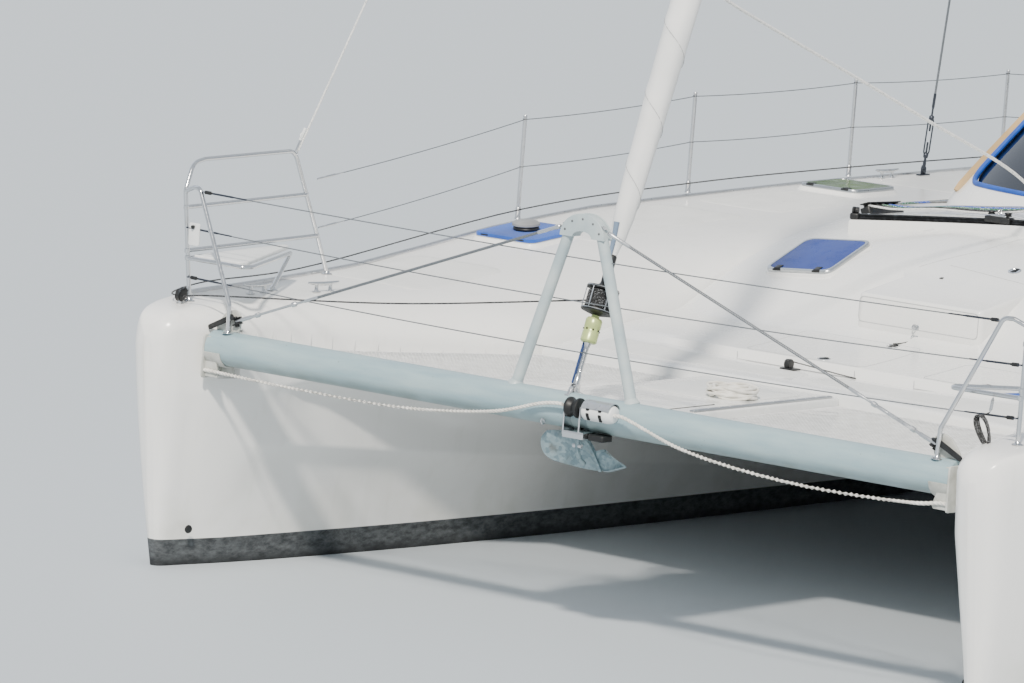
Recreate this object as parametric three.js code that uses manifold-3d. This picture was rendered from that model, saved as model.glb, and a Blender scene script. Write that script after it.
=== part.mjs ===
// A cruising sailing catamaran, afloat, with its jib furled and its mainsail stowed.
// Millimetres. X points to the bows, Y to port, Z up. The origin is on the water plane, amidships.
import * as THREE from 'three';
import { mergeVertices } from 'three/addons/utils/BufferGeometryUtils.js';
import Module from 'manifold-3d';

const wasm = await Module();
wasm.setup();
const V = (x, y, z) => new THREE.Vector3(x, y, z);

// Driving dimensions
const GAP = 0.3;            // between pieces that rest on each other
const HULL_Y = 2720;        // centre line of each hull
const WING_Y = 1600;        // seam between a hull moulding and the bridge deck
const BEAM_X = 5450;        // forward crossbeam
const BEAM_Z = 1254;
const BEAM_R = 95;
const BEAM_HALF = 2457.7;
const FOREDECK_X = 3600;    // front edge of the bridge deck
const NET_Z = 1220;
const CATWALK = { half: 450, top: 1272 };
const CABIN_BASE = 1900;    // flat on which the coachroof stands
const FLOOR_Z = 950;        // saloon floor
const SOLE_Z = 1250;        // cockpit sole
const BULKHEAD_X = -3360;   // aft face of the coachroof
const MAST_X = 750;
const MAST_FOOT = 2100;
const MAST_TOP = 17600;
const HOUNDS_Z = 14200;     // forestay and shrouds meet the mast here
const TACK = V(5440, 0, 1350);
const STRIKER_TOP = 2250;
const STRIKER_FOOT_Y = 386;
const SIDES = [['port', 1], ['starboard', -1]];

// Hull sections. Heights: keel (under the water), deck (sheer), edge (inboard edge of the moulding),
// under (underside of the wing) and centre (bridge deck on the centre line). Half breadths from the
// hull's own centre line: wl (at the water), side (inboard, above the knuckle), out (outboard, at the
// sheer) and inn (inboard edge of the moulding).
const COLUMNS = ['x', 'keel', 'wl', 'side', 'out', 'inn', 'deck', 'edge', 'under', 'centre'];
const SECTIONS = [
  [5800, -20, 15, 30, 30, 30, 1370, 1310, 1000, 0],
  [5780, -60, 30, 80, 90, 90, 1425, 1330, 1000, 0],
  [5730, -120, 45, 120, 140, 140, 1455, 1330, 1000, 0],
  [5620, -180, 60, 165, 185, 185, 1467, 1330, 1000, 0],
  [5450, -240, 85, 220, 235, 250, 1473, 1330, 1000, 0],
  [5200, -290, 125, 270, 285, 310, 1478, 1330, 1000, 0],
  [5000, -320, 155, 305, 315, 360, 1482, 1330, 1020, 0],
  [4730, -360, 195, 345, 345, 480, 1487, 1300, 1060, 0],
  [4400, -400, 235, 385, 385, 680, 1497, 1270, 1060, 0],
  [3950, -440, 285, 430, 430, 920, 1517, 1250, 1020, 0],
  [3700, -455, 310, 450, 450, 1060, 1530, 1260, 970, 0],
  [3540, -465, 325, 465, 465, 1120, 1540, 1270, 930, 1295],
  [3030, -481, 365, 493, 501, 1120, 1596, 1342, 850, 1300],
  [2990, -482, 368, 495, 504, 1120, 1600, 1348, 844, 1358],
  [2900, -485, 375, 500, 510, 1120, 1610, 1360, 830, 1364],
  [2100, -500, 420, 530, 550, 1120, 1705, 1450, 780, 1430],
  [2040, -500, 420, 530, 552, 1120, 1710, 1560, 780, 1600],
  [1200, -510, 455, 550, 575, 1120, 1775, 1780, 760, 1900],
  [500, -510, 470, 560, 590, 1120, 1800, 1900, 750, 2050],
  [-1000, -510, 490, 570, 610, 1120, 1840, 1900, 750, 2050],
  [-3000, -480, 490, 570, 610, 1120, 1870, 1900, 760, 2000],
  [-4300, -420, 470, 560, 600, 1120, 1860, 1900, 780, 1900],
  [-5100, -340, 440, 540, 570, 1120, 1840, 1880, 820, 1880],
  [-5120, -340, 440, 540, 570, 550, 1840, 1800, 820, 0],
  [-5750, -240, 400, 500, 530, 510, 1800, 1780, 820, 0],
].map((row) => Object.fromEntries(COLUMNS.map((name, i) => [name, row[i]])));

// Solids

function toSolid(geometry) {
  const plain = geometry.clone();
  for (const name of Object.keys(plain.attributes)) if (name !== 'position') plain.deleteAttribute(name);
  const merged = mergeVertices(plain, 1e-3);
  const solid = new wasm.Manifold(new wasm.Mesh({
    numProp: 3,
    vertProperties: new Float32Array(merged.attributes.position.array),
    triVerts: new Uint32Array(merged.index.array),
  }));
  return solid;
}

function toGeometry(solid) {
  const mesh = solid.getMesh();
  const geometry = new THREE.BufferGeometry();
  geometry.setAttribute('position', new THREE.BufferAttribute(mesh.vertProperties, 3));
  geometry.setIndex(new THREE.BufferAttribute(mesh.triVerts, 1));
  geometry.computeVertexNormals();
  return geometry;
}

const fuse = (...solids) => solids.reduce((sum, next) => sum.add(next));
const cut = (solid, ...tools) => tools.reduce((rest, tool) => rest.subtract(tool), solid);

function moved(geometry, x = 0, y = 0, z = 0, rx = 0, ry = 0, rz = 0) {
  const turn = new THREE.Matrix4().makeRotationFromEuler(new THREE.Euler(rx, ry, rz));
  return geometry.clone().applyMatrix4(turn.setPosition(x, y, z));
}

function block(x0, x1, y0, y1, z0, z1) {
  const box = new THREE.BoxGeometry(x1 - x0, Math.abs(y1 - y0), z1 - z0);
  return toSolid(moved(box, (x0 + x1) / 2, (y0 + y1) / 2, (z0 + z1) / 2));
}

// A round bar from a to b.
function rod(a, b, radius, endRadius = radius, sides = 8) {
  const length = a.distanceTo(b);
  const bar = new THREE.CylinderGeometry(endRadius, radius, length, sides);
  const turn = new THREE.Quaternion().setFromUnitVectors(V(0, 1, 0), b.clone().sub(a).normalize());
  bar.applyMatrix4(new THREE.Matrix4().makeRotationFromQuaternion(turn));
  return toSolid(moved(bar, ...a.clone().add(b).multiplyScalar(0.5)));
}

// A bar along a row of points, each length run on a little so that the corners close.
function pipe(points, radius, sides = 8) {
  const pieces = points.slice(1).map((end, i) => {
    const run = end.clone().sub(points[i]).normalize().multiplyScalar(radius * 0.6);
    const first = i === 0 ? points[0] : points[i].clone().sub(run);
    const last = i === points.length - 2 ? end : end.clone().add(run);
    return rod(first, last, radius, radius, sides);
  });
  return fuse(...pieces);
}

// A solid of revolution about Z, its profile given as [radius, height] and closed on itself.
function turned(profile, sides = 24) {
  const points = [...profile, profile[0]].map(([r, z]) => new THREE.Vector2(r, z));
  return toSolid(moved(new THREE.LatheGeometry(points, sides), 0, 0, 0, Math.PI / 2));
}

// A prism of a plan outline, between two heights.
function prism(outline, z0, z1) {
  const shape = new THREE.Shape(outline.map(([x, y]) => new THREE.Vector2(x, y)));
  const body = new THREE.ExtrudeGeometry(shape, { depth: z1 - z0, bevelEnabled: false });
  return toSolid(moved(body, 0, 0, z0));
}

// A solid through closed rings of equal count, with flat ends. flatten gives an end's plane.
function loft(rings, flatten) {
  const count = rings[0].length;
  const points = rings.flat();
  const faces = [];
  for (let r = 0; r < rings.length - 1; r += 1) {
    for (let i = 0; i < count; i += 1) {
      const a = r * count + i;
      const b = r * count + (i + 1) % count;
      faces.push(a, b, a + count, b, b + count, a + count);
    }
  }
  const last = (rings.length - 1) * count;
  for (const [start, ring, flip] of [[0, rings[0], true], [last, rings.at(-1), false]]) {
    const outline = ring.map(flatten);
    const backwards = THREE.ShapeUtils.isClockWise(outline) !== flip;
    for (const [i, j, k] of THREE.ShapeUtils.triangulateShape(outline, [])) {
      faces.push(start + i, start + (backwards ? k : j), start + (backwards ? j : k));
    }
  }
  const geometry = new THREE.BufferGeometry();
  geometry.setAttribute('position', new THREE.Float32BufferAttribute(points.flatMap((p) => [...p]), 3));
  geometry.setIndex(volume(points, faces) > 0 ? faces : faces.reverse());
  return toSolid(geometry);
}

function volume(points, faces) {
  let sum = 0;
  for (let i = 0; i < faces.length; i += 3) {
    const [a, b, c] = [points[faces[i]], points[faces[i + 1]], points[faces[i + 2]]];
    sum += a.dot(b.clone().cross(c));
  }
  return sum;
}

const acrossX = (p) => new THREE.Vector2(p.y, p.z);
const acrossZ = (p) => new THREE.Vector2(p.x, p.y);
const mirrored = (solid, side) => (side > 0 ? solid : solid.mirror([0, 1, 0]));

// Linear value of a column of the section table at x.
function sectionValue(x, name) {
  const i = Math.max(1, SECTIONS.findIndex((row) => row.x <= x));
  const [a, b] = [SECTIONS[i - 1], SECTIONS[i]];
  return b[name] + (a[name] - b[name]) * (x - b.x) / (a.x - b.x);
}

// Hulls

const BILGE_STEPS = 5;
const SHOULDER = [0.35, 0.65, 0.87, 1];
const STEPS = [[-4450, SOLE_Z], [-5020, 930], [-5320, 620], [-5560, 380]];
const GANGWAY = { x0: -4950, x1: -4450 };     // from the cockpit to the steps in each hull
const ENGINE_BAY = { x0: -4930, x1: -4500, half: 250, z0: 120 };
const BRACKET = { x0: 5270, x1: 5545, z0: 1085, z1: 1325, y: 2470 };
const STOCK = { x: -5300, r: 30, hole: 30.9, top: 60 };

function hullRing(s) {
  const flare = s.out - s.wl;
  const ring = [[s.out, s.deck - 170], [s.out - 0.12 * s.out, s.deck - 45], [s.out - 0.3 * s.out, s.deck]];
  const flat = Math.min(200, 0.35 * s.inn);
  ring.push([-flat, s.deck]);
  for (const t of SHOULDER) {
    ring.push([-flat - (s.inn - flat) * t, s.deck - (s.deck - s.edge) * (1 - Math.sqrt(1 - t * t))]);
  }
  const wing = s.inn - s.side;
  const knuckle = THREE.MathUtils.clamp(245 + s.x * 0.09, 200, 680);
  ring.push([-s.inn, s.under], [-(s.side + 0.35 * wing), s.under - 30 - 0.06 * wing]);
  ring.push([-s.side, s.under - 80 - 0.15 * wing], [-s.side, knuckle]);
  ring.push([-(s.wl + 0.35 * (s.side - s.wl)), knuckle - 130]);
  for (let i = -BILGE_STEPS; i <= BILGE_STEPS; i += 1) {
    const a = i / BILGE_STEPS * Math.PI / 2;
    ring.push([s.wl * Math.sin(a), s.keel * Math.cos(a)]);
  }
  ring.push([s.wl + 0.55 * flare, 0.28 * s.deck], [s.wl + 0.88 * flare, 0.62 * s.deck]);
  return ring.map(([y, z]) => V(s.x, HULL_Y + y, z));
}

function portHull() {
  const shell = loft(SECTIONS.map(hullRing), acrossX);
  const steps = STEPS.map(([x, z]) => block(-5900, x, 2080, 3500, z, 2100));
  const passage = block(GANGWAY.x0, GANGWAY.x1, WING_Y - 50, 2100, SOLE_Z, 2100);
  const bay = block(ENGINE_BAY.x0, ENGINE_BAY.x1, HULL_Y - ENGINE_BAY.half, HULL_Y + ENGINE_BAY.half,
    ENGINE_BAY.z0, 2000);
  const pad = block(BRACKET.x0 - 15, 5452, 2300, BRACKET.y, BRACKET.z0 - 15, BRACKET.z1 + 15);
  const stockHole = rod(V(STOCK.x, HULL_Y, -600), V(STOCK.x, HULL_Y, STOCK.top), STOCK.hole, STOCK.hole, 24);
  const coamings = HATCHES.filter((h) => h.onHull).map((h) => coaming(h, 1));
  const fin = foil([[-1100, 700, -1350, 190], [-1000, 800, -1450, 260], [-380, 1000, -1600, 300]], HULL_Y);
  return cut(fuse(shell, fin, ...coamings), ...steps, passage, bay, pad, stockHole);
}

// Hatches. pitch is the deck's slope, so that each lid lies flat on a raised rim.

const HATCHES = [
  { name: 'hatch_forward', x: 2150, y: 2780, length: 700, width: 450, onHull: true, lift: 22 },
  { name: 'hatch_middle', x: -1150, y: 2790, length: 640, width: 480, onHull: true, lift: 22 },
  { name: 'hatch_saloon', x: 1620, y: 1150, length: 540, width: 540, onHull: false, lift: 34 },
];
const LID = 34;

function hatchPlace(hatch) {
  const name = hatch.onHull ? 'deck' : 'centre';
  const ends = [hatch.x + hatch.length / 2, hatch.x - hatch.length / 2];
  const [fore, aft] = ends.map((x) => sectionValue(x, name));
  const slope = Math.atan2(aft - fore, hatch.length);
  let z = (fore + aft) / 2;
  let roll = 0;
  if (!hatch.onHull) {
    const drop = sectionValue(hatch.x, 'centre') - sectionValue(hatch.x, 'edge');
    roll = -Math.atan2(drop, WING_Y - CROWN_Y);
    z -= drop * (hatch.y - CROWN_Y) / (WING_Y - CROWN_Y);
  }
  return { slope, roll, z };
}

function onHatch(hatch, geometry, side) {
  const place = hatchPlace(hatch);
  const turn = new THREE.Matrix4().makeRotationFromEuler(new THREE.Euler(side * place.roll, place.slope, 0));
  return toSolid(geometry.clone().applyMatrix4(turn.setPosition(hatch.x, side * hatch.y, place.z)));
}

function coaming(hatch, side) {
  const rim = new THREE.BoxGeometry(hatch.length + 50, hatch.width + 50, 90);
  return onHatch(hatch, moved(rim, 0, 0, hatch.lift - 45), side);
}

function lid(hatch, side) {
  const panel = new THREE.BoxGeometry(hatch.length, hatch.width, LID);
  return onHatch(hatch, moved(panel, 0, 0, hatch.lift + GAP + LID / 2), side);
}

// Bridge deck

const CROWN_Y = 700;
const TRACK = { radius: 4500, half: THREE.MathUtils.degToRad(16), base: 2015, width: 44, height: 34 };

function deckRing(s) {
  const y = WING_Y - GAP;
  return [V(s.x, -y, s.under), V(s.x, y, s.under), V(s.x, y, s.edge), V(s.x, CROWN_Y, s.centre),
    V(s.x, -CROWN_Y, s.centre), V(s.x, -y, s.edge)];
}

function arcBar(inner, outer, z0, z1, half) {
  const steps = 14;
  const outline = [];
  for (let i = 0; i <= steps; i += 1) {
    const a = half * (2 * i / steps - 1);
    outline.push([TACK.x - outer * Math.cos(a), outer * Math.sin(a)]);
  }
  for (let i = steps; i >= 0; i -= 1) {
    const a = half * (2 * i / steps - 1);
    outline.push([TACK.x - inner * Math.cos(a), inner * Math.sin(a)]);
  }
  return prism(outline, z0, z1);
}

function bridgeDeck() {
  const rows = SECTIONS.filter((s) => s.centre > 0);
  const front = { ...rows[0], x: FOREDECK_X, under: 950, edge: 1266, centre: 1290 };
  const slab = loft([front, ...rows].map(deckRing), acrossX);
  const seat = prism(cabinOutline(CABIN[0], 1.5), CABIN_BASE, 2300);
  const well = prism(cabinOutline(CABIN[0], -80), FLOOR_Z, 2300);
  const cockpit = block(GANGWAY.x0, BULKHEAD_X, -1500, 1500, SOLE_Z, 2300);
  const doorway = block(BULKHEAD_X - 20, BULKHEAD_X + 160, -DOOR.half, DOOR.half, DOOR.z0, 2300);
  const gangways = SIDES.map(([, s]) => block(GANGWAY.x0, GANGWAY.x1, s * 1450, s * 1650, SOLE_Z, 2300));
  const bench = (s) => block(BENCH.x0, BENCH.x1, s * 1500, s * BENCH.y, SOLE_Z - 50, BENCH.z);
  const ridge = arcBar(TRACK.radius - 45, TRACK.radius + 45, 1750, TRACK.base, TRACK.half + 0.01);
  const mastStep = block(MAST_X - 150, MAST_X + 150, -130, 130, 1800, MAST_FOOT - GAP);
  const rims = HATCHES.filter((h) => !h.onHull).flatMap((h) => SIDES.map(([, s]) => coaming(h, s)));
  const hollowed = cut(fuse(slab, ridge, mastStep, ...rims), seat, well, cockpit, doorway, ...gangways);
  return fuse(hollowed, bench(1), bench(-1));
}

// Coachroof: outline columns are height, front (on the centre line), half width and aft end.

const CABIN = [
  { z: CABIN_BASE + GAP, front: 470, side: 1560, aft: BULKHEAD_X },
  { z: 2060, front: 450, side: 1550, aft: BULKHEAD_X },
  { z: 2740, front: -310, side: 1440, aft: BULKHEAD_X },
  { z: 2860, front: -500, side: 1360, aft: BULKHEAD_X },
  { z: 2930, front: -800, side: 1150, aft: BULKHEAD_X },
  { z: 2960, front: -1150, side: 850, aft: BULKHEAD_X + 20 },
];
const WALL = 55;
const NOSE_DEPTH = 750;
const DOOR = { half: 400, z0: 1300, z1: 2700, thick: 28, edge: 0.6 };
const BENCH = { x0: -4300, x1: -3560, y: 950, z: 1600 };
const FRONT_PANE = { a0: 110, a1: 1130, z0: 2150, z1: 2600, radius: 90 };
const SIDE_PANE = { a0: -2950, a1: -620, z0: 2130, z1: 2580, radius: 120 };

// grow widens the outline all round, but leaves its aft end where it is unless it shrinks.
function cabinOutline(level, grow) {
  const steps = 7;
  const half = [];
  for (let i = 0; i <= steps; i += 1) {
    const a = i / steps * Math.PI / 2;
    const x = level.front + grow - NOSE_DEPTH * (1 - Math.cos(a)) ** 1.2;
    half.push([x, (level.side + grow) * Math.sin(a)]);
  }
  half.push([level.aft - Math.min(grow, 0), level.side + grow]);
  const other = half.slice(1).reverse().map(([x, y]) => [x, -y]);
  return [...half, ...other];
}

function cabinShell(grow, dropTop, bottom) {
  const rings = CABIN.map((level, i) => {
    const z = i === 0 ? bottom : level.z - (i > 1 ? dropTop : 0);
    return cabinOutline(level, grow).map(([x, y]) => V(x, y, z));
  });
  return loft(rings, acrossZ);
}

// A round-cornered window prism, through the front (along X) or a side (along Y).
function windowTool(pane, front, side, shrink) {
  const [a0, a1] = [pane.a0 + shrink, pane.a1 - shrink];
  const [z0, z1] = [pane.z0 + shrink, pane.z1 - shrink];
  const r = pane.radius - shrink;
  const shape = new THREE.Shape();
  shape.moveTo(a0 + r, z0);
  shape.lineTo(a1 - r, z0).absarc(a1 - r, z0 + r, r, -Math.PI / 2, 0);
  shape.lineTo(a1, z1 - r).absarc(a1 - r, z1 - r, r, 0, Math.PI / 2);
  shape.lineTo(a0 + r, z1).absarc(a0 + r, z1 - r, r, Math.PI / 2, Math.PI);
  shape.lineTo(a0, z0 + r).absarc(a0 + r, z0 + r, r, Math.PI, 1.5 * Math.PI);
  const depth = 1000;
  const bar = new THREE.ExtrudeGeometry(shape, { depth, bevelEnabled: false, curveSegments: 3 });
  bar.rotateX(Math.PI / 2);
  const turnedBar = front ? moved(bar, -600, 0, 0, 0, 0, Math.PI / 2) : moved(bar, 0, 1000 + depth, 0);
  return mirrored(toSolid(turnedBar), side);
}

function coachroof() {
  const hollow = cabinShell(-WALL, WALL, CABIN_BASE - 100);
  const windows = (s) => [windowTool(FRONT_PANE, true, s, 0), windowTool(SIDE_PANE, false, s, 0)];
  const doorway = block(BULKHEAD_X - 50, BULKHEAD_X + 150, -DOOR.half, DOOR.half, 1800, DOOR.z1);
  return cut(cabinShell(0, 0, CABIN_BASE + GAP), hollow, doorway, ...windows(1), ...windows(-1));
}

function pane(tool) {
  return cut(cabinShell(-20, 20, 2000), cabinShell(-30, 30, 1900)).intersect(tool);
}

function saloonDoor() {
  const x = BULKHEAD_X + 2;
  const leaf = block(x, x + DOOR.thick, -DOOR.half + 6, DOOR.half - DOOR.edge, DOOR.z0 + 6, DOOR.z1 - 6);
  const light = block(x - 10, x + DOOR.thick + 10, -DOOR.half + 110, DOOR.half - 110, 1750, DOOR.z1 - 120);
  return cut(leaf, light);
}

function dinette() {
  const floor = FLOOR_Z + GAP;
  const plinth = block(-2500, -300, 500, 1400, floor, floor + 380);
  const back = block(-2500, -300, 1300, 1400, floor + 300, floor + 820);
  const pedestal = block(-1700, -1300, -100, 100, floor, floor + 700);
  const foot = block(-1700, -1300, -100, 600, floor, floor + 60);
  const top = block(-2050, -950, -350, 380, floor + 700, floor + 735);
  return fuse(plinth, back, foot, pedestal, top);
}

function hardtop() {
  const slab = prism([[-3150, -1300], [-3150, 1300], [-3500, 1780], [-5150, 1780], [-5300, 1500],
    [-5300, -1500], [-5150, -1780], [-3500, -1780]], 2960 + GAP, 3030);
  const posts = [[-5025, 1350], [-5025, -1350]].map(([x, y]) => rod(V(x, y, 1885 + GAP), V(x, y, 3000), 30));
  const props = SIDES.map(([, s]) => rod(V(-4380, s * 1700, 1899 + GAP), V(-4380, s * 1700, 3000), 30));
  return fuse(slab, ...posts, ...props);
}

function cushion(side) {
  return block(BENCH.x0 + 20, BENCH.x1 - 20, side * 1480, side * (BENCH.y + 10), BENCH.z + GAP, BENCH.z + 80);
}

// Steering and drive

const HELM = { x: -4080, y: 2330, z: 2420, r: 380, shaft: 16, bore: 17 };

function helmConsole() {
  const deck = sectionValue(HELM.x + 240, 'deck') + 2.3 + GAP;
  const post = block(HELM.x + 40, HELM.x + 240, HELM.y - 130, HELM.y + 130, deck, HELM.z + 100);
  const end = (x) => V(HELM.x + x, HELM.y, HELM.z);
  const shaft = rod(end(-60), end(60), HELM.shaft, HELM.shaft, 16);
  return fuse(post, shaft);
}

function helmWheel() {
  const rim = new THREE.TorusGeometry(HELM.r - 15, 15, 6, 20);
  const hub = turned([[HELM.bore, -25], [45, -25], [45, 25], [HELM.bore, 25]], 16);
  const spokes = [0, 1, 2, 3, 4].map((i) => {
    const a = i / 5 * 2 * Math.PI + Math.PI / 2;
    return rod(V(40 * Math.cos(a), 40 * Math.sin(a), 0), V(362 * Math.cos(a), 362 * Math.sin(a), 0), 9, 9, 5);
  });
  const wheel = fuse(toSolid(rim), hub, ...spokes);
  return wheel.rotate([0, 90, 0]).translate([HELM.x - 12, HELM.y, HELM.z]);
}

// A thin upright foil. Columns: height, leading edge, trailing edge, thickness.
function foil(levels, y) {
  const steps = 6;
  const rings = levels.map(([z, lead, trail, thick]) => {
    const ring = [];
    for (let i = 0; i < 2 * steps; i += 1) {
      const a = i / steps * Math.PI;
      const along = (1 - Math.cos(a)) / 2;
      const bulge = Math.sin(a) * (1 - 0.45 * along);
      ring.push(V(lead + (trail - lead) * along, y + thick / 2 * bulge * 1.3, z));
    }
    return ring;
  });
  return loft(rings, acrossZ);
}

function rudder() {
  const blade = foil([[-1000, -5220, -5520, 40], [-900, -5140, -5580, 62], [-345, -5120, -5600, 75]], HULL_Y);
  const stock = rod(V(STOCK.x, HULL_Y, -600), V(STOCK.x, HULL_Y, STOCK.top - 1), STOCK.r, STOCK.r, 24);
  return fuse(blade, stock);
}

const engine = () => block(-4880, -4550, HULL_Y - 190, HULL_Y + 190, ENGINE_BAY.z0 + GAP, 720);

function engineLid() {
  const [x0, x1] = [ENGINE_BAY.x0 - 30, ENGINE_BAY.x1 + 30];
  return block(x0, x1, HULL_Y - 290, HULL_Y + 290, SOLE_Z + GAP, SOLE_Z + 40);
}

const SHAFT = { x: -4640, z: -800, r: 15, bore: 16 };

function saildrive(hull) {
  const leg = foil([[-900, -4420, -4560, 60], [-300, -4380, -4600, 70], [-100, -4380, -4600, 70]], HULL_Y);
  const pod = rod(V(-4370, HULL_Y, SHAFT.z), V(SHAFT.x + 30, HULL_Y, SHAFT.z), 38, 48, 12);
  const shaft = rod(V(-4500, HULL_Y, SHAFT.z), V(SHAFT.x - 45, HULL_Y, SHAFT.z), SHAFT.r, SHAFT.r, 16);
  return cut(fuse(leg, pod, shaft), hull.translate([0, 0, -GAP]));
}

function propeller() {
  const hub = turned([[SHAFT.bore, -35], [44, -28], [34, 28], [SHAFT.bore, 28]], 16);
  const blades = [0, 1, 2].map((i) => {
    const blade = moved(new THREE.CylinderGeometry(75, 75, 8, 14), 0, 0, 0, Math.PI / 2);
    blade.scale(0.62, 1.15, 1);
    return toSolid(moved(moved(blade, 0, 0, 0, 0, 0.5, 0), 0, 112, 0)).rotate([0, 0, 120 * i]);
  });
  const cleared = cut(fuse(...blades), rod(V(0, 0, -100), V(0, 0, 100), 22, 22, 16));
  return fuse(hub, cleared).rotate([0, -90, 0]).translate([SHAFT.x - 5.5, HULL_Y, SHAFT.z]);
}

// Mast, boom and stays

const GOOSENECK = { x: 560, z: 3600, pin: 12, bore: 12.8 };
const SPREADER_Z = 8200;

function ovalBar(length, halfX, halfY, z0, x, sides = 14) {
  const bar = new THREE.CylinderGeometry(1, 1, length, sides).rotateX(Math.PI / 2).scale(halfX, halfY, 1);
  return toSolid(moved(bar, x, 0, z0 + length / 2));
}

function mast() {
  const tube = ovalBar(MAST_TOP - MAST_FOOT, 120, 72, MAST_FOOT, MAST_X);
  const tip = (s, y) => V(MAST_X - 370, s * y, SPREADER_Z + 40);
  const arms = SIDES.map(([, s]) => rod(V(MAST_X - 20, 0, SPREADER_Z), tip(s, 1000), 32, 20));
  const wire = (s) => pipe([V(MAST_X - 40, s * 30, 3000), tip(s, 985), V(MAST_X - 20, s * 30, 13600)], 6, 6);
  const fork = [3560, 3680].map((z) => block(GOOSENECK.x - 35, MAST_X - 60, -32, 32, z - 8, z + 8));
  const pin = rod(V(GOOSENECK.x, 0, 3560), V(GOOSENECK.x, 0, 3680), GOOSENECK.pin, GOOSENECK.pin, 16);
  const tang = block(MAST_X + 60, MAST_X + 170, -12, 12, HOUNDS_Z - 90, HOUNDS_Z - 30);
  const crane = block(MAST_X - 330, MAST_X + 160, -30, 30, MAST_TOP - 60, MAST_TOP - 20);
  return fuse(tube, ...arms, wire(1), wire(-1), ...fork, pin, tang, crane);
}

function boom() {
  const eye = turned([[GOOSENECK.bore, 0], [32, 0], [32, 102], [GOOSENECK.bore, 102]], 16)
    .translate([GOOSENECK.x, 0, 3569]);
  const neck = block(GOOSENECK.x - 140, GOOSENECK.x - 18, -24, 24, 3585, 3655);
  const tube = ovalBar(5000, 130, 75, 0, 0).rotate([0, -90, 0]).translate([GOOSENECK.x - 120, 0, 3620]);
  return fuse(eye, neck, tube);
}

function sailBag() {
  const rings = [[380, 60, 90], [200, 110, 330], [-1500, 130, 400], [-3600, 110, 300], [-4450, 60, 110]];
  const base = 3620 + 130 * Math.cos(Math.PI / 14) + GAP;
  return loft(rings.map(([x, half, height]) => {
    const ring = [];
    for (let i = 0; i <= 8; i += 1) {
      const a = i / 8 * Math.PI;
      ring.push(V(x, half * Math.cos(a), base + height * Math.sin(a)));
    }
    return ring;
  }), acrossX);
}

// The forestay runs from the crossbeam's tang to the mast. Pieces on it are turned about Z and laid on it.
const STAY_TOP = V(MAST_X + 170, 0, HOUNDS_Z - 60);
const STAY_LENGTH = TACK.distanceTo(STAY_TOP);
const STAY = { foot: 36.5, wire: 6, bore: 11, screw: 14, body: 45, collar: 60, cage: 90 };

function onStay(solid) {
  const lean = Math.atan2(STAY_TOP.x - TACK.x, STAY_TOP.z - TACK.z);
  return solid.rotate([0, THREE.MathUtils.radToDeg(lean), 0]).translate([TACK.x, 0, TACK.z]);
}

function forestay() {
  const profile = [[0, STAY.foot], [STAY.screw, STAY.foot], [STAY.screw, 270], [STAY.body, 285],
    [STAY.body, 405], [22, 412], [22, 424.2], [STAY.wire, 424.2], [STAY.wire, STAY_LENGTH - 20], [0, STAY_LENGTH - 20]];
  return onStay(turned(profile, 14));
}

function furlerDrum() {
  const profile = [[STAY.bore, 424.8], [30, 424.8], [STAY.cage, 440], [STAY.cage, 458], [48, 464], [48, 556],
    [STAY.cage, 562], [STAY.cage, 580], [30, 590], [24, 600], [24, 760], [STAY.bore, 760]];
  return onStay(turned(profile, 16));
}

function furledJib() {
  const profile = [[STAY.bore, 760.5], [28, 760.5], [34, 1000], [58, 1500], [84, 2300], [94, 4000],
    [88, 7000], [66, 10000], [34, 12700], [22, STAY_LENGTH - 420], [STAY.bore, STAY_LENGTH - 420]];
  return onStay(turned(profile, 16));
}

const CHAINPLATE = V(-2300, 3060, 0);

function shroud() {
  const deck = sectionValue(CHAINPLATE.x - 60, 'deck') + GAP;
  const low = V(CHAINPLATE.x, CHAINPLATE.y, deck + 30);
  const high = V(MAST_X - 20, 66, HOUNDS_Z);
  const along = high.clone().sub(low).normalize();
  const at = (d) => low.clone().add(along.clone().multiplyScalar(d));
  const wire = rod(low, high, 6, 6, 6);
  const foot = block(low.x - 60, low.x + 60, low.y - 20, low.y + 20, deck, deck + 40);
  const screw = rod(at(0), at(360), 15, 15, 8);
  const tube = ovalBar(600, 120 + GAP, 72 + GAP, HOUNDS_Z - 300, MAST_X);
  return cut(fuse(wire, foot, screw), tube);
}

// Bow gear

function crossbeam() {
  const tube = rod(V(BEAM_X, -BEAM_HALF, BEAM_Z), V(BEAM_X, BEAM_HALF, BEAM_Z), BEAM_R, BEAM_R, 28);
  const tang = block(TACK.x - 40, TACK.x + 40, -9, 9, BEAM_Z + 60, BEAM_Z + BEAM_R + 30);
  return fuse(tube, tang);
}

function beamSpace() {
  const r = BEAM_R + GAP;
  return rod(V(BEAM_X, -BEAM_HALF, BEAM_Z), V(BEAM_X, BEAM_HALF, BEAM_Z), r, r, 28);
}

function beamBracket() {
  const plate = block(BRACKET.x0, BRACKET.x1, BEAM_HALF + GAP, BRACKET.y - GAP, BRACKET.z0, BRACKET.z1);
  const web = block(BEAM_X - 16, BEAM_X - 4, 2285, BEAM_HALF + 5, BEAM_Z + 40, 1470);
  const shelf = block(BEAM_X - 90, BEAM_X + 90, 2350, BEAM_HALF + 5, BRACKET.z0, BRACKET.z0 + 12);
  const gusset = block(BEAM_X - 70, BEAM_X - 58, 2350, BEAM_HALF + 5, BRACKET.z0, BRACKET.z1 - 60);
  return cut(fuse(plate, web, shelf, gusset), beamSpace());
}

const WIRE_X = BEAM_X + 6;
const WIRE = { low: V(WIRE_X, 2262, 1432), peak: STRIKER_TOP + 62, r: 10 };

function strikerWire(clear) {
  const run = V(WIRE_X, 0, WIRE.peak).sub(WIRE.low);
  const top = WIRE.low.clone().add(run.multiplyScalar(1.03));
  return rod(WIRE.low, top, WIRE.r + clear, WIRE.r + clear, 8);
}

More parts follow.
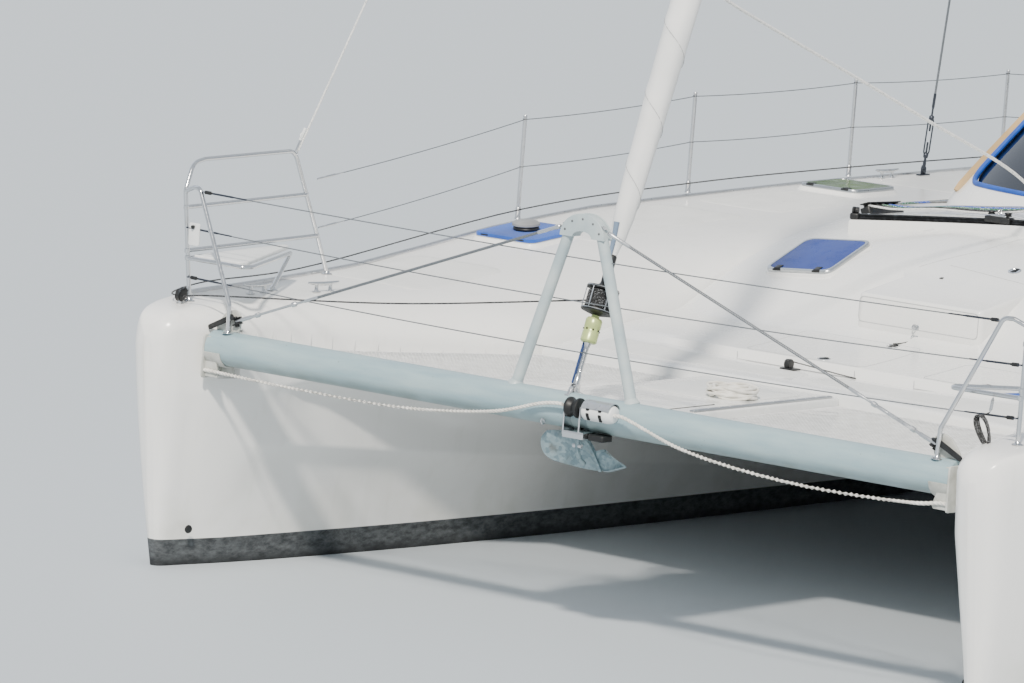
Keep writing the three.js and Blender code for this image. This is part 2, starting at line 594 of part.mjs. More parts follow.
function strikerStay() {
  const end = block(BEAM_X - 4 + GAP, BEAM_X + 24, 2240, 2325, 1410, 1450);
  const slope = Math.atan2(WIRE.peak - WIRE.low.z, WIRE.low.y);
  const along = V(0, -Math.cos(slope), Math.sin(slope));
  const screw = rod(WIRE.low.clone().add(along.clone().multiplyScalar(60)),
    WIRE.low.clone().add(along.clone().multiplyScalar(430)), 19, 19, 8);
  const half = block(5000, 6000, GAP, 3000, 1000, 3000);
  return fuse(strikerWire(0), end, screw).intersect(half);
}

function strikerFrame() {
  const x = BEAM_X - 8;
  const foot = V(BEAM_X, STRIKER_FOOT_Y, BEAM_Z + 80);
  const top = V(x, 0, STRIKER_TOP);
  const legs = SIDES.map(([, s]) => pipe([V(foot.x, s * foot.y, foot.z), V(x, s * 165, 2060), V(x, s * 85, 2200), top],
    37, 8));
  const saddle = block(x - 22, x + 32, -46, 46, STRIKER_TOP, STRIKER_TOP + 66);
  const wires = SIDES.map(([, s]) => mirrored(strikerWire(GAP), s));
  return cut(fuse(...legs, saddle), beamSpace(), ...wires);
}

// Height of a foot of the given radius on the sloping side deck.
const onDeck = (x, radius) => sectionValue(x, 'deck') + GAP + radius * 0.065;

function pulpit() {
  const feet = [[5360, 2740], [3900, 2950], [4640, 2740]].map(([x, y]) => V(x, y, onDeck(x, 28)));
  const [fore, rear, mid] = feet.map((foot) => foot.clone().add(V(0, 0, 12)));
  const front = [fore, V(5430, 2740, 2070), V(5330, 2770, 2215), V(5220, 2830, 2235),
    V(4280, 2965, 2228), V(4220, 2970, 2190), rear];
  const leg = [V(5425, 2742, 2060), V(5440, 2610, 2100), V(5455, 2575, 2050), V(5486, 2345, BEAM_Z + 60)];
  const upper = [V(5422, 2742, 1985), V(4125, 2962, 1985)];
  const lower = [V(5395, 2741, 1745), V(4010, 2955, 1745)];
  const frame = [V(5390, 2741, 1700), V(5300, 2470, 1690), V(4385, 2850, 1665), V(4000, 2953, 1740)];
  const brace = [V(4385, 2850, 1665), mid];
  const seat = prism([[5395, 2735], [5320, 2480], [5260, 2450], [4400, 2830], [4420, 2890]], 1700, 1726);
  const pads = feet.map((foot) => rod(foot, foot.clone().add(V(0, 0, 16)), 28, 28, 8));
  const pipes = [front, leg, upper, lower, frame, brace].map((points) => pipe(points, 12.5, 6));
  return cut(fuse(...pipes, seat, ...pads), beamSpace());
}

function net() {
  const edge = SECTIONS.filter((s) => s.x < BEAM_X - BEAM_R - 40 && s.x >= 3700)
    .map((s) => [s.x, HULL_Y - s.inn - GAP]);
  const x = BEAM_X - BEAM_R - 1;
  const outline = [[x, CATWALK.half + GAP], [x, HULL_Y - sectionValue(x, 'inn') - GAP], ...edge,
    [FOREDECK_X + GAP, WING_Y + 5], [FOREDECK_X + GAP, CATWALK.half + GAP]];
  return prism(outline, NET_Z, NET_Z + 6);
}

function catwalk() {
  const { half, top } = CATWALK;
  return block(FOREDECK_X + GAP, BEAM_X - BEAM_R - GAP, -half, half, top - 90, top);
}

function anchorRoller() {
  const shell = rod(V(5575, 170, 1275), V(5575, 390, 1275), 80, 80, 16);
  const wheel = rod(V(5585, 40, 1290), V(5585, 175, 1290), 50, 50, 16);
  const arm = block(5400, 5600, 60, 200, 1130, 1170);
  const cheek = block(5500, 5600, 150, 180, 1140, 1290);
  return cut(fuse(shell, wheel, arm, cheek), beamSpace());
}

function anchor() {
  const shank = rod(V(5530, 118, 1130 - GAP), V(5530, 118, 960), 22, 22, 8);
  const ridge = rod(V(5300, 118, 1040), V(5640, 118, 900), 16, 7, 6);
  const wings = [[-1, 330], [1, 210]].map(([s, span]) => {
    const outline = [[-40, -s * 9], [-250, s * span * 0.5], [-320, s * span], [-70, s * 70], [120, -s * 7]];
    const plate = prism(outline, 0, 16);
    return plate.rotate([s * -28, 22, 0]).translate([5510, 118, 945]);
  });
  return fuse(shank, ridge, ...wings);
}

function jibTrack() {
  return arcBar(TRACK.radius - TRACK.width / 2, TRACK.radius + TRACK.width / 2, TRACK.base + GAP,
    TRACK.base + TRACK.height, TRACK.half);
}

// Toe rail with the stanchions that stand on it.
const STANCHIONS = [1950, 200, -1550, -3300];
const RAIL = { offset: 0.31, width: 26, height: 26, post: 640 };

function toeRail() {
  const rows = SECTIONS.filter((s) => s.x <= 5200 && s.x >= -4300);
  const y = (s) => HULL_Y + s.out * (1 - RAIL.offset);
  const rail = loft(rows.map((s) => [V(s.x, y(s), s.deck + GAP), V(s.x, y(s) - RAIL.width, s.deck + GAP),
    V(s.x, y(s) - RAIL.width, s.deck + RAIL.height), V(s.x, y(s), s.deck + RAIL.height)]), acrossX);
  const posts = STANCHIONS.map((x) => {
    const out = sectionValue(x, 'out') * (1 - RAIL.offset) - RAIL.width / 2;
    const foot = V(x, HULL_Y + out, sectionValue(x, 'deck') + 10);
    return rod(foot, foot.clone().add(V(0, 0, RAIL.post)), 12.5, 12.5, 6);
  });
  return fuse(rail, ...posts);
}

// Ropes that hang free

const BRIDLE = {
  starboard: [[5530, -2456.8, 1130], [5531, -2400, 1129], [5560, -1800, 1120], [5566, -1000, 1128],
    [5570, -400, 1200], [5580, -100, 1285], [5585, 0, 1300], [5585, 39.2, 1300]],
  port: [[5600, 391, 1290], [5601, 440, 1289], [5650, 900, 1180], [5630, 1600, 1110],
    [5560, 2300, 1115], [5531, 2410, 1129], [5530, 2456.8, 1130]],
};

function bridle(route) {
  const curve = new THREE.CatmullRomCurve3(route.map(([x, y, z]) => V(x, y, z)));
  const section = new THREE.Shape();
  for (let i = 0; i < 8; i += 1) {
    const a = i / 8 * 2 * Math.PI;
    section[i ? 'lineTo' : 'moveTo'](11 * Math.cos(a), 11 * Math.sin(a));
  }
  return toSolid(new THREE.ExtrudeGeometry(section, { steps: 18, extrudePath: curve, bevelEnabled: false }));
}

function lineCoil() {
  const ring = new THREE.TorusGeometry(120, 40, 8, 16);
  return toSolid(ring).translate([4250, 180, CATWALK.top + 40 + GAP]);
}

// The assembly

const gelcoat = { color: '#f3f3f1', roughness: 0.25, metalness: 0 };
const antifoul = { color: '#23262a', roughness: 0.8, metalness: 0 };
const paintedTube = { color: '#8fa7b0', roughness: 0.5, metalness: 0.2 };
const bracketGrey = { color: '#b4b6ae', roughness: 0.5, metalness: 0.2 };
const stainless = { color: '#c3c6c8', roughness: 0.25, metalness: 1 };
const aluminium = { color: '#a9adb0', roughness: 0.45, metalness: 1 };
const blackPlastic = { color: '#17181a', roughness: 0.6, metalness: 0 };
const glassTint = { color: '#10202f', roughness: 0.1, metalness: 0 };
const blueCover = { color: '#1d5fae', roughness: 0.6, metalness: 0 };
const whiteCloth = { color: '#e8e9ea', roughness: 0.9, metalness: 0 };
const rope = { color: '#dcdad2', roughness: 0.9, metalness: 0 };
const vinyl = { color: '#c9c2b2', roughness: 0.7, metalness: 0 };

const boat = new THREE.Group();

function place(name, solid, finish) {
  const mesh = new THREE.Mesh(toGeometry(solid), new THREE.MeshStandardMaterial(finish));
  mesh.name = name;
  boat.add(mesh);
}

const hull = portHull();
place('bridge_deck', bridgeDeck(), gelcoat);
place('coachroof', coachroof(), gelcoat);
place('saloon_door', saloonDoor(), aluminium);
place('saloon_dinette', dinette(), vinyl);
place('cockpit_hardtop', hardtop(), gelcoat);
place('mast', mast(), aluminium);
place('boom', boom(), aluminium);
place('mainsail_bag', sailBag(), blueCover);
place('forestay', forestay(), stainless);
place('furler_drum', furlerDrum(), blackPlastic);
place('furled_jib', furledJib(), whiteCloth);
place('crossbeam', crossbeam(), paintedTube);
place('striker_frame', strikerFrame(), paintedTube);
place('catwalk', catwalk(), gelcoat);
place('anchor_roller', anchorRoller(), stainless);
place('anchor', anchor(), aluminium);
place('jib_track', jibTrack(), blackPlastic);
place('line_coil', lineCoil(), rope);

for (const [sideName, side] of SIDES) {
  const add = (name, solid, finish) => place(`${name}_${sideName}`, mirrored(solid, side), finish);
  add('hull', hull, gelcoat);
  add('rudder', rudder(), antifoul);
  add('saildrive', saildrive(hull), aluminium);
  add('propeller', propeller(), aluminium);
  add('engine', engine(), aluminium);
  add('engine_lid', engineLid(), gelcoat);
  for (const hatch of HATCHES) place(`${hatch.name}_${sideName}`, lid(hatch, side), blueCover);
  place(`front_pane_${sideName}`, pane(windowTool(FRONT_PANE, true, side, GAP)), glassTint);
  place(`side_pane_${sideName}`, pane(windowTool(SIDE_PANE, false, side, GAP)), glassTint);
  place(`cockpit_cushion_${sideName}`, cushion(side), vinyl);
  add('helm_console', helmConsole(), gelcoat);
  add('helm_wheel', helmWheel(), stainless);
  add('shroud', shroud(), stainless);
  add('beam_bracket', beamBracket(), bracketGrey);
  add('striker_stay', strikerStay(), stainless);
  add('pulpit', pulpit(), stainless);
  add('bow_net', net(), whiteCloth);
  add('toe_rail', toeRail(), blackPlastic);
  place(`bridle_${sideName}`, bridle(BRIDLE[sideName]), rope);
}

export default boat;
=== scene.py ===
"""The looks of a cruising sailing catamaran, built around its frame.

Metres; X to the bows, Y to port, Z up.
"""
import math
import random

import bmesh
import bpy
from mathutils import Matrix, Vector


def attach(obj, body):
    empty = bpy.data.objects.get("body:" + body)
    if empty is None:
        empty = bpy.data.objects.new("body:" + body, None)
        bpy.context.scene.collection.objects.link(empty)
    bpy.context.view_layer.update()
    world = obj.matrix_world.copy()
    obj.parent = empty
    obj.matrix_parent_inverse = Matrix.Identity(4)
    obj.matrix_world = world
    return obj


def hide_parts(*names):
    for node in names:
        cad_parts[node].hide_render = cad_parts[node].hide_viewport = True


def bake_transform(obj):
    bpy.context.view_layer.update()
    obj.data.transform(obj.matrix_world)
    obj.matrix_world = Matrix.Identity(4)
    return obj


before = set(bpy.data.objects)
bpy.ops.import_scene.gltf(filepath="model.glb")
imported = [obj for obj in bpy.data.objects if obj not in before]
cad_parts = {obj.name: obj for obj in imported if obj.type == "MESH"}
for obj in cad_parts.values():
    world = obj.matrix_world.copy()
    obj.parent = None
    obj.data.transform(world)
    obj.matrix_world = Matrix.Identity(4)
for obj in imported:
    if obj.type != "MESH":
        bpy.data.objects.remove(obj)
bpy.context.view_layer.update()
SIDES = (("port", 1), ("starboard", -1))

# Driving dimensions
HULL_Y = 2.72          # centre line of each hull
WING_Y = 1.6           # seam between a hull and the bridge deck
CROWN_Y = 0.7          # edge of the flat middle of the bridge deck
BEAM_X, BEAM_Z, BEAM_R, BEAM_HALF = 5.45, 1.254, 0.095, 2.4577
FOREDECK_X = 3.6
NET_Z = 1.222
CATWALK_Y, CATWALK_Z = 0.45, 1.272
CABIN_BASE, FLOOR_Z, SOLE_Z = 1.9, 0.95, 1.25
BULKHEAD_X = -3.36
MAST_X, MAST_FOOT, MAST_TOP = 0.75, 2.1, 17.6
TACK = Vector((5.44, 0, 1.35))
STAY_TOP = Vector((0.92, 0, 14.14))
BOOT_Z = 0.15          # top of the antifouling
BOOM_Z = 3.62          # middle of the boom
RUDDER_X = -5.3        # axis of each rudder's stock
LEG_Z = -0.8           # height of each propeller's shaft
GAP = 0.0003           # clearance between mouldings


# Meshes

class Shape:
    """Points and faces gathered from simple forms. Each face keeps the number of its finish."""

    def __init__(self):
        self.points, self.faces, self.finish = [], [], []

    def add(self, form, finish=0, place=None):
        """Adds a form, moved by a matrix where one is given."""
        points, faces = form
        start = len(self.points)
        self.points += [Vector(p) if place is None else place @ Vector(p) for p in points]
        self.faces += [[start + i for i in face] for face in faces]
        self.finish += [finish] * len(faces)
        return self

    def join(self, other, place=None, finish=None):
        """Adds another shape with its own finishes, or with one finish."""
        start = len(self.points)
        self.points += [p.copy() if place is None else place @ p for p in other.points]
        self.faces += [[start + i for i in face] for face in other.faces]
        self.finish += other.finish if finish is None else [finish] * len(other.faces)
        return self

    def mirrored(self, side):
        """This shape to port, or its mirror image to starboard."""
        if side > 0:
            return self
        other = Shape()
        other.points = [Vector((p.x, -p.y, p.z)) for p in self.points]
        other.faces = [face[::-1] for face in self.faces]
        other.finish = list(self.finish)
        return other

    def mesh(self, name, finishes, angle=35):
        """The gathered faces as one smooth-shaded mesh, its sharp edges kept."""
        data = bpy.data.meshes.new(name)
        data.from_pydata(self.points, [], self.faces)
        for finish in finishes:
            data.materials.append(finish)
        data.polygons.foreach_set("material_index", self.finish)
        return smooth(data, angle)

    def piece(self, name, finishes, body="boat", slot=None, replaces=(), angle=35):
        return settle(self.mesh(name, finishes, angle), name, body, replaces)


def settle(data, name, body="boat", replaces=()):
    """Puts a finished mesh in the scene, on the body that carries it."""
    data.name = name
    obj = bpy.data.objects.new(name, data)
    bpy.context.scene.collection.objects.link(obj)
    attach(obj, body)
    if replaces:
        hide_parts(*replaces)
    return obj


def scratch(data):
    """An object in the scene that only serves an operation."""
    obj = bpy.data.objects.new("scratch", data)
    bpy.context.scene.collection.objects.link(obj)
    return obj


def plain_mesh(obj):
    """The object's mesh with its modifiers applied; the object itself goes."""
    graph = bpy.context.evaluated_depsgraph_get()
    data = bpy.data.meshes.new_from_object(obj.evaluated_get(graph))
    bpy.data.objects.remove(obj)
    return data


def carve(data, tool, operation="DIFFERENCE"):
    """Cuts a closed mesh by another one; both are used up."""
    body, cutter = scratch(data), scratch(tool)
    step = body.modifiers.new("cut", "BOOLEAN")
    step.operation, step.solver, step.object = operation, "MANIFOLD", cutter
    result = plain_mesh(body)
    bpy.data.objects.remove(cutter)
    return result


def smooth(data, angle=35):
    """Smooth shading, with edges sharper than the angle kept."""
    data.polygons.foreach_set("use_smooth", [True] * len(data.polygons))
    data.set_sharp_from_angle(angle=math.radians(angle))
    return data


# Forms: each returns points and faces

def loft(rings, caps=True):
    """A skin through rings of points, closed at both ends unless caps is off."""
    count = len(rings[0])
    points = [p for ring in rings for p in ring]
    faces = []
    for r in range(len(rings) - 1):
        for i in range(count):
            j = (i + 1) % count
            a, b = r * count + i, r * count + j
            faces.append((a, b, b + count, a + count))
    if caps:
        faces.append(tuple(range(count))[::-1])
        faces.append(tuple(range(len(points) - count, len(points))))
    return points, faces


def outward(form):
    """The form with its faces turned out, judged by its volume."""
    points, faces = form
    total = 0.0
    for face in faces:
        a = Vector(points[face[0]])
        for i in range(1, len(face) - 1):
            total += a.dot(Vector(points[face[i]]).cross(Vector(points[face[i + 1]])))
    return (points, faces) if total > 0 else (points, [tuple(reversed(f)) for f in faces])


def solid(rings):
    """A closed form through rings of points, its faces turned out."""
    return outward(loft(rings))


TO_SIDE = Matrix(((1, 0, 0, 0), (0, 0, 1, 0), (0, 1, 0, 0), (0, 0, 0, 1)))
TO_FRONT = Matrix(((0, 0, 1, 0), (1, 0, 0, 0), (0, 1, 0, 0), (0, 0, 0, 1)))


def placed(form, matrix):
    """The form moved by a matrix that may mirror it. TO_SIDE stands a plan in X and Z, TO_FRONT in Y, Z."""
    return outward(([matrix @ Vector(p) for p in form[0]], form[1]))


def frames(points):
    """A direction and two normals at each point of a path, turning as little as they can."""
    points = [Vector(p) for p in points]
    found = []
    normal = None
    for i, p in enumerate(points):
        before = points[max(i - 1, 0)]
        after = points[min(i + 1, len(points) - 1)]
        along = (after - before).normalized()
        if normal is None:
            rough = Vector((0, 0, 1)) if abs(along.z) < 0.9 else Vector((1, 0, 0))
            normal = rough
        normal = (normal - along * normal.dot(along)).normalized()
        found.append((p, along, normal, along.cross(normal)))
    return found


def tube(path, radius, sides=14, section=None, caps=True):
    """A bar along a path. radius is a number or a function of 0 to 1; section gives other radii by angle."""
    rings = []
    rows = frames(path)
    for k, (p, _, n, b) in enumerate(rows):
        r = radius(k / (len(rows) - 1)) if callable(radius) else radius
        ring = []
        for i in range(sides):
            a = 2 * math.pi * i / sides
            grow = r * (section(a, k) if section else 1)
            ring.append(p + n * (grow * math.cos(a)) + b * (grow * math.sin(a)))
        rings.append(ring)
    return loft(rings, caps)


def bent(corners, radius, steps=7):
    """A path through corner points, each corner rounded to a radius."""
    corners = [Vector(c) for c in corners]
    path = [corners[0]]
    for before, corner, after in zip(corners, corners[1:], corners[2:]):
        u, v = (before - corner), (after - corner)
        angle = u.angle(v)
        reach = min(radius / math.tan(angle / 2), u.length * 0.49, v.length * 0.49)
        a, b = corner + u.normalized() * reach, corner + v.normalized() * reach
        for i in range(steps + 1):
            t = i / steps
            path.append(a * (1 - t) ** 2 + corner * 2 * t * (1 - t) + b * t * t)
    path.append(corners[-1])
    return path


def curved(points, steps=8):
    """A smooth path through all the points, its corners no looser than their spacing allows."""
    points = [Vector(p) for p in points]
    rows = [2 * points[0] - points[1], *points, 2 * points[-1] - points[-2]]
    path = []
    for p0, p1, p2, p3 in zip(rows, rows[1:], rows[2:], rows[3:]):
        t1 = (p1 - p0).length ** 0.5
        t2 = t1 + (p2 - p1).length ** 0.5
        t3 = t2 + (p3 - p2).length ** 0.5
        for i in range(steps):
            t = t1 + (t2 - t1) * i / steps
            a = p0 * ((t1 - t) / t1) + p1 * (t / t1)
            b = p1 * ((t2 - t) / (t2 - t1)) + p2 * ((t - t1) / (t2 - t1))
            c = p2 * ((t3 - t) / (t3 - t2)) + p3 * ((t - t2) / (t3 - t2))
            d = a * ((t2 - t) / t2) + b * (t / t2)
            e = b * ((t3 - t) / (t3 - t1)) + c * ((t - t1) / (t3 - t1))
            path.append(d * ((t2 - t) / (t2 - t1)) + e * ((t - t1) / (t2 - t1)))
    path.append(points[-1])
    return path


def turned(profile, sides=24):
    """A form of revolution about Z through [radius, height] points, from the bottom up."""
    rings = []
    for r, z in profile:
        rings.append([Vector((max(r, 1e-5) * math.cos(2 * math.pi * i / sides),
                max(r, 1e-5) * math.sin(2 * math.pi * i / sides), z)) for i in range(sides)])
    return loft(rings)


def bored(profile, sides):
    """A turned form with a hole along its axis, as wide as the two ends of the profile."""
    points, faces = turned(profile, sides)
    last = len(points) - sides
    wall = [(i, last + i, last + (i + 1) % sides, (i + 1) % sides) for i in range(sides)]
    return outward((points, faces[:-2] + wall))


def rounded(corners, radius, steps=5):
    """A closed plan outline with round corners. radius is one number or one for each corner."""
    corners = [Vector((x, y, 0)) for x, y in corners]
    count = len(corners)
    radii = radius if isinstance(radius, (list, tuple)) else [radius] * count
    path = []
    for i, corner in enumerate(corners):
        u, v = corners[i - 1] - corner, corners[(i + 1) % count] - corner
        reach = min(radii[i] / math.tan(u.angle(v) / 2), u.length * 0.49, v.length * 0.49)
        a, b = corner + u.normalized() * reach, corner + v.normalized() * reach
        for k in range(steps + 1):
            t = k / steps
            p = a * (1 - t) ** 2 + corner * 2 * t * (1 - t) + b * t * t
            path.append((p.x, p.y))
    return path


def panel(x0, x1, y0, y1, radius, steps=5):
    """A rectangle's outline with round corners."""
    return rounded([(x0, y0), (x1, y0), (x1, y1), (x0, y1)], radius, steps)


def inset(outline, depth):
    """A closed outline moved in by depth."""
    count = len(outline)
    area = sum(outline[i - 1][0] * outline[i][1] - outline[i][0] * outline[i - 1][1] for i in range(count))
    turn = 1 if area > 0 else -1
    moved = []
    for i, (x, y) in enumerate(outline):
        (x0, y0), (x1, y1) = outline[i - 1], outline[(i + 1) % count]
        a, b = Vector((x - x0, y - y0)), Vector((x1 - x, y1 - y))
        if a.length < 1e-7 or b.length < 1e-7:
            a = b = Vector((x1 - x0, y1 - y0))
        a, b = a.normalized(), b.normalized()
        n = Vector((-(a.y + b.y), a.x + b.x))
        n = n.normalized() * turn / max(0.5, math.cos(a.angle(b, 0) / 2))
        moved.append((x + n.x * depth, y + n.y * depth))
    return moved


def slab(outline, z0, z1, edge=0.003, steps=3, under=None):
    """A plate of a plan outline between two heights, with rounded upper and lower edges."""
    rings = low_rings(outline, z0, edge if under is None else under, steps)
    for k in range(steps + 1):
        a = math.pi / 2 * k / steps
        z = z1 - edge * (1 - math.sin(a))
        rings.append([(x, y, z) for x, y in inset(outline, edge * (1 - math.cos(a)))])
    return solid([[Vector(p) for p in ring] for ring in rings])


def low_rings(outline, z0, under, steps):
    """The rounded lower edge of a plate, from its flat up."""
    rings = []
    for k in range(steps + 1):
        a = math.pi / 2 * k / steps
        z = z0 + under * (1 - math.cos(a))
        rings.append([(x, y, z) for x, y in inset(outline, under * (1 - math.sin(a)))])
    return rings


def box(x0, x1, y0, y1, z0, z1, edge=0.003, corner=None):
    """A block with rounded edges; corner is the radius of its plan's corners."""
    y0, y1 = min(y0, y1), max(y0, y1)
    corners = [(x0, y0), (x1, y0), (x1, y1), (x0, y1)]
    return slab(rounded(corners, corner or max(edge, 0.002), 3), z0, z1, edge)


def toward(a, b, turn=0.0):
    """A matrix that lays a form's Z axis from a to b."""
    a, b = Vector(a), Vector(b)
    face = (b - a).to_track_quat("Z", "Y").to_matrix().to_4x4()
    return Matrix.Translation(a) @ face @ Matrix.Rotation(turn, 4, "Z")


def at(x, y, z, angle=0.0, axis="Z"):
    return Matrix.Translation((x, y, z)) @ Matrix.Rotation(angle, 4, axis)


def rod(a, b, radius, sides=14, edge=0.002):
    """A round bar with rounded ends from a to b."""
    length = (Vector(b) - Vector(a)).length
    edge = min(edge, radius * 0.5, length * 0.3)
    profile = [(radius - edge, 0), (radius - edge * 0.3, edge * 0.3), (radius, edge),
            (radius, length - edge), (radius - edge * 0.3, length - edge * 0.3), (radius - edge, length)]
    points, faces = turned(profile, sides)
    place = toward(a, b)
    return [place @ p for p in points], faces


# Node trees

def add(tree, kind, settings=None, inputs=None):
    """A node with its settings, and its inputs set to a value or linked to an output."""
    node = tree.nodes.new(kind)
    for name, value in (settings or {}).items():
        setattr(node, name, value)
    for name, value in (inputs or {}).items():
        if isinstance(value, bpy.types.NodeSocket):
            tree.links.new(value, node.inputs[name])
        else:
            node.inputs[name].default_value = value
    return node


def linear(code):
    """An sRGB hex colour as linear RGBA."""
    parts = [int(code[i:i + 2], 16) / 255 for i in (1, 3, 5)]
    return (*[c / 12.92 if c <= 0.04045 else ((c + 0.055) / 1.055) ** 2.4 for c in parts], 1)


class Finish:
    """A material with its surface shader, and the few patterns that most finishes share."""

    def __init__(self, name, color, roughness, metallic=0.0, **sockets):
        self.material = bpy.data.materials.new(name)
        self.material.use_nodes = True
        self.tree = self.material.node_tree
        self.shader = self.tree.nodes["Principled BSDF"]
        for key, value in {"Base Color": linear(color), "Roughness": roughness, "Metallic": metallic,
                **sockets}.items():
            self.shader.inputs[key].default_value = value
        self.place = add(self.tree, "ShaderNodeTexCoord").outputs["Object"]

    def scaled(self, scale, place=None):
        """The place stretched along each axis, in waves a metre."""
        return add(self.tree, "ShaderNodeMapping", None, {"Vector": place or self.place,
                "Scale": scale}).outputs["Vector"]

    def noise(self, scale, detail=3.0, rough=0.5, place=None):
        """Cloudy variation, from 0 to 1. scale is in waves a metre."""
        node = add(self.tree, "ShaderNodeTexNoise", None, {"Vector": place or self.place, "Scale": scale,
                "Detail": detail, "Roughness": rough})
        return node.outputs["Fac"]

    def ramp(self, value, low, high, out_low=0.0, out_high=1.0):
        """A value's span mapped to another, and held there."""
        node = add(self.tree, "ShaderNodeMapRange", {"clamp": True},
                {"Value": value, "From Min": low, "From Max": high, "To Min": out_low, "To Max": out_high})
        return node.outputs["Result"]

    def math(self, operation, a, b=0.0):
        node = add(self.tree, "ShaderNodeMath", {"operation": operation}, {0: a, 1: b})
        return node.outputs[0]

    def mix(self, share, a, b):
        """Colour a turning to colour b; each is a hex code or an output."""
        node = add(self.tree, "ShaderNodeMix", {"data_type": "RGBA"}, {"Factor": share})
        for index, value in ((6, a), (7, b)):
            if isinstance(value, str):
                node.inputs[index].default_value = linear(value)
            else:
                self.tree.links.new(value, node.inputs[index])
        return node.outputs[2]

    def axis(self, index):
        node = add(self.tree, "ShaderNodeSeparateXYZ", None, {"Vector": self.place})
        return node.outputs[index]

    def color(self, output):
        self.tree.links.new(output, self.shader.inputs["Base Color"])
        return self

    def rough(self, output):
        self.tree.links.new(output, self.shader.inputs["Roughness"])
        return self

    def bump(self, height, depth, strength=1.0):
        """Relief of the given depth in metres."""
        node = add(self.tree, "ShaderNodeBump", None, {"Strength": strength, "Distance": depth,
                "Height": height})
        self.tree.links.new(node.outputs["Normal"], self.shader.inputs["Normal"])
        return self


# Finishes

def gelcoat(name="gelcoat", color="#f1f1ee"):
    """Polyester gelcoat off a polished mould: a clear gloss over a faint chalky cloud."""
    f = Finish(name, color, 0.24, **{"IOR": 1.52, "Coat Weight": 0.35, "Coat Roughness": 0.12})
    cloud = f.noise(1.3, 4)
    f.color(f.mix(f.ramp(cloud, 0.35, 0.75), color, "#e6e8e7"))
    f.rough(f.ramp(f.noise(9, 3), 0.3, 0.8, 0.2, 0.34))
    return f.bump(f.noise(22, 2), 0.0006).material


def hull_gelcoat():
    """Hull gelcoat above the boot line; below it, rolled antifouling that bleaches where it dries."""
    f = Finish("hull_gelcoat", "#f1f1ee", 0.24, IOR=1.52)
    z = f.axis(2)
    streak = f.noise(1, 4, 0.6, f.scaled((9, 9, 0.7)))
    white = f.mix(f.ramp(streak, 0.55, 0.9, 0, 0.5), "#f2f2ef", "#dadbd4")
    low = f.math("MULTIPLY", f.ramp(z, 0.62, 0.2, 0, 1), f.ramp(f.noise(3.5, 5), 0.42, 0.7, 0, 0.35))
    white = f.mix(low, white, "#c9cabd")
    wet = f.ramp(f.math("ADD", z, f.math("MULTIPLY", f.noise(7, 4), 0.05)), 0.02, 0.085)
    patch = f.ramp(f.noise(16, 6, 0.7, f.scaled((1, 1, 2.2))), 0.36, 0.66)
    dry = f.mix(patch, "#2b2e31", "#5b5f61")
    paint = f.mix(wet, "#15181a", dry)
    edge = f.ramp(z, BOOT_Z - 0.0015, BOOT_Z + 0.0015)
    f.color(f.mix(edge, paint, white))
    f.rough(f.ramp(edge, 0, 1, 0.72, 0.24))
    roller = f.math("MULTIPLY", f.noise(260, 2), f.ramp(z, BOOT_Z + 0.01, BOOT_Z - 0.01))
    return f.bump(f.math("ADD", roller, f.math("MULTIPLY", f.noise(6, 2), 0.4)), 0.0012).material


def nonskid():
    """Moulded non-skid: raised crumbs about 4 mm apart that hold a little dirt."""
    f = Finish("nonskid_gelcoat", "#e4e5e2", 0.5, IOR=1.5)
    cells = add(f.tree, "ShaderNodeTexVoronoi", None, {"Vector": f.place, "Scale": 210.0}).outputs["Distance"]
    f.color(f.mix(f.ramp(f.noise(5, 5), 0.3, 0.8, 0, 0.6), "#e9eae7", "#d6d8d5"))
    return f.bump(f.ramp(cells, 0.1, 0.7, 1, 0), 0.0011).material


def antifouling():
    """Rolled antifouling, dull and a little streaky."""
    f = Finish("antifouling", "#1d2023", 0.78)
    f.color(f.mix(f.ramp(f.noise(11, 5, 0.7), 0.35, 0.7), "#1b1e21", "#34383a"))
    return f.bump(f.noise(240, 2), 0.0008).material


def beam_paint():
    """Satin two-pack paint on the beam's tube, chalked in long cloudy patches, tinted blue as painted
    reflection of the water, with painted shade beneath.
    """
    # The blue in these greys is painted reflection of the water; the paint itself is light grey.
    f = Finish("satin_beam_paint", "#8fa9b2", 0.42, 0.0, **{"IOR": 1.5, "Coat Weight": 0.15,
            "Coat Roughness": 0.3})
    cloud = f.noise(1, 5, 0.6, f.scaled((14, 2.2, 14)))
    base = f.mix(f.ramp(cloud, 0.32, 0.7), "#8aa5ae", "#a2b8bb")
    # Painted shade: the tube darkens in blotches below its middle.
    underside_shade = f.math("MULTIPLY", f.ramp(f.axis(2), BEAM_Z - 0.02, BEAM_Z - 0.09),
            f.ramp(f.noise(6, 5), 0.3, 0.7, 0.3, 1))
    base = f.mix(underside_shade, base, "#6d7c77")
    spots = f.ramp(f.noise(70, 2), 0.74, 0.78)
    f.color(f.mix(spots, base, "#5c6460"))
    f.rough(f.ramp(cloud, 0.3, 0.8, 0.34, 0.5))
    return f.bump(f.noise(90, 2), 0.0004).material


def frame_paint():
    """Satin paint on the striker's tubes and crown, lighter where the sun has chalked it."""
    f = Finish("satin_frame_paint", "#aebcbf", 0.4, **{"IOR": 1.5, "Coat Weight": 0.15,
            "Coat Roughness": 0.3})
    f.color(f.mix(f.ramp(f.noise(7, 5), 0.3, 0.75), "#a3b4b9", "#c2cccb"))
    return f.bump(f.noise(110, 2), 0.0004).material


def bracket_paint():
    """Painted casting: softly pebbled, with darker cloudy patches."""
    f = Finish("painted_casting", "#c2c3bd", 0.5, **{"IOR": 1.5})
    f.color(f.mix(f.ramp(f.noise(17, 5), 0.35, 0.75), "#c6c7c1", "#a5a79f"))
    return f.bump(f.noise(160, 3), 0.0006).material


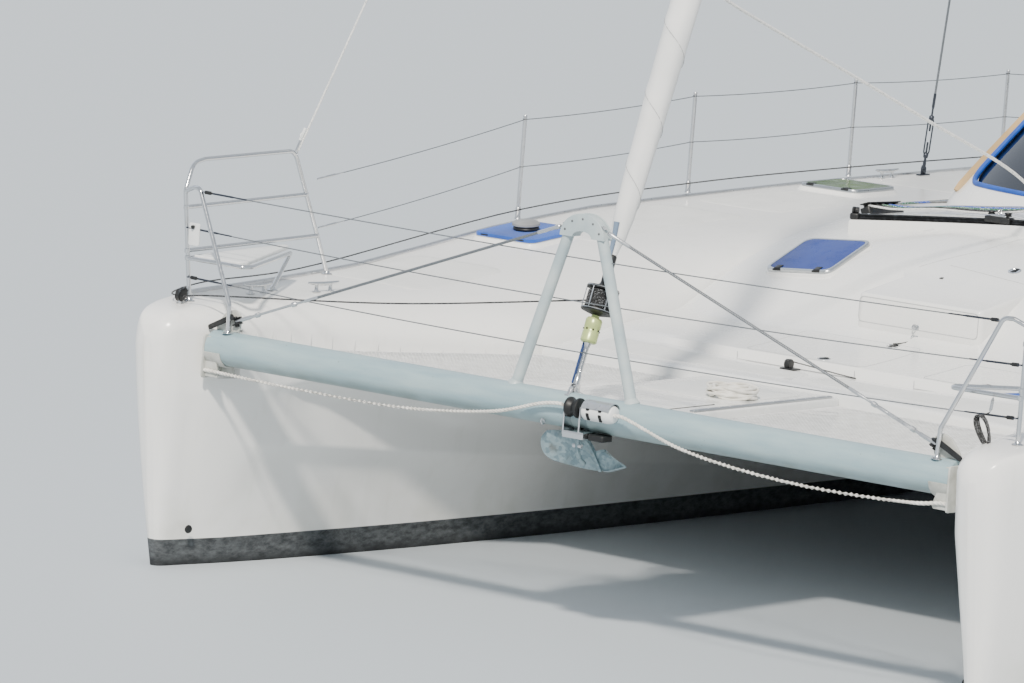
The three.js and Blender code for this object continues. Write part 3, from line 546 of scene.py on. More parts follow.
def stainless(name="polished_stainless", roughness=0.13, color="#d3d5d7", worn="#a89f92"):
    """Polished 316 stainless tube: mirror-like with fine draw lines and a few tea stains."""
    f = Finish(name, color, roughness, 1.0)
    fine = f.noise(60, 4, 0.6)
    f.color(f.mix(f.ramp(f.noise(19, 4), 0.6, 0.8, 0, 0.5), color, worn))
    f.rough(f.ramp(fine, 0.3, 0.8, roughness * 0.8, roughness * 1.8))
    return f.material


def wire_rope():
    """Stainless strand, darkened as painted dark reflection: the lay shows as fine slanting lines of painted
    shade in the grooves and painted highlight on the strands.
    """
    f = Finish("stainless_strand", "#83878b", 0.34, 1.0)
    wave = add(f.tree, "ShaderNodeTexWave", {"wave_type": "BANDS", "bands_direction": "DIAGONAL"},
            {"Vector": f.place, "Scale": 95.0, "Distortion": 0.5}).outputs["Fac"]
    # Painted shade and highlight in bands along the lay.
    f.color(f.mix(wave, "#55595e", "#a9adb0"))
    return f.bump(wave, 0.0008).material


def anodised(name="anodised_spar", color="#b3b6b9", roughness=0.38):
    """Anodised extrusion: satin, with long faint die lines."""
    f = Finish(name, color, roughness, 1.0)
    lines = f.noise(1, 3, 0.6, f.scaled((160, 160, 1.6)))
    f.rough(f.ramp(lines, 0.3, 0.8, roughness * 0.85, roughness * 1.3))
    f.color(f.mix(f.ramp(f.noise(3, 4), 0.4, 0.8, 0, 0.4), color, "#8f9396"))
    return f.bump(lines, 0.0002).material


def black_anodised():
    """Black hard anodising on track and cars, rubbed grey in patches."""
    f = Finish("black_anodising", "#1b1c1e", 0.42, 0.6)
    f.color(f.mix(f.ramp(f.noise(30, 5), 0.45, 0.8), "#17181a", "#3a3c3f"))
    return f.bump(f.noise(300, 2), 0.0002).material


def black_acetal():
    """Moulded black acetal and rubber, satin with faint dust."""
    f = Finish("black_acetal", "#141516", 0.46, IOR=1.48)
    f.color(f.mix(f.ramp(f.noise(24, 4), 0.4, 0.8, 0, 0.7), "#131415", "#2c2e2f"))
    return f.bump(f.noise(220, 2), 0.0003).material


def galvanised():
    """Hot-dip zinc on steel: blue-grey spangle with brown smears where it has dragged."""
    f = Finish("hot_dip_zinc", "#83969c", 0.48, 0.75)
    spangle = add(f.tree, "ShaderNodeTexVoronoi", None, {"Vector": f.place, "Scale": 60.0}).outputs["Color"]
    grey = add(f.tree, "ShaderNodeRGBToBW", None, {"Color": spangle}).outputs["Val"]
    base = f.mix(f.ramp(grey, 0.2, 0.8), "#72868d", "#93a6ab")
    f.color(f.mix(f.ramp(f.noise(9, 5), 0.55, 0.75, 0, 0.7), base, "#6b5f4e"))
    f.rough(f.ramp(grey, 0, 1, 0.38, 0.56))
    return f.bump(f.noise(120, 3), 0.0006).material


def bronze():
    """Cast manganese bronze, brown clouded with green."""
    f = Finish("manganese_bronze", "#93703c", 0.36, 1.0)
    f.color(f.mix(f.ramp(f.noise(26, 5), 0.45, 0.75), "#9a7640", "#5d5a3f"))
    return f.bump(f.noise(90, 3), 0.0004).material


def tinted(name="tinted_acrylic", color="#0c1420", alpha=0.86):
    """Tinted acrylic glazing: nearly black outside, with a hint of the cabin through it."""
    f = Finish(name, color, 0.06, **{"IOR": 1.49, "Alpha": alpha, "Specular IOR Level": 0.6})
    f.rough(f.ramp(f.noise(5, 3), 0.3, 0.8, 0.04, 0.12))
    return f.material


def lens(name, color, dark):
    """Acrylic hatch lens: a deep colour that is painted reflection, under a thin gloss, crazed and dusty in
    patches.
    """
    f = Finish(name, color, 0.2, **{"IOR": 1.49, "Specular IOR Level": 0.16})
    f.color(f.mix(f.ramp(f.noise(3, 5), 0.3, 0.72), color, dark))
    f.rough(f.ramp(f.noise(14, 4), 0.3, 0.8, 0.14, 0.4))
    return f.material


def woven(name, color, dark, thread=0.0016, roughness=0.85, sheen=0.25):
    """Woven cloth; the thread is drawn about twice too wide, so that it shows."""
    f = Finish(name, color, roughness, **{"Sheen Weight": sheen, "Sheen Roughness": 0.5})
    scale = 1 / thread / 2
    one = add(f.tree, "ShaderNodeTexWave", {"bands_direction": "X"},
            {"Vector": f.place, "Scale": scale / 3}).outputs[1]
    two = add(f.tree, "ShaderNodeTexWave", {"bands_direction": "Z"},
            {"Vector": f.place, "Scale": scale / 3}).outputs[1]
    weave = f.math("MULTIPLY", one, two)
    shade = f.mix(f.ramp(f.noise(2.6, 5), 0.35, 0.75), color, dark)
    f.color(f.mix(f.ramp(weave, 0, 1, 0.25, 0), shade, dark))
    return f.bump(weave, 0.0005).material


def fibre(name, color, dark, scale=500.0):
    """Rope yarn: fuzzy fibres with a little dirt."""
    f = Finish(name, color, 0.88, **{"Sheen Weight": 0.3, "Sheen Roughness": 0.6})
    f.color(f.mix(f.ramp(f.noise(18, 5), 0.35, 0.8), color, dark))
    return f.bump(f.noise(scale, 2), 0.0006).material


def braid(name, color, fleck):
    """Braided line with tracer flecks about 8 mm apart."""
    f = Finish(name, color, 0.8, **{"Sheen Weight": 0.2})
    cells = add(f.tree, "ShaderNodeTexVoronoi", None, {"Vector": f.place, "Scale": 130.0}).outputs["Distance"]
    f.color(f.mix(f.ramp(cells, 0.3, 0.36, 1, 0), color, fleck))
    return f.bump(cells, 0.0006).material


def plain(name, color, roughness, metallic=0.0, dark=None, **sockets):
    """A moulded or painted small part with a slight cloud in its colour."""
    f = Finish(name, color, roughness, metallic, **sockets)
    f.color(f.mix(f.ramp(f.noise(12, 4), 0.35, 0.8), color, dark or color))
    return f.bump(f.noise(200, 2), 0.0002).material


def vinyl(name, color, dark):
    """Upholstery vinyl: a fine leather grain, softly glossy."""
    f = Finish(name, color, 0.5, **{"IOR": 1.5, "Sheen Weight": 0.1})
    grain = add(f.tree, "ShaderNodeTexVoronoi", {"feature": "DISTANCE_TO_EDGE"},
            {"Vector": f.place, "Scale": 330.0}).outputs["Distance"]
    f.color(f.mix(f.ramp(f.noise(5, 5), 0.35, 0.8), color, dark))
    return f.bump(f.ramp(grain, 0, 0.25), 0.0006).material


GELCOAT, HULL_COAT, NONSKID, ANTIFOUL = gelcoat(), hull_gelcoat(), nonskid(), antifouling()
BEAM_PAINT, FRAME_PAINT, CASTING = beam_paint(), frame_paint(), bracket_paint()
STEEL, STRAND, DULL_STEEL = stainless(), wire_rope(), stainless("brushed_stainless", 0.3)
# DARK_STEEL's dark blue-grey is painted reflection of dark water and sky on stainless.
DARK_STEEL = stainless("dark_reflection_stainless", 0.34, "#4c5058", "#34373d")
SPAR, TRACK_BLACK, ACETAL = anodised(), black_anodised(), black_acetal()
FRAME_ALU = anodised("silver_hatch_frame", "#c6cacd", 0.3)
ZINC, BRONZE = galvanised(), bronze()
GLAZING = tinted()
# Lens colours are painted reflection: blue of the sky, green of a hill.
BLUE_LENS = lens("sky_reflection_lens", "#0c2b7c", "#25408f")
GREEN_LENS = lens("hill_reflection_lens", "#33500f", "#4e6a26")
# BLUE_COVER's blue is painted reflection of the sky on the forward hatch.
BLUE_COVER = woven("sky_reflection_cover", "#1c5fc4", "#17479a")
BLUE_CANVAS = woven("blue_acrylic_canvas", "#1b4b93", "#163a70")
SAILCLOTH = woven("white_sailcloth", "#f2f2f0", "#dcdedd", 0.002, 0.7, 0.1)
SEAM = plain("seam_thread", "#8e9193", 0.8)
ROPE = fibre("laid_white_polyester", "#ebe9e2", "#cbc7bb")
NET_CORD = fibre("white_net_cord", "#eceded", "#cfd0ce", 900.0)
BLACK_LINE, GREY_LINE = braid("black_braid", "#161718", "#77797c"), braid("grey_braid", "#8b8e90", "#3d4043")
BLUE_LINE, GREEN_LINE = braid("blue_braid", "#1d4fc0", "#e4e6ea"), braid("green_braid", "#1d6a4a", "#dfe6e1")
WHITE_LINE = braid("white_braid", "#e9e9e5", "#9aa0a4")
SHADOW = plain("dark_gap", "#1a1b1c", 0.9)
VINYL = vinyl("cream_vinyl", "#d9d3c3", "#c6bda9")
WHITE_PLASTIC = plain("white_acetal", "#eceeed", 0.35, dark="#dfe2e1")
BLUE_PLASTIC = plain("blue_polythene", "#1f55b8", 0.5, dark="#1a4492")
LIME = plain("lime_anodising", "#c3d18c", 0.3, 0.25, dark="#aebd74")
TAN = woven("tan_webbing", "#c9ab7d", "#a98d62")
GREY_METAL = plain("dull_rivet_alloy", "#75787a", 0.5, 0.4, dark="#5b5e60")
GREY_STRAP = woven("grey_blue_strap", "#7f93ad", "#65788f")
GREY_PLASTIC = plain("grey_moulded_plastic", "#8f9192", 0.45, dark="#77797b")
GREY_SEAM = plain("grey_sealant", "#b9bcbd", 0.7)
BLUE_STRIPE = plain("blue_gelcoat_line", "#1f58c0", 0.3)
PALE_WOOD = plain("oiled_oak", "#b08d60", 0.45, dark="#94714a")
SCREEN = plain("instrument_glass", "#101418", 0.12)
SMOKED_DOME = plain("compass_dome", "#16222c", 0.08)
BLACK_LEATHER = vinyl("stitched_black_leather", "#1b1b1c", "#101011")
CAST_GREY = plain("painted_cast_aluminium", "#6d7478", 0.45, 0.3, dark="#5c6266")
ENGINE_GREEN = plain("engine_paint", "#3d5a68", 0.4, dark="#334c58")


# Repeats, made by geometry nodes

def new_tree(name, sockets):
    """A node group with its input sockets, and its input node."""
    tree = bpy.data.node_groups.new(name, "GeometryNodeTree")
    tree.interface.new_socket("Geometry", in_out="INPUT", socket_type="NodeSocketGeometry")
    for label, kind in sockets.items():
        tree.interface.new_socket(label, in_out="INPUT", socket_type="NodeSocket" + kind)
    tree.interface.new_socket("Geometry", in_out="OUTPUT", socket_type="NodeSocketGeometry")
    return tree, add(tree, "NodeGroupInput").outputs


def end_tree(tree, geometry, finish):
    """The group's last nodes: real geometry, with its finish."""
    flat = add(tree, "GeometryNodeRealizeInstances", None, {"Geometry": geometry}).outputs[0]
    done = add(tree, "GeometryNodeSetMaterial", None, {"Geometry": flat, "Material": finish}).outputs[0]
    add(tree, "NodeGroupOutput", None, {"Geometry": done})
    return tree


def fitting_tree():
    """Puts a fitting on each spot, turned as the spot's attribute says."""
    tree, given = new_tree("repeated_fitting", {"Fitting": "Object", "Size": "Float", "Finish": "Material"})
    turn = add(tree, "GeometryNodeInputNamedAttribute", {"data_type": "FLOAT_VECTOR"}, {"Name": "turn"})
    way = add(tree, "FunctionNodeEulerToRotation", None, {0: turn.outputs["Attribute"]}).outputs[0]
    seed = add(tree, "GeometryNodeObjectInfo", None, {"Object": given["Fitting"]}).outputs["Geometry"]
    many = add(tree, "GeometryNodeInstanceOnPoints", None, {"Points": given["Geometry"], "Instance": seed,
            "Rotation": way, "Scale": given["Size"]})
    return end_tree(tree, many.outputs[0], given["Finish"])


def strand_tree():
    """Gives each edge chain a round section."""
    tree, given = new_tree("strand", {"Radius": "Float", "Sides": "Int", "Finish": "Material"})
    line = add(tree, "GeometryNodeMeshToCurve", None, {"Mesh": given["Geometry"]}).outputs[0]
    ring = add(tree, "GeometryNodeCurvePrimitiveCircle", None,
            {"Resolution": given["Sides"], "Radius": given["Radius"]}).outputs[0]
    bar = add(tree, "GeometryNodeCurveToMesh", None, {"Curve": line, "Profile Curve": ring,
            "Fill Caps": True})
    even = add(tree, "GeometryNodeSetShadeSmooth", None, {"Geometry": bar.outputs[0]}).outputs[0]
    return end_tree(tree, even, given["Finish"])


def lay_tree():
    """Three strands laid together: the section is three-lobed and turns once in each lay."""
    tree, given = new_tree("laid_rope", {"Radius": "Float", "Lay": "Float", "Finish": "Material"})
    line = add(tree, "GeometryNodeMeshToCurve", None, {"Mesh": given["Geometry"]}).outputs[0]
    along = add(tree, "GeometryNodeSplineParameter").outputs["Length"]
    turns = add(tree, "ShaderNodeMath", {"operation": "DIVIDE"}, {0: along, 1: given["Lay"]}).outputs[0]
    angle = add(tree, "ShaderNodeMath", {"operation": "MULTIPLY"}, {0: turns, 1: 2 * math.pi}).outputs[0]
    line = add(tree, "GeometryNodeSetCurveTilt", None, {"Curve": line, "Tilt": angle}).outputs[0]
    ring = add(tree, "GeometryNodeCurvePrimitiveCircle", None, {"Resolution": 18, "Radius": 1.0}).outputs[0]
    spot = add(tree, "GeometryNodeInputPosition").outputs[0]
    parts = add(tree, "ShaderNodeSeparateXYZ", None, {0: spot}).outputs
    turn = add(tree, "ShaderNodeMath", {"operation": "ARCTAN2"}, {0: parts[1], 1: parts[0]}).outputs[0]
    lobes = add(tree, "ShaderNodeMath", {"operation": "MULTIPLY"}, {0: turn, 1: 3.0}).outputs[0]
    wave = add(tree, "ShaderNodeMath", {"operation": "COSINE"}, {0: lobes}).outputs[0]
    size = add(tree, "ShaderNodeMath", {"operation": "MULTIPLY_ADD"}, {0: wave, 1: 0.14, 2: 0.86}).outputs[0]
    size = add(tree, "ShaderNodeMath", {"operation": "MULTIPLY"}, {0: size, 1: given["Radius"]}).outputs[0]
    spot = add(tree, "ShaderNodeVectorMath", {"operation": "SCALE"}, {0: spot, "Scale": size}).outputs[0]
    ring = add(tree, "GeometryNodeSetPosition", None, {"Geometry": ring, "Position": spot}).outputs[0]
    bar = add(tree, "GeometryNodeCurveToMesh", None, {"Curve": line, "Profile Curve": ring,
            "Fill Caps": True})
    even = add(tree, "GeometryNodeSetShadeSmooth", None, {"Geometry": bar.outputs[0]}).outputs[0]
    return end_tree(tree, even, given["Finish"])


FITTINGS, STRANDS, LAID = fitting_tree(), strand_tree(), lay_tree()


def grown(tree, data, **values):
    """The plain mesh that a node tree makes of the given one."""
    obj = scratch(data)
    step = obj.modifiers.new("grow", "NODES")
    step.node_group = tree
    for item in tree.interface.items_tree:
        if item.in_out == "INPUT" and item.name in values:
            step[item.identifier] = values[item.name]
    return plain_mesh(obj)


def lines_mesh(paths):
    """The paths as a mesh of edges."""
    points, edges = [], []
    for path in paths:
        start = len(points)
        points += [Vector(p) for p in path]
        edges += [(start + i, start + i + 1) for i in range(len(path) - 1)]
    data = bpy.data.meshes.new("lines")
    data.from_pydata(points, edges, [])
    return data


def strands(name, paths, radius, finish, body="boat", replaces=(), sides=8):
    data = grown(STRANDS, lines_mesh(paths), Radius=radius, Sides=sides, Finish=finish)
    return settle(data, name, body, replaces)


def fittings(name, shape, spots, finish, body="boat", size=1.0):
    """One small shape repeated at each matrix of spots."""
    seed = scratch(shape.mesh("seed", [finish]))
    data = bpy.data.meshes.new("spots")
    data.from_pydata([s.translation for s in spots], [], [])
    turn = data.attributes.new("turn", "FLOAT_VECTOR", "POINT")
    turn.data.foreach_set("vector", [v for s in spots for v in s.to_euler()])
    made = grown(FITTINGS, data, Fitting=seed, Size=size, Finish=finish)
    bpy.data.objects.remove(seed)
    return settle(smooth(made, 35), name, body)


def hex_bolt(radius=0.009, height=0.006, washer=0.0145):
    """A hexagon head on its washer, standing on z 0."""
    shape = Shape().add(turned([(washer * 0.6, 0), (washer, 0.0), (washer, 0.0014), (washer * 0.9, 0.002),
            (washer * 0.5, 0.002)], 16))
    plan = [(radius * math.cos(math.pi / 3 * i), radius * math.sin(math.pi / 3 * i)) for i in range(6)]
    return shape.add(slab(plan, 0.0019, 0.0019 + height, 0.0012, 2))


def dome_screw(radius=0.006, height=0.0028):
    return Shape().add(turned([(radius * 0.6, 0), (radius, 0), (radius * 0.9, height * 0.5),
            (radius * 0.55, height * 0.92), (radius * 0.2, height)], 12))


def ring_form(major, minor, sides=20, around=8, sweep=1.0):
    """A ring about Z, or a part of one."""
    path = [(major * math.cos(2 * math.pi * sweep * i / sides),
            major * math.sin(2 * math.pi * sweep * i / sides), 0) for i in range(sides + 1)]
    if sweep < 1:
        return tube(path, minor, around)
    points, faces = [], []
    for i in range(sides):
        a = 2 * math.pi * i / sides
        for k in range(around):
            b = 2 * math.pi * k / around
            r = major + minor * math.cos(b)
            points.append(Vector((r * math.cos(a), r * math.sin(a), minor * math.sin(b))))
            j, m = (i + 1) % sides, (k + 1) % around
            faces.append((i * around + k, j * around + k, j * around + m, i * around + m))
    return points, faces


# Camera, floor and light

def camera():
    """The photograph's view: from ahead on the port bow, just above the deck, tilted a little."""
    yaw, pitch, roll = 0.645, 0.125, 0.077
    focal, width = 6833.7, 1024
    forward = Vector((-math.cos(yaw) * math.cos(pitch), -math.sin(yaw) * math.cos(pitch), -math.sin(pitch)))
    right = forward.cross(Vector((0, 0, 1))).normalized()
    up = right.cross(forward)
    x = right * math.cos(roll) + up * math.sin(roll)
    y = up * math.cos(roll) - right * math.sin(roll)
    data = bpy.data.cameras.new("camera")
    data.sensor_width, data.clip_start, data.clip_end = 36, 0.5, 600
    data.lens = focal / width * data.sensor_width
    obj = bpy.data.objects.new("camera", data)
    bpy.context.scene.collection.objects.link(obj)
    turn = Matrix((x, y, -forward)).transposed().to_4x4()
    obj.matrix_world = Matrix.Translation((34.219, 21.219, 6.085)) @ turn
    bpy.context.scene.camera = obj


def studio():
    """A pale floor at the waterline, an even sky and a large soft key from the port bow."""
    floor = Shape()
    reach = 260
    floor.add(([(-reach, -reach, 0), (reach, -reach, 0), (reach, reach, 0), (-reach, reach, 0)],
            [(0, 1, 2, 3)]))
    surface = Finish("pale_floor", "#bcc4ca", 0.6)
    obj = bpy.data.objects.new("floor", floor.mesh("floor", [surface.material]))
    bpy.context.scene.collection.objects.link(obj)
    world = bpy.data.worlds.new("sky")
    bpy.context.scene.world = world
    world.use_nodes = True
    sky = world.node_tree.nodes["Background"]
    sky.inputs["Color"].default_value = linear("#e3eaf2")
    sky.inputs["Strength"].default_value = 0.92
    for name, strength, angle, color, aim in (("key", 5.3, 4, "#fff7ec", (-0.72, -0.38, -0.78)),
            ("fill", 0.5, 60, "#dfeaff", (0.3, 0.9, -0.5))):
        light = bpy.data.lights.new(name, "SUN")
        light.energy, light.angle, light.color = strength, math.radians(angle), linear(color)[:3]
        lamp = bpy.data.objects.new(name, light)
        bpy.context.scene.collection.objects.link(lamp)
        lamp.matrix_world = Vector(aim).to_track_quat("-Z", "Y").to_matrix().to_4x4()


camera()
studio()


# Hull surface. The columns are those of the sections: heights of the keel, sheer (deck), inboard edge,
# wing's underside and bridge deck's middle (centre); half breadths at the water, inboard side, sheer
# and inboard edge of the moulding. Metres.
COLUMNS = ("x", "keel", "wl", "side", "out", "inn", "deck", "edge", "under", "centre")
SECTIONS = (
    (5.720, -0.020, 0.015, 0.030, 0.030, 0.030, 1.290, 1.240, 1.000, 0),
    (5.700, -0.060, 0.030, 0.080, 0.090, 0.090, 1.360, 1.290, 1.000, 0),
    (5.650, -0.120, 0.045, 0.120, 0.140, 0.140, 1.410, 1.320, 1.000, 0),
    (5.550, -0.180, 0.060, 0.165, 0.185, 0.185, 1.442, 1.330, 1.000, 0),
    (5.410, -0.240, 0.085, 0.220, 0.235, 0.250, 1.460, 1.330, 1.000, 0),
    (5.200, -0.290, 0.125, 0.270, 0.285, 0.310, 1.474, 1.330, 1.000, 0),
    (5.000, -0.320, 0.155, 0.305, 0.315, 0.360, 1.482, 1.330, 1.020, 0),
    (4.730, -0.360, 0.195, 0.345, 0.345, 0.480, 1.487, 1.300, 1.060, 0),
    (4.400, -0.400, 0.235, 0.385, 0.385, 0.680, 1.497, 1.270, 1.060, 0),
    (3.950, -0.440, 0.285, 0.430, 0.430, 0.920, 1.517, 1.250, 1.020, 0),
    (3.700, -0.455, 0.310, 0.450, 0.450, 1.060, 1.530, 1.260, 0.970, 0),
    (3.540, -0.465, 0.325, 0.465, 0.465, 1.120, 1.540, 1.270, 0.930, 1.295),
    (3.030, -0.481, 0.365, 0.493, 0.501, 1.120, 1.596, 1.342, 0.850, 1.300),
    (2.990, -0.482, 0.368, 0.495, 0.504, 1.120, 1.600, 1.348, 0.844, 1.358),
    (2.900, -0.485, 0.375, 0.500, 0.510, 1.120, 1.610, 1.360, 0.830, 1.364),
    (2.300, -0.498, 0.411, 0.525, 0.540, 1.120, 1.683, 1.430, 0.790, 1.440),
    (2.200, -0.499, 0.416, 0.528, 0.546, 1.120, 1.694, 1.470, 0.785, 1.490),
    (1.700, -0.505, 0.434, 0.538, 0.560, 1.120, 1.738, 1.680, 0.772, 1.780),
    (1.200, -0.510, 0.455, 0.550, 0.575, 1.120, 1.775, 1.812, 0.760, 1.928),
    (0.950, -0.510, 0.460, 0.553, 0.580, 1.120, 1.784, 1.856, 0.756, 1.978),
    (0.500, -0.510, 0.470, 0.560, 0.590, 1.120, 1.800, 1.900, 0.750, 2.050),
    (-1.000, -0.510, 0.490, 0.570, 0.610, 1.120, 1.840, 1.900, 0.750, 2.050),
    (-3.000, -0.480, 0.490, 0.570, 0.610, 1.120, 1.870, 1.900, 0.760, 2.000),
    (-4.300, -0.420, 0.470, 0.560, 0.600, 1.120, 1.860, 1.900, 0.780, 1.900),
    (-5.100, -0.340, 0.440, 0.540, 0.570, 1.120, 1.840, 1.880, 0.820, 1.880),
    (-5.120, -0.340, 0.440, 0.540, 0.570, 0.550, 1.840, 1.800, 0.820, 0),
    (-5.750, -0.240, 0.400, 0.500, 0.530, 0.510, 1.800, 1.780, 0.820, 0),
)
STATIONS = [row[0] for row in SECTIONS]


def slopes(name):
    """Slopes of a column at its stations, that give a fair curve with no overshoot."""
    k = COLUMNS.index(name)
    steps = [(b[k] - a[k]) / (b[0] - a[0]) for a, b in zip(SECTIONS, SECTIONS[1:])]
    found = [steps[0]]
    for a, b in zip(steps, steps[1:]):
        found.append(0.0 if a * b <= 0 else 2 * a * b / (a + b))
    return found + [steps[-1]]


SLOPES = {name: slopes(name) for name in COLUMNS[1:]}


def section(x, name):
    """A column's value at x, on a fair curve through the table."""
    x = max(min(x, STATIONS[0]), STATIONS[-1])
    i = next(i for i in range(1, len(STATIONS)) if STATIONS[i] <= x + 1e-9)
    a, b = SECTIONS[i - 1], SECTIONS[i]
    k, h = COLUMNS.index(name), b[0] - a[0]
    t = (x - a[0]) / h
    m0, m1 = SLOPES[name][i - 1] * h, SLOPES[name][i] * h
    return ((2 * t ** 3 - 3 * t * t + 1) * a[k] + (t ** 3 - 2 * t * t + t) * m0
            + (3 * t * t - 2 * t ** 3) * b[k] + (t ** 3 - t * t) * m1)


def spread(first, last, step):
    """Stations from first to last with every table row between them, none further apart than step."""
    keys = sorted({first, last, *[x for x in STATIONS if last < x < first]}, reverse=True)
    found = []
    for a, b in zip(keys, keys[1:]):
        count = max(1, math.ceil((a - b) / step))
        found += [a + (b - a) * i / count for i in range(count)]
    return found + [keys[-1]]


def hull_ring(x, shrink=0.0, push=0.0):
    """The port hull's outline at x: keel, topside, gunwale, side deck, shoulder, wing and inboard side."""
    s = {name: section(x, name) for name in COLUMNS[1:]}
    ring = []
    for i in range(17):
        a = math.pi / 2 * (i / 8 - 1)
        ring.append((s["wl"] * math.sin(a), s["keel"] * math.cos(a)))
    low, flare = s["deck"] - 0.17, s["out"] - s["wl"]
    for i in range(1, 13):
        t = i / 12
        ring.append((s["wl"] + flare * (1 - (1 - t) ** 2), low * t))
    for i in range(1, 9):
        a = math.pi / 2 * i / 8
        ring.append((s["out"] * (0.7 + 0.3 * math.cos(a)), low + 0.17 * math.sin(a)))
    flat = min(0.2, 0.35 * s["inn"])
    for i in range(1, 7):
        ring.append((0.7 * s["out"] - (0.7 * s["out"] + flat) * i / 6, s["deck"]))
    for i in range(1, 11):
        a = math.pi / 2 * i / 10
        ring.append((-flat - (s["inn"] - flat) * math.sin(a),
                s["deck"] - (s["deck"] - s["edge"]) * (1 - math.cos(a))))
    wing = s["inn"] - s["side"]
    corners = [
        (-s["inn"], s["edge"]),
        (-s["inn"], s["under"]),
        (-(s["side"] + 0.35 * wing), s["under"] - 0.03 - 0.06 * wing),
        (-s["side"], s["under"] - 0.08 - 0.15 * wing),
        (-s["side"], knuckle(x)),
        (-(s["wl"] + 0.35 * (s["side"] - s["wl"])), knuckle(x) - 0.13),
        (-s["wl"], 0),
    ]
    fade = max(0.0, min(1.0, (x - 4.75) / 0.45))
    for i in range(2, 6):
        y, z = corners[i]
        plain_side = -(s["wl"] + (s["inn"] - s["wl"]) * z / s["under"])
        corners[i] = (y + (plain_side - y) * fade, z)
    for before, corner, after, size in zip(corners, corners[1:], corners[2:], (0.05, 0.12, 0.10, 0.02, 0.16)):
        c = Vector(corner)
        u, v = Vector(before) - c, Vector(after) - c
        a = c + u.normalized() * min(size, u.length * 0.45)
        b = c + v.normalized() * min(size, v.length * 0.45)
        for i in range(5):
            t = i / 4
            p = a * (1 - t) ** 2 + c * 2 * t * (1 - t) + b * t * t
            ring.append((p.x, p.y))
    if shrink:
        middle = s["deck"] * 0.45
        ring = [(y - math.copysign(min(abs(y), shrink), y), z + (middle - z) * shrink / middle)
                for y, z in ring]
    return [Vector((x + push - rake(x, z), HULL_Y + y, z)) for y, z in ring]


def rake(x, z):
    """How far the stem leans back at a height below the knuckle."""
    forward = max(0.0, min(1.0, (x - 4.4) / (STATIONS[0] - 4.4)))
    below = max(0.0, 1.25 - z)
    return 0.148 * below * below / (below + 0.03) * forward ** 2


def knuckle(x):
    return max(0.2, min(0.68, 0.245 + x * 0.09))


BOW = [5.72, 5.718, 5.715, 5.711, 5.706, 5.7, 5.692, 5.682, 5.67, 5.66, 5.65, 5.63, 5.61, 5.585, 5.56]
STEPS = ((-4.45, SOLE_Z), (-5.02, 0.93), (-5.32, 0.62), (-5.56, 0.38))
# Hatches on the frame's own planes. x and y are the lid's middle, rise is the rim's, and height, slope
# (aft) and fall (outboard) are the plane's.
HATCHES = (
    {"name": "hatch_forward", "x": 2.242, "y": 2.78, "length": 0.50, "width": 0.44, "on_hull": True,
        "rise": 0.022, "height": 1.6829, "slope": 0.1016, "fall": 0.0},
    {"name": "hatch_middle", "x": -1.06, "y": 2.79, "length": 0.46, "width": 0.44, "on_hull": True,
        "rise": 0.022, "height": 1.8396, "slope": 0.0180, "fall": 0.0},
    {"name": "hatch_saloon", "x": 1.62, "y": 1.115, "length": 0.48, "width": 0.46, "on_hull": False,
        "rise": 0.044, "height": 1.7131, "slope": 0.3571, "fall": 0.0889},
)
LOCKER = {"x": 2.23, "half": 0.42, "front": 1.672, "slope": 0.165, "length": 0.56}


def hatch_place(hatch, side):
    """Where a hatch lies: its turn follows the deck under it, as its rim does."""
    lean = Matrix.Rotation(-side * math.atan(hatch["fall"]), 4, "X")
    turn = Matrix.Rotation(math.atan(hatch["slope"]), 4, "Y")
    return Matrix.Translation((hatch["x"], side * hatch["y"], hatch["height"])) @ lean @ turn


def straight(x, name):
    """A column's value at x on straight lines between the rows, as the frame has it."""
    i = next(i for i in range(1, len(STATIONS)) if STATIONS[i] <= x + 1e-9)
    a, b = SECTIONS[i - 1], SECTIONS[i]
    k = COLUMNS.index(name)
    return b[k] + (a[k] - b[k]) * (x - b[0]) / (a[0] - b[0])


def rim(hatch, side):
    """The moulded rim a hatch stands on, flared into the deck."""
    length, width, lift = hatch["length"], hatch["width"], hatch["rise"]
    rings = []
    for grow, z in ((0.045, -0.05), (0.034, -0.004), (0.024, 0.002), (0.016, lift * 0.6),
            (0.012, lift - 0.002), (0.008, lift)):
        plan = panel(-length / 2 - grow, length / 2 + grow, -width / 2 - grow, width / 2 + grow, 0.07 + grow,
                6)
        rings.append([Vector((px, py, z)) for px, py in plan])
    shape = Shape().add(solid(rings))
    place = hatch_place(hatch, side)
    shape.points = [place @ p for p in shape.points]
    return shape


def foil(levels, y, steps=14):
    """An upright foil from height, leading edge, trailing edge and thickness at each level."""
    rings = []
    for z, lead, trail, thick in levels:
        ring = []
        for i in range(2 * steps):
            a = math.pi * i / steps
            along = (1 - math.cos(a)) / 2
            ring.append(Vector((lead + (trail - lead) * along,
                    y + thick / 2 * 1.3 * math.sin(a) * (1 - 0.45 * along), z)))
        rings.append(ring)
    return solid(rings)


def stair_tool():
    """What is cut out over the transom steps, as a side view with rounded nosings."""
    corners = [(STEPS[0][0], 2.3)]
    for (x, z), after in zip(STEPS, [*STEPS[1:], (-5.95, 0)]):
        corners += [(x, z), (after[0], z)]
    corners.append((-5.95, 2.3))
    radii = [0.01, 0.05] + [0.022, 0.05] * (len(STEPS) - 1) + [0.01, 0.01]
    plan = rounded(corners, radii, 6)
    rings = [[Vector((x, y, z)) for x, z in plan] for y in (2.08, 3.6)]
    return solid(rings)


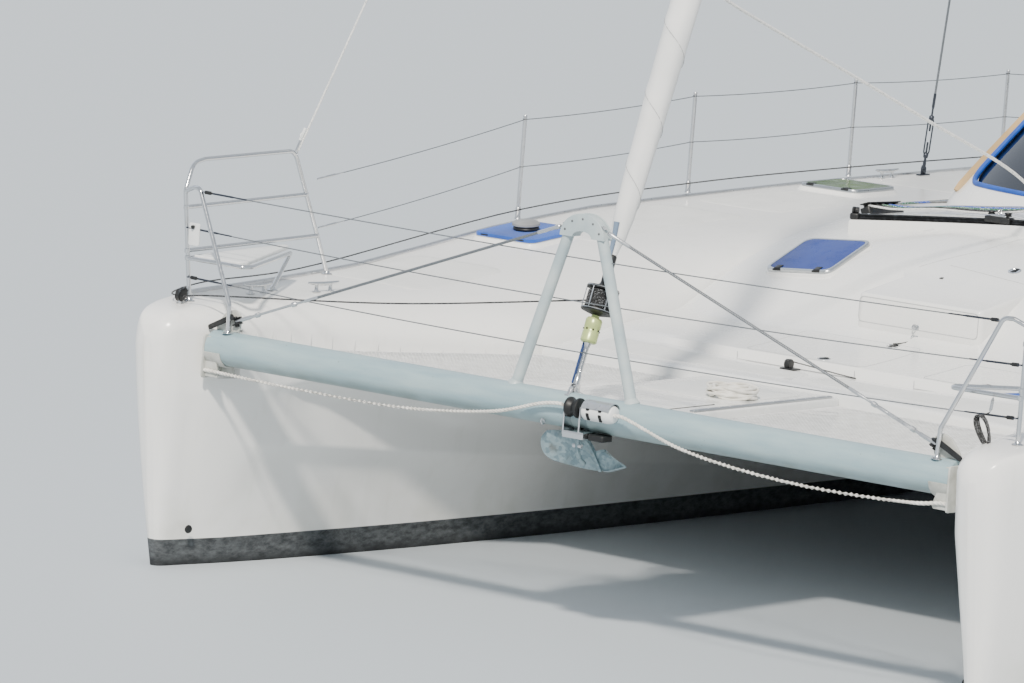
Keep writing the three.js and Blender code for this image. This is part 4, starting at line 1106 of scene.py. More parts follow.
def hull(name, side):
    """One hull: its skin, less the transom steps, wells and bores, with its keel and hatch rims."""
    stations = BOW + spread(5.53, STATIONS[-1], 0.11)
    rings = [hull_ring(x) for x in stations]
    rings.append(hull_ring(stations[-1], 0.010, -0.006))
    rings.append(hull_ring(stations[-1], 0.030, -0.012))
    shell = Shape().add(solid(rings)).mesh("shell", [HULL_COAT])
    tools = [
        stair_tool(),
        box(-4.95, -4.45, 1.5, 2.14, SOLE_Z, 2.2, 0.001),
        box(-4.93, -4.5, 2.47, 2.97, 0.12, 1.6, 0.004),
        box(5.255, 5.452, 2.3, 2.47, 1.07, 1.34, 0.001),
        rod((RUDDER_X, HULL_Y, -0.7), (RUDDER_X, HULL_Y, 0.06), 0.0309, 32),
    ]
    for tool in tools:
        shell = carve(shell, Shape().add(outward(tool)).mesh("tool", [HULL_COAT]))
    extras = Shape().add(foil(((-1.10, 0.700, -1.350, 0.19), (-1.07, 0.735, -1.39, 0.235),
            (-1.0, 0.8, -1.45, 0.26), (-0.7, 0.9, -1.53, 0.28), (-0.38, 1.0, -1.6, 0.3)), HULL_Y))
    for hatch in HATCHES:
        if hatch["on_hull"]:
            extras.join(rim(hatch, 1))
    shell = carve(shell, extras.mesh("extras", [HULL_COAT]), "UNION")
    if side < 0:
        shell.transform(Matrix.Scale(-1, 4, (0, 1, 0)))
        shell.flip_normals()
    smooth(shell, 28)
    settle(shell, f"hull_moulding_{name}", "boat", (f"hull_{name}",))


def deck_height(x, y):
    """Top of the bridge deck: flat in the middle, falling smoothly to the seam with the hull."""
    centre, edge = section(x, "centre"), section(x, "edge")
    t = max(0.0, min(1.0, (abs(y) - CROWN_Y + 0.18) / (WING_Y - CROWN_Y + 0.18)))
    fair = t * t / (t + 0.12) * 1.12
    return centre + (edge - centre) * fair


def bridge_ring(x, back=0.0, drop=0.0):
    """The bridge deck's outline at x; back and drop round its front edge."""
    y = WING_Y - GAP
    under = section(x, "under")
    points = [Vector((x, -y, under)), Vector((x, y, under))]
    for i in range(41):
        across = y * (1 - i / 20)
        points.append(Vector((x, across, deck_height(x, across))))
    if drop:
        middle = (under + section(x, "centre")) / 2
        points = [Vector((x + back, p.y, middle + (p.z - middle) * (1 - drop))) for p in points]
    return points


def prism_form(outline, z0, z1):
    return solid([[Vector((x, y, z)) for x, y in outline] for z in (z0, z1)])


def bridge_deck():
    """The deck between the hulls, with the cabin, cockpit and doorway cut out of it."""
    stations = spread(3.54, -5.1, 0.12)
    nose = [bridge_ring(3.54, FOREDECK_X - 3.54 - back, drop)
            for back, drop in ((0, 0.16), (0.006, 0.08), (0.02, 0.03))]
    shell = Shape().add(solid(nose + [bridge_ring(x) for x in stations])).mesh("shell", [GELCOAT])
    tools = [
        prism_form(cabin_outline(0, 0.0015), CABIN_BASE, 2.4),
        prism_form(cabin_outline(0, -0.08), FLOOR_Z, 2.4),
        slab(panel(-4.95, BULKHEAD_X, -1.5, 1.5, 0.06), SOLE_Z, 2.4, 0.001, under=0.03),
        box(BULKHEAD_X - 0.03, BULKHEAD_X + 0.17, -0.4, 0.4, 1.3, 2.4, 0.001),
        box(-4.95, -4.45, -1.62, 1.62, SOLE_Z + 0.001, 2.4, 0.001),
    ]
    for tool in tools:
        shell = carve(shell, Shape().add(outward(tool)).mesh("tool", [GELCOAT]))
    extras = Shape()
    for _, side in SIDES:
        extras.add(box(-4.3, -3.56, side * 1.53, side * 0.95, SOLE_Z - 0.05, 1.6, 0.02, 0.05))
        extras.join(rim(HATCHES[2], side))
    extras.add(box(MAST_X - 0.15, MAST_X + 0.15, -0.13, 0.13, 1.8, MAST_FOOT - GAP, 0.02, 0.03))
    extras.add(arc_bar(0.045, -0.2, 0.0, 0.012, 16.3))
    extras.add(locker())
    shell = carve(shell, extras.mesh("extras", [GELCOAT]), "UNION")
    settle(smooth(shell, 28), "bridge_deck_moulding", "boat", ("bridge_deck",))


TRACK_R = 4.5


def camber(y):
    """Height of the jib track's ridge, which follows the deck's camber."""
    return 2.052 - 0.088 * math.hypot(y, 0.15)


def arc_bar(half_width, z0, z1, edge, degrees):
    """A bar that follows the jib track's arc about the tack. Heights are from the ridge's top."""
    steps = 30
    outline = []
    for sign in (1, -1):
        for i in range(steps + 1):
            a = math.radians(degrees) * (2 * i / steps - 1) * sign
            r = TRACK_R + half_width * sign
            outline.append((TACK.x - r * math.cos(a), r * math.sin(a)))
    points, faces = slab(outline, z0, z1, edge)
    return [p + Vector((0, 0, camber(p.y))) for p in points], faces


def locker():
    """The raised locker on the foredeck; its top slopes up aft until it meets the ramp."""
    x, half, back = LOCKER["x"], LOCKER["half"], LOCKER["x"] - LOCKER["length"]
    plan = panel(back, x, -half, half, [0.004, 0.045, 0.045, 0.004], 8)
    points, faces = slab(plan, 1.32, LOCKER["front"], 0.022, 6, under=0.002)
    return [p + Vector((0, 0, LOCKER["slope"] * (x - p.x) if p.z > 1.4 else 0)) for p in points], faces


# Coachroof. Levels: height, front on the centre line, half width, aft end.
CABIN = ((CABIN_BASE + GAP, 0.32, 1.51, BULKHEAD_X), (2.06, 0.26, 1.495, BULKHEAD_X),
        (2.74, -0.60, 1.335, BULKHEAD_X), (2.86, -0.75, 1.28, BULKHEAD_X), (2.93, -0.92, 1.15,
        BULKHEAD_X), (2.96, -1.15, 0.85, BULKHEAD_X + 0.02))
WALL = 0.055
NOSE_DEPTH = 0.75


def cabin_row(t):
    """The coachroof's level at t, 0 at its foot and 5 at its top, on a fair curve."""
    rows = [CABIN[0], *CABIN, CABIN[-1]]
    i = min(int(t), 4)
    a, b, c, d = rows[i:i + 4]
    f = t - i
    return [0.5 * (2 * q + (r - p) * f + (2 * p - 5 * q + 4 * r - s) * f * f
            + (3 * q - p - 3 * r + s) * f ** 3) for p, q, r, s in zip(a, b, c, d)]


def cabin_outline(level, grow, steps=26, row=None):
    """The coachroof's plan at a level of its table, or for a row between."""
    _, front, half, aft = row or CABIN[level]
    points = []
    for i in range(steps + 1):
        a = math.pi / 2 * i / steps
        points.append((front + grow - NOSE_DEPTH * (1 - math.cos(a)) ** 1.2, (half + grow) * math.sin(a)))
    back = aft - min(grow, 0)
    start = points[-1][0]
    points += [(start + (back - start) * k / 8, half + grow) for k in range(1, 9)]
    return points + [(x, -y) for x, y in points[:0:-1]]


def cabin_shell(grow, drop, foot):
    """The coachroof's skin from its foot up, grown outward, with its roof lowered by drop."""
    rings = []
    for k in range(31):
        t = k / 6
        row = cabin_row(t)
        z = foot if k == 0 else row[0] - (drop if t > 1 else 0)
        rings.append([Vector((x, y, z)) for x, y in cabin_outline(0, grow, row=row)])
    top = rings[-1]
    for share, rise in ((0.85, 0.006), (0.6, 0.012), (0.3, 0.016), (0.02, 0.018)):
        centre = Vector((-2.2, 0, top[0].z))
        rings.append([centre + (p - centre) * share + Vector((0, 0, rise)) for p in top])
    return solid(rings)


FRONT_PANE = (0.11, 1.27, 2.12, 2.60, 0.09)
PANE_LEAN = 0.085
SIDE_PANE = (-2.95, -0.62, 2.13, 2.58, 0.12)


def pane_plan(pane, front, shrink=0.0):
    """A window's outline; a front pane's outboard edge leans in with the coachroof's corner."""
    a0, a1, z0, z1, radius = pane
    top = a1 - (PANE_LEAN if front else 0)
    return rounded([(a0 + shrink, z0 + shrink), (a1 - shrink, z0 + shrink), (top - shrink, z1 - shrink),
            (a0 + shrink, z1 - shrink)], radius - shrink, 8)


def window_tool(pane, side, front, shrink=0.0):
    """A round-cornered window's prism, along X through the front or along Y through a side."""
    plan = pane_plan(pane, front, shrink)
    if front:
        rings = [[Vector((x, side * a, z)) for a, z in plan] for x in (-1.2, 0.4)]
    else:
        rings = [[Vector((a, side * y, z)) for a, z in plan] for y in (1.0, 2.0)]
    return solid(rings)


def coachroof():
    """The coachroof, hollow, with its windows and doorway cut."""
    shell = Shape().add(cabin_shell(0, 0, CABIN_BASE + GAP)).mesh("shell", [GELCOAT])
    tools = [cabin_shell(-WALL, WALL, CABIN_BASE - 0.1), box(BULKHEAD_X - 0.05, BULKHEAD_X + 0.15, -0.4, 0.4,
            1.8, 2.7, 0.002)]
    for _, side in SIDES:
        tools += [window_tool(FRONT_PANE, side, True), window_tool(SIDE_PANE, side, False)]
    for tool in tools:
        shell = carve(shell, Shape().add(tool).mesh("tool", [GELCOAT]))
    settle(smooth(shell, 28), "coachroof_moulding", "boat", ("coachroof",))


def panes():
    """Glazing set just inside the coachroof's skin."""
    for name, side in SIDES:
        for kind, pane, front in (("front", FRONT_PANE, True), ("side", SIDE_PANE, False)):
            sheet = Shape().add(cabin_shell(-0.012, 0.012, 1.95)).mesh("sheet", [GLAZING])
            sheet = carve(sheet, Shape().add(cabin_shell(-0.022, 0.022, 1.85)).mesh("tool", [GLAZING]))
            tool = Shape().add(window_tool(pane, side, front, 0.0008)).mesh("tool", [GLAZING])
            sheet = carve(sheet, tool, "INTERSECT")
            settle(smooth(sheet, 28), f"{kind}_glazing_{name}", "boat",
                    (f"{kind}_pane_{name}",))


for NAME, SIDE in SIDES:
    hull(NAME, SIDE)
bridge_deck()
coachroof()
panes()


# Bow gear

def crossbeam():
    """The beam's tube, its ends closed by a welded plate, and the chainplate that holds the forestay."""
    shape = Shape()
    profile = [(BEAM_R - 0.010, 0), (BEAM_R - 0.003, 0.0008), (BEAM_R, 0.004)]
    profile += [(BEAM_R, 2 * BEAM_HALF * k / 12) for k in range(1, 12)]
    profile += [(BEAM_R, 2 * BEAM_HALF - 0.004), (BEAM_R - 0.003, 2 * BEAM_HALF - 0.0008),
            (BEAM_R - 0.010, 2 * BEAM_HALF)]
    shape.add(turned(profile, 72), 0, toward((BEAM_X, -BEAM_HALF, BEAM_Z), (BEAM_X, BEAM_HALF, BEAM_Z)))
    plan = rounded([(-0.06, 0.06), (0.06, 0.06), (0.034, 0.127), (-0.034, 0.127)], [0.01, 0.01, 0.03, 0.03],
            6)
    upright = Matrix.Translation((TACK.x, 0, BEAM_Z)) @ Matrix.Rotation(math.pi / 2, 4, "X")
    shape.add(slab(plan, -0.009, 0.009, 0.002), 1, upright)
    shape.add(rod((TACK.x, -0.012, BEAM_Z + 0.104), (TACK.x, 0.012, BEAM_Z + 0.104), 0.009), 2)
    for x in (-0.055, 0.055):
        shape.add(rod((TACK.x + x, -0.015, BEAM_Z + BEAM_R - 0.012),
                (TACK.x + x, 0.015, BEAM_Z + BEAM_R - 0.012), 0.008), 1)
    shape.piece("crossbeam_tube", [BEAM_PAINT, DULL_STEEL, STEEL], "boat", "beam_paint", ("crossbeam",), 30)
    eye = Shape().add(ring_form(0.016, 0.005, 16, 8), 0, at(5.53, -0.12, 1.185, math.pi / 2, "X"))
    eye.add(rod((5.50, -0.12, 1.19), (5.53, -0.12, 1.19), 0.007), 0)
    eye.piece("beam_eye", [STEEL], "boat", "stainless")


BRACKET = {"x0": 5.27, "x1": 5.545, "y0": BEAM_HALF + GAP, "y1": 2.4697, "z0": 1.085, "z1": 1.325}


def beam_bracket(name, side):
    """Casting bolted to the hull: a plate, a web that carries the toggle, a saddle under the beam's end."""
    b = BRACKET
    shape = Shape()
    plan = rounded([(b["x0"], b["z0"]), (b["x1"], b["z0"]), (b["x1"], b["z1"]), (b["x0"], b["z1"])], 0.018, 5)
    shape.add(placed(slab(plan, b["y0"], b["y1"], 0.003), TO_SIDE))
    web = [(2.4585, 1.34), (2.4585, 1.38), (2.400, 1.452), (2.345, 1.474), (2.300, 1.455), (2.288, 1.415),
            (2.300, 1.352), (2.36, 1.345)]
    web = rounded(web, [0.004, 0.02, 0.05, 0.04, 0.03, 0.03, 0.02, 0.02], 5)
    shape.add(placed(slab(web, BEAM_X - 0.016, BEAM_X - 0.004, 0.003), TO_FRONT))
    for x in (BEAM_X - 0.075, BEAM_X + 0.063):
        rib = rounded([(2.4585, 1.095), (2.4585, 1.318), (2.43, 1.318), (2.40, 1.22), (2.36, 1.11),
                (2.37, 1.095)], 0.012, 4)
        shape.add(placed(slab(rib, x, x + 0.012, 0.003), TO_FRONT))
    saddle = []
    for k in range(25):
        a = math.radians(-168 + 156 * k / 24)
        saddle.append((a, BEAM_R + 0.0012))
    rings = []
    for y in (2.345, 2.350, 2.453, 2.4585):
        thick = 0.009 if 2.347 < y < 2.455 else 0.006
        ring = [Vector((BEAM_X + r * math.cos(a), y, BEAM_Z + r * math.sin(a))) for a, r in saddle]
        ring += [Vector((BEAM_X + (r + thick) * math.cos(a), y, BEAM_Z + (r + thick) * math.sin(a)))
                for a, r in saddle[::-1]]
        rings.append(ring)
    shape.add(solid(rings))
    shape.mirrored(side).piece(f"beam_casting_{name}", [CASTING], "boat", "bracket_paint",
            (f"beam_bracket_{name}",))
    face = b["y0"] - 0.0005
    spots = []
    for x, z in ((b["x1"] - 0.03, b["z1"] - 0.03), (b["x1"] - 0.03, b["z0"] + 0.05),
            (b["x0"] + 0.03, b["z1"] - 0.03), (b["x0"] + 0.03, b["z0"] + 0.05)):
        spots.append(toward((x, side * face, z), (x, side * (face - 1), z)))
    spots += [toward((BEAM_X - 0.016, side * 2.4, 1.40), (BEAM_X - 1, side * 2.4, 1.40))]
    fittings(f"bracket_bolts_{name}", hex_bolt(), spots, DULL_STEEL, "boat")


WIRE_X = BEAM_X + 0.006
WIRE_LOW = Vector((WIRE_X, 2.262, 1.432))
WIRE_TOP = Vector((WIRE_X, 0.100, 2.236))


def turnbuckle(shape, a, b, body=0.30, radius=0.017, metal=0):
    """An open-bodied rigging screw on the line from a to b: toggle, fork, two side bars and a swaged stud."""
    place = toward(a, b)
    shape.add(turned([(0.006, 0), (0.011, 0.004), (0.011, 0.05), (0.008, 0.06), (0.008, 0.09)], 12), metal,
            place)
    start = 0.085
    for z0, z1 in ((start, start + 0.035), (start + body - 0.035, start + body)):
        shape.add(turned([(0.009, z0), (radius * 0.8, z0 + 0.004), (radius * 0.85, z1 - 0.008), (0.009, z1)],
                16), metal, place)
    for s in (1, -1):
        shape.add(tube(bent([(s * 0.007, 0, start + 0.01), (s * radius * 0.86, 0, start + 0.045),
                (s * radius * 0.86, 0, start + body - 0.045), (s * 0.007, 0,
                start + body - 0.01)], 0.03, 4), 0.0052, 8), metal, place)
    for z0, z1 in ((start + 0.02, start + 0.11), (start + body - 0.11, start + body - 0.02)):
        shape.add(turned([(0.0055, z0), (0.0065, z0 + 0.003), (0.0065, z1 - 0.003), (0.0055, z1)], 10),
                metal, place)
    sleeve = start + body
    shape.add(turned([(0.0065, sleeve), (0.0065, sleeve + 0.05), (0.0095, sleeve + 0.06),
            (0.0095, sleeve + 0.15), (0.0065, sleeve + 0.16)], 14), metal, place)
    return sleeve + 0.16


def toggle(shape, turn, metal=0, size=0.022):
    """A fork and pin; turn is the matrix that puts it in place, with its Z along the wire."""
    for s in (1, -1):
        plan = panel(-size * 0.75, size * 0.75, -size, size * 1.4, size * 0.7, 5)
        side = turn @ Matrix.Rotation(math.pi / 2, 4, "X")
        shape.add(outward(slab(plan, s * size * 0.62 - 0.003, s * size * 0.62 + 0.003, 0.001, 2)), metal,
                side)
    shape.add(rod((0, -size * 1.0, 0), (0, size * 1.0, 0), size * 0.36, 12), metal, turn)
    shape.add(rod((0, -size * 1.15, 0), (0, -size * 0.98, 0), size * 0.55, 12), metal, turn)


def striker_stay(name, side):
    """Half of the beam's stay: toggle at the bracket, rigging screw, swage and wire up to the saddle."""
    shape = Shape()
    run = (WIRE_TOP - WIRE_LOW).normalized()
    eye = WIRE_LOW + Vector((-0.002, 0.055, -0.02))
    toggle(shape, toward(eye, eye + run), 2, 0.027)
    shape.add(rod(eye, WIRE_LOW + run * 0.02, 0.0115, 14), 0)
    plan = rounded([(-0.02, -0.016), (0.17, -0.014), (0.17, 0.014), (-0.02, 0.016)], 0.013, 4)
    turn = Matrix.Translation(eye + Vector((0.024, 0.02, 0.02))) @ Matrix(((0, 0, 1, 0), (0.9, 0.44, 0, 0),
            (-0.44, 0.9, 0, 0), (0, 0, 0, 1)))
    shape.add(placed(slab(plan, -0.004, 0.004, 0.001), turn), 2)
    reach = turnbuckle(shape, WIRE_LOW, WIRE_TOP)
    start, end = WIRE_LOW + run * (reach - 0.01), WIRE_TOP - run * 0.06
    shape.add(tube([start, (start + end) / 2, end], 0.0078, 12), 1)
    swage = [(0.006, -0.16), (0.0098, -0.155), (0.0098, -0.04), (0.0125, -0.035), (0.0125, -0.008),
            (0.006, 0.0)]
    shape.add(turned(swage, 16), 0, toward(end, WIRE_TOP))
    toggle(shape, toward(WIRE_TOP - run * 0.022, WIRE_TOP), 0, 0.019)
    shape.mirrored(side).piece(f"striker_wire_{name}", [DULL_STEEL, STRAND, ACETAL], "boat", "stainless",
            (f"striker_stay_{name}",))


LEG_R = 0.031
CROWN = {"half": 0.142, "z": 2.172, "height": 0.124, "inner": 0.062, "arch": 0.034, "thick": 0.076,
        "leg": 0.104}


def crown_arch(x, low, high, edge, grow):
    """Part of the crown between two depths along X: a bent bar from the inner arch to the outer one."""
    rings = []
    for k in range(49):
        a = math.pi * k / 48
        rim = Vector((0, (CROWN["half"] + grow) * math.cos(a),
                CROWN["z"] + (CROWN["height"] + grow) * math.sin(a)))
        root = Vector((0, CROWN["inner"] * math.cos(a), CROWN["z"] + CROWN["arch"] * math.sin(a)))
        reach = (rim - root).length
        out = (rim - root).normalized()
        plan = panel(0, reach, low, high, [0.002, edge, edge, 0.002], 4)
        rings.append([root + out * u + Vector((x + v, 0, 0)) for u, v in plan])
    return solid(rings)


def striker_frame():
    """Two painted legs that meet in a riveted crown; the stays pull on its shoulders."""
    shape = Shape()
    x = BEAM_X - 0.008
    for _, s in SIDES:
        foot, head = Vector((x, s * 0.386, BEAM_Z + 0.075)), Vector((x, s * CROWN["leg"], CROWN["z"] + 0.028))
        run = (head - foot).normalized()
        shape.add(tube([foot, foot.lerp(head, 0.5), head], LEG_R, 32))
        shape.add(turned([(0.040, 0), (0.046, 0.004), (0.045, 0.012), (0.037, 0.022), (0.0315, 0.034)], 32),
                0, toward(foot + run * 0.004, head))
    half = CROWN["thick"] / 2
    shape.add(crown_arch(x, -half + 0.005, half - 0.005, 0.016, 0.0))
    for x0 in (-half, half - 0.007):
        shape.add(crown_arch(x, x0, x0 + 0.007, 0.003, 0.004))
    shape.piece("striker_tubes", [FRAME_PAINT], "boat", "frame_paint", ("striker_frame",), 30)
    spots = []
    for k in range(5):
        a = math.radians(20 + 140 * k / 4)
        y, z = CROWN["half"] * 0.84 * math.cos(a), CROWN["z"] + CROWN["height"] * 0.80 * math.sin(a)
        spots += [toward((x + half, y, z), (x + 1, y, z)), toward((x - half, y, z), (x - 1, y, z))]
    fittings("crown_rivets", dome_screw(0.0068, 0.0032), spots, GREY_METAL, "boat")


def on_deck(x):
    return straight(x, "deck") + GAP


def pulpit(name, side):
    """Bent stainless tube with two rails, an inboard leg to the beam and a small seat."""
    r = 0.0125
    fore, rear, mid = (Vector((x, y, on_deck(x) + 0.01))
            for x, y in ((5.36, 2.74), (3.90, 2.95), (4.64, 2.74)))
    shape = Shape()
    routes = [
        bent([fore, (5.415, 2.775, 2.08), (5.34, 2.795, 2.225), (5.20, 2.83, 2.238), (4.25, 2.965, 2.238),
            rear], 0.10, 10),
        bent([(5.412, 2.773, 2.075), (5.43, 2.70, 2.105), (5.445, 2.648, 2.105), (5.483, 2.350, 1.50),
              (5.486, 2.345, BEAM_Z + BEAM_R * 0.93)], 0.045, 8),
        [Vector((5.408, 2.768, 1.985)), Vector((4.125, 2.96, 1.985))],
        [Vector((5.39, 2.755, 1.745)), Vector((4.01, 2.953, 1.745))],
        bent([(5.388, 2.750, 1.705), (5.400, 2.345, 1.705), (5.335, 2.325, 1.705), (4.41, 2.815, 1.680),
            (4.36, 2.86, 1.66), mid],
             0.035, 8),
        bent([(4.42, 2.885, 1.70), (4.9, 2.81, 1.70), (5.385, 2.735, 1.705)], 0.03, 4),
    ]
    for route in routes:
        shape.add(tube(route, r, 16))
    if side > 0:
        plate = [(5.385, 2.735), (5.10, 2.745), (4.90, 2.735), (5.385, 2.60)]
        shape.add(slab(rounded(plate, 0.012, 4), 1.701, 1.709, 0.002), 2)
    else:
        seat = rounded([(5.372, 2.722), (5.360, 2.400), (5.290, 2.395), (4.42, 2.818), (4.425, 2.865)],
                [0.02, 0.05, 0.05, 0.03, 0.03], 6)
        shape.add(slab(seat, 1.7005, 1.7255, 0.008, 4), 1)
    flange = [(0.006, 0), (0.030, 0), (0.032, 0.002), (0.031, 0.005), (0.018, 0.008), (0.0150, 0.016),
            (0.0128, 0.02)]
    for foot in (fore, rear, mid):
        shape.add(turned(flange, 24), 0, at(foot.x, foot.y, foot.z - 0.01))
    shape.add(turned(flange, 24), 0, toward((5.486, 2.345, BEAM_Z + BEAM_R * 0.925), (5.48, 2.36, 1.5)))
    for x, y, z in ((5.408, 2.768, 1.985), (5.39, 2.755, 1.745), (4.125, 2.96, 1.985), (4.01, 2.953, 1.745),
            (5.412, 2.773, 2.075), (5.388, 2.750, 1.705)):
        shape.add(turned([(0.004, -0.015), (0.0145, -0.012), (0.0155, 0), (0.0145, 0.012), (0.004, 0.015)],
                16), 0, at(x, y, z))
    shape.mirrored(side).piece(f"pulpit_tubes_{name}", [STEEL, WHITE_PLASTIC,
            BLUE_PLASTIC if side > 0 else WHITE_PLASTIC], "boat", "stainless", (f"pulpit_{name}",))
    if side < 0:
        plate = Shape()
        sheet = panel(-2.735, -2.66, 1.78, 1.905, 0.012, 4)
        plate.add(placed(slab(sheet, 5.40, 5.412, 0.003), TO_FRONT))
        plate.add(rod((5.40, -2.70, 1.885), (5.43, -2.70, 1.885), 0.009), 1)
        plate.piece("pulpit_plate", [WHITE_PLASTIC, ACETAL], "boat", "black_plastic")


def net_edge(x):
    """The net's outer edge: the hull's inner side at x."""
    return HULL_Y - max(section(x, "inn"), 0.2)


def bow_net(name, side):
    """Knotted net laced between the beam, the hull, the foredeck and the catwalk; it sags a little."""
    cell = 0.021
    x0, x1 = FOREDECK_X + 0.012, BEAM_X - BEAM_R - 0.025
    y0 = CATWALK_Y + 0.012

    def inside(x, y):
        return x0 <= x <= x1 and y0 <= y <= net_edge(x) - 0.012

    def sag(x, y):
        u = (x - x0) / (x1 - x0)
        v = (y - y0) / max(net_edge(x) - 0.012 - y0, 0.1)
        return (NET_Z + 0.003 - 0.05 * math.sin(math.pi * max(0, min(1, u)))
                * math.sin(math.pi * max(0, min(1, v))))

    paths = []
    for slant in (1, -1):
        reach = 2.4
        c = -reach
        while c < 4.2:
            run = []
            steps = 260
            for k in range(steps + 1):
                x = x0 + (x1 - x0) * k / steps
                y = c + slant * (x - x0)
                if inside(x, y):
                    run.append((x, y))
            if len(run) > 3:
                picked = [run[0], *run[12:-12:24], run[-1]]
                paths.append([(x, side * y, sag(x, y)) for x, y in picked])
            c += cell * 1.4142
    strands(f"net_mesh_{name}", paths, 0.0016, NET_CORD, "boat", (f"bow_net_{name}",), 4)
    rope = [(x0, y0), (x1, y0), (x1, net_edge(x1) - 0.012)]
    rope += [(x, net_edge(x) - 0.012) for x in spread(x1, x0, 0.1)[1:]]
    rope.append((x0, y0))
    strands(f"net_border_{name}", [[(x, side * y, sag(x, y)) for x, y in rope]], 0.005, NET_CORD, "boat")
    net_lacing(name, side, x0, x1)


def net_lacing(name, side, x0, x1):
    """Hooks on the hull's side, and the cord that laces the net's edge to them."""
    hooks, lacing = [], []
    count = 15
    for k in range(count):
        x = x1 - 0.05 - (x1 - x0 - 0.1) * k / (count - 1)
        y = net_edge(x)
        lean = math.atan2(net_edge(x + 0.05) - net_edge(x - 0.05), 0.1)
        z = section(x, "edge")
        hooks.append(Matrix.Translation((x, side * (y + 0.016), z + 0.006))
                @ Matrix.Rotation(side * lean, 4, "Z") @ Matrix.Rotation(side * -0.4, 4, "X"))
        turn = ((-0.03, -0.012, NET_Z), (-0.01, -0.001, z - 0.012), (0, 0.008, z + 0.006),
                (0.012, -0.001, z - 0.012), (0.03, -0.012, NET_Z))
        lacing.append(curved([(x + dx, side * (y + dy), level) for dx, dy, level in turn], 3))
    hook = Shape().add(tube(bent([(-0.038, -0.006, 0.004), (-0.012, -0.006, 0.014), (0.012, 0.006, 0.014),
            (0.038, 0.006, 0.004)], 0.01, 3), 0.0062, 8))
    hook.add(slab(panel(-0.018, 0.018, -0.012, 0.012, 0.006, 3), 0, 0.010, 0.0015, 2))
    fittings(f"lacing_hooks_{name}", hook, hooks, ACETAL, "boat")
    strands(f"net_lacing_{name}", lacing, 0.0022, NET_CORD, "boat", (), 6)


def catwalk():
    """The moulded catwalk, its locker lid, and the grey track along its port edge."""
    shape = Shape()
    x0, x1 = FOREDECK_X + GAP, BEAM_X - BEAM_R - GAP
    plan = panel(x0, x1, -CATWALK_Y, CATWALK_Y, 0.03, 5)
    shape.add(slab(plan, CATWALK_Z - 0.09, CATWALK_Z, 0.014, 5))
    lid_plan = panel(4.55, 5.22, -0.34, 0.30, 0.05, 6)
    # A dark sheet just wider than the lid shows round it: painted shadow in the gap.
    shape.add(slab(inset(lid_plan, -0.006), CATWALK_Z - 0.001, CATWALK_Z + 0.0004, 0.0002, 1), 1)
    shape.add(slab(lid_plan, CATWALK_Z, CATWALK_Z + 0.007, 0.004, 3), 0)
    shape.add(slab(panel(3.75, 4.42, -0.34, 0.30, 0.05, 6), CATWALK_Z - 0.001, CATWALK_Z + 0.0022, 0.001, 2),
            2)
    shape.piece("catwalk_moulding", [GELCOAT, SHADOW, NONSKID], "boat", "gelcoat", ("catwalk",))
    track = Shape()
    track.add(slab(panel(3.66, 4.95, 0.405, 0.440, 0.01, 4), CATWALK_Z - 0.0005, CATWALK_Z + 0.011, 0.003,
            3))
    track.piece("catwalk_track", [SPAR], "boat", "spar_aluminium")
    spots = [at(3.70 + 0.1 * k, 0.4225, CATWALK_Z + 0.0108) for k in range(13)]
    fittings("track_screws", dome_screw(0.005, 0.002), spots, DULL_STEEL, "boat")


def anchor_roller():
    """Bow roller on the beam: a black sheave, cheeks and a white slotted drum under a grey hood."""
    shape = Shape()
    wheel = [(0.050, 0.0), (0.054, 0.004), (0.054, 0.016), (0.044, 0.028), (0.040, 0.040), (0.044, 0.052),
            (0.054, 0.064), (0.054, 0.076), (0.050, 0.080)]
    shape.add(turned(wheel, 40), 1, toward((5.575, 0.075, 1.292), (5.575, 1, 1.292)))
    shape.add(rod((5.575, 0.041, 1.292), (5.575, 0.20, 1.292), 0.012), 0)
    drum = [(0.030, 0), (0.046, 0.003), (0.051, 0.012), (0.052, 0.03), (0.052, 0.15), (0.050, 0.172),
            (0.042, 0.190), (0.025, 0.199), (0.01, 0.20)]
    shape.add(turned(drum, 48), 2, toward((5.575, 0.1855, 1.288), (5.575, 1, 1.288)))
    for a in (math.radians(32), math.radians(-30)):
        for y in (0.235, 0.315):
            p = Vector((5.575 + 0.0523 * math.cos(a), y, 1.288 + 0.0523 * math.sin(a)))
            # Dark patches on the drum's face: painted shade standing in for its slots.
            shape.add(box(-0.010, 0.010, -0.022, 0.022, -0.004, 0.0012, 0.001, 0.006), 3,
                    toward(p, p + Vector((math.cos(a), 0, math.sin(a)))))
    hood = []
    for k in range(13):
        a = math.radians(20 + 140 * k / 12)
        hood.append([Vector((5.575 + r * math.cos(a), y, 1.288 + r * math.sin(a)))
                for r, y in ((0.0565, 0.195), (0.0600, 0.195), (0.0600, 0.372), (0.0565, 0.372))])
    shape.add(solid(hood), 4)
    shape.add(box(5.40, 5.60, 0.062, 0.198, 1.131, 1.169, 0.004), 0)
    shape.add(box(5.47, 5.56, 0.198, 0.300, 1.128, 1.162, 0.006, 0.012), 1)
    for y in (0.058, 0.160):
        shape.add(box(5.50, 5.60, y, y + 0.010, 1.145, 1.300, 0.003, 0.02), 0)
    shape.piece("bow_roller", [STEEL, ACETAL, WHITE_PLASTIC, SHADOW, DULL_STEEL], "boat", "stainless",
            ("anchor_roller",))


# The anchor's spine runs down aft from its head to its tip; each share's outer edge is a row of corners.
SPINE = (Vector((5.478, 0.118, 1.122)), Vector((5.389, 0.118, 1.043)), Vector((5.307, 0.118, 0.939)))
SHARES = (
    ((5.45, -0.150, 1.126), (5.462, -0.174, 1.085), (5.455, -0.176, 1.036), (5.44, -0.146, 0.986),
        (5.36, 0.02, 0.948)),
    ((5.43, 0.230, 1.060), (5.425, 0.300, 1.030), (5.415, 0.352, 1.006), (5.39, 0.300, 0.985),
        (5.34, 0.190, 0.950)),
)


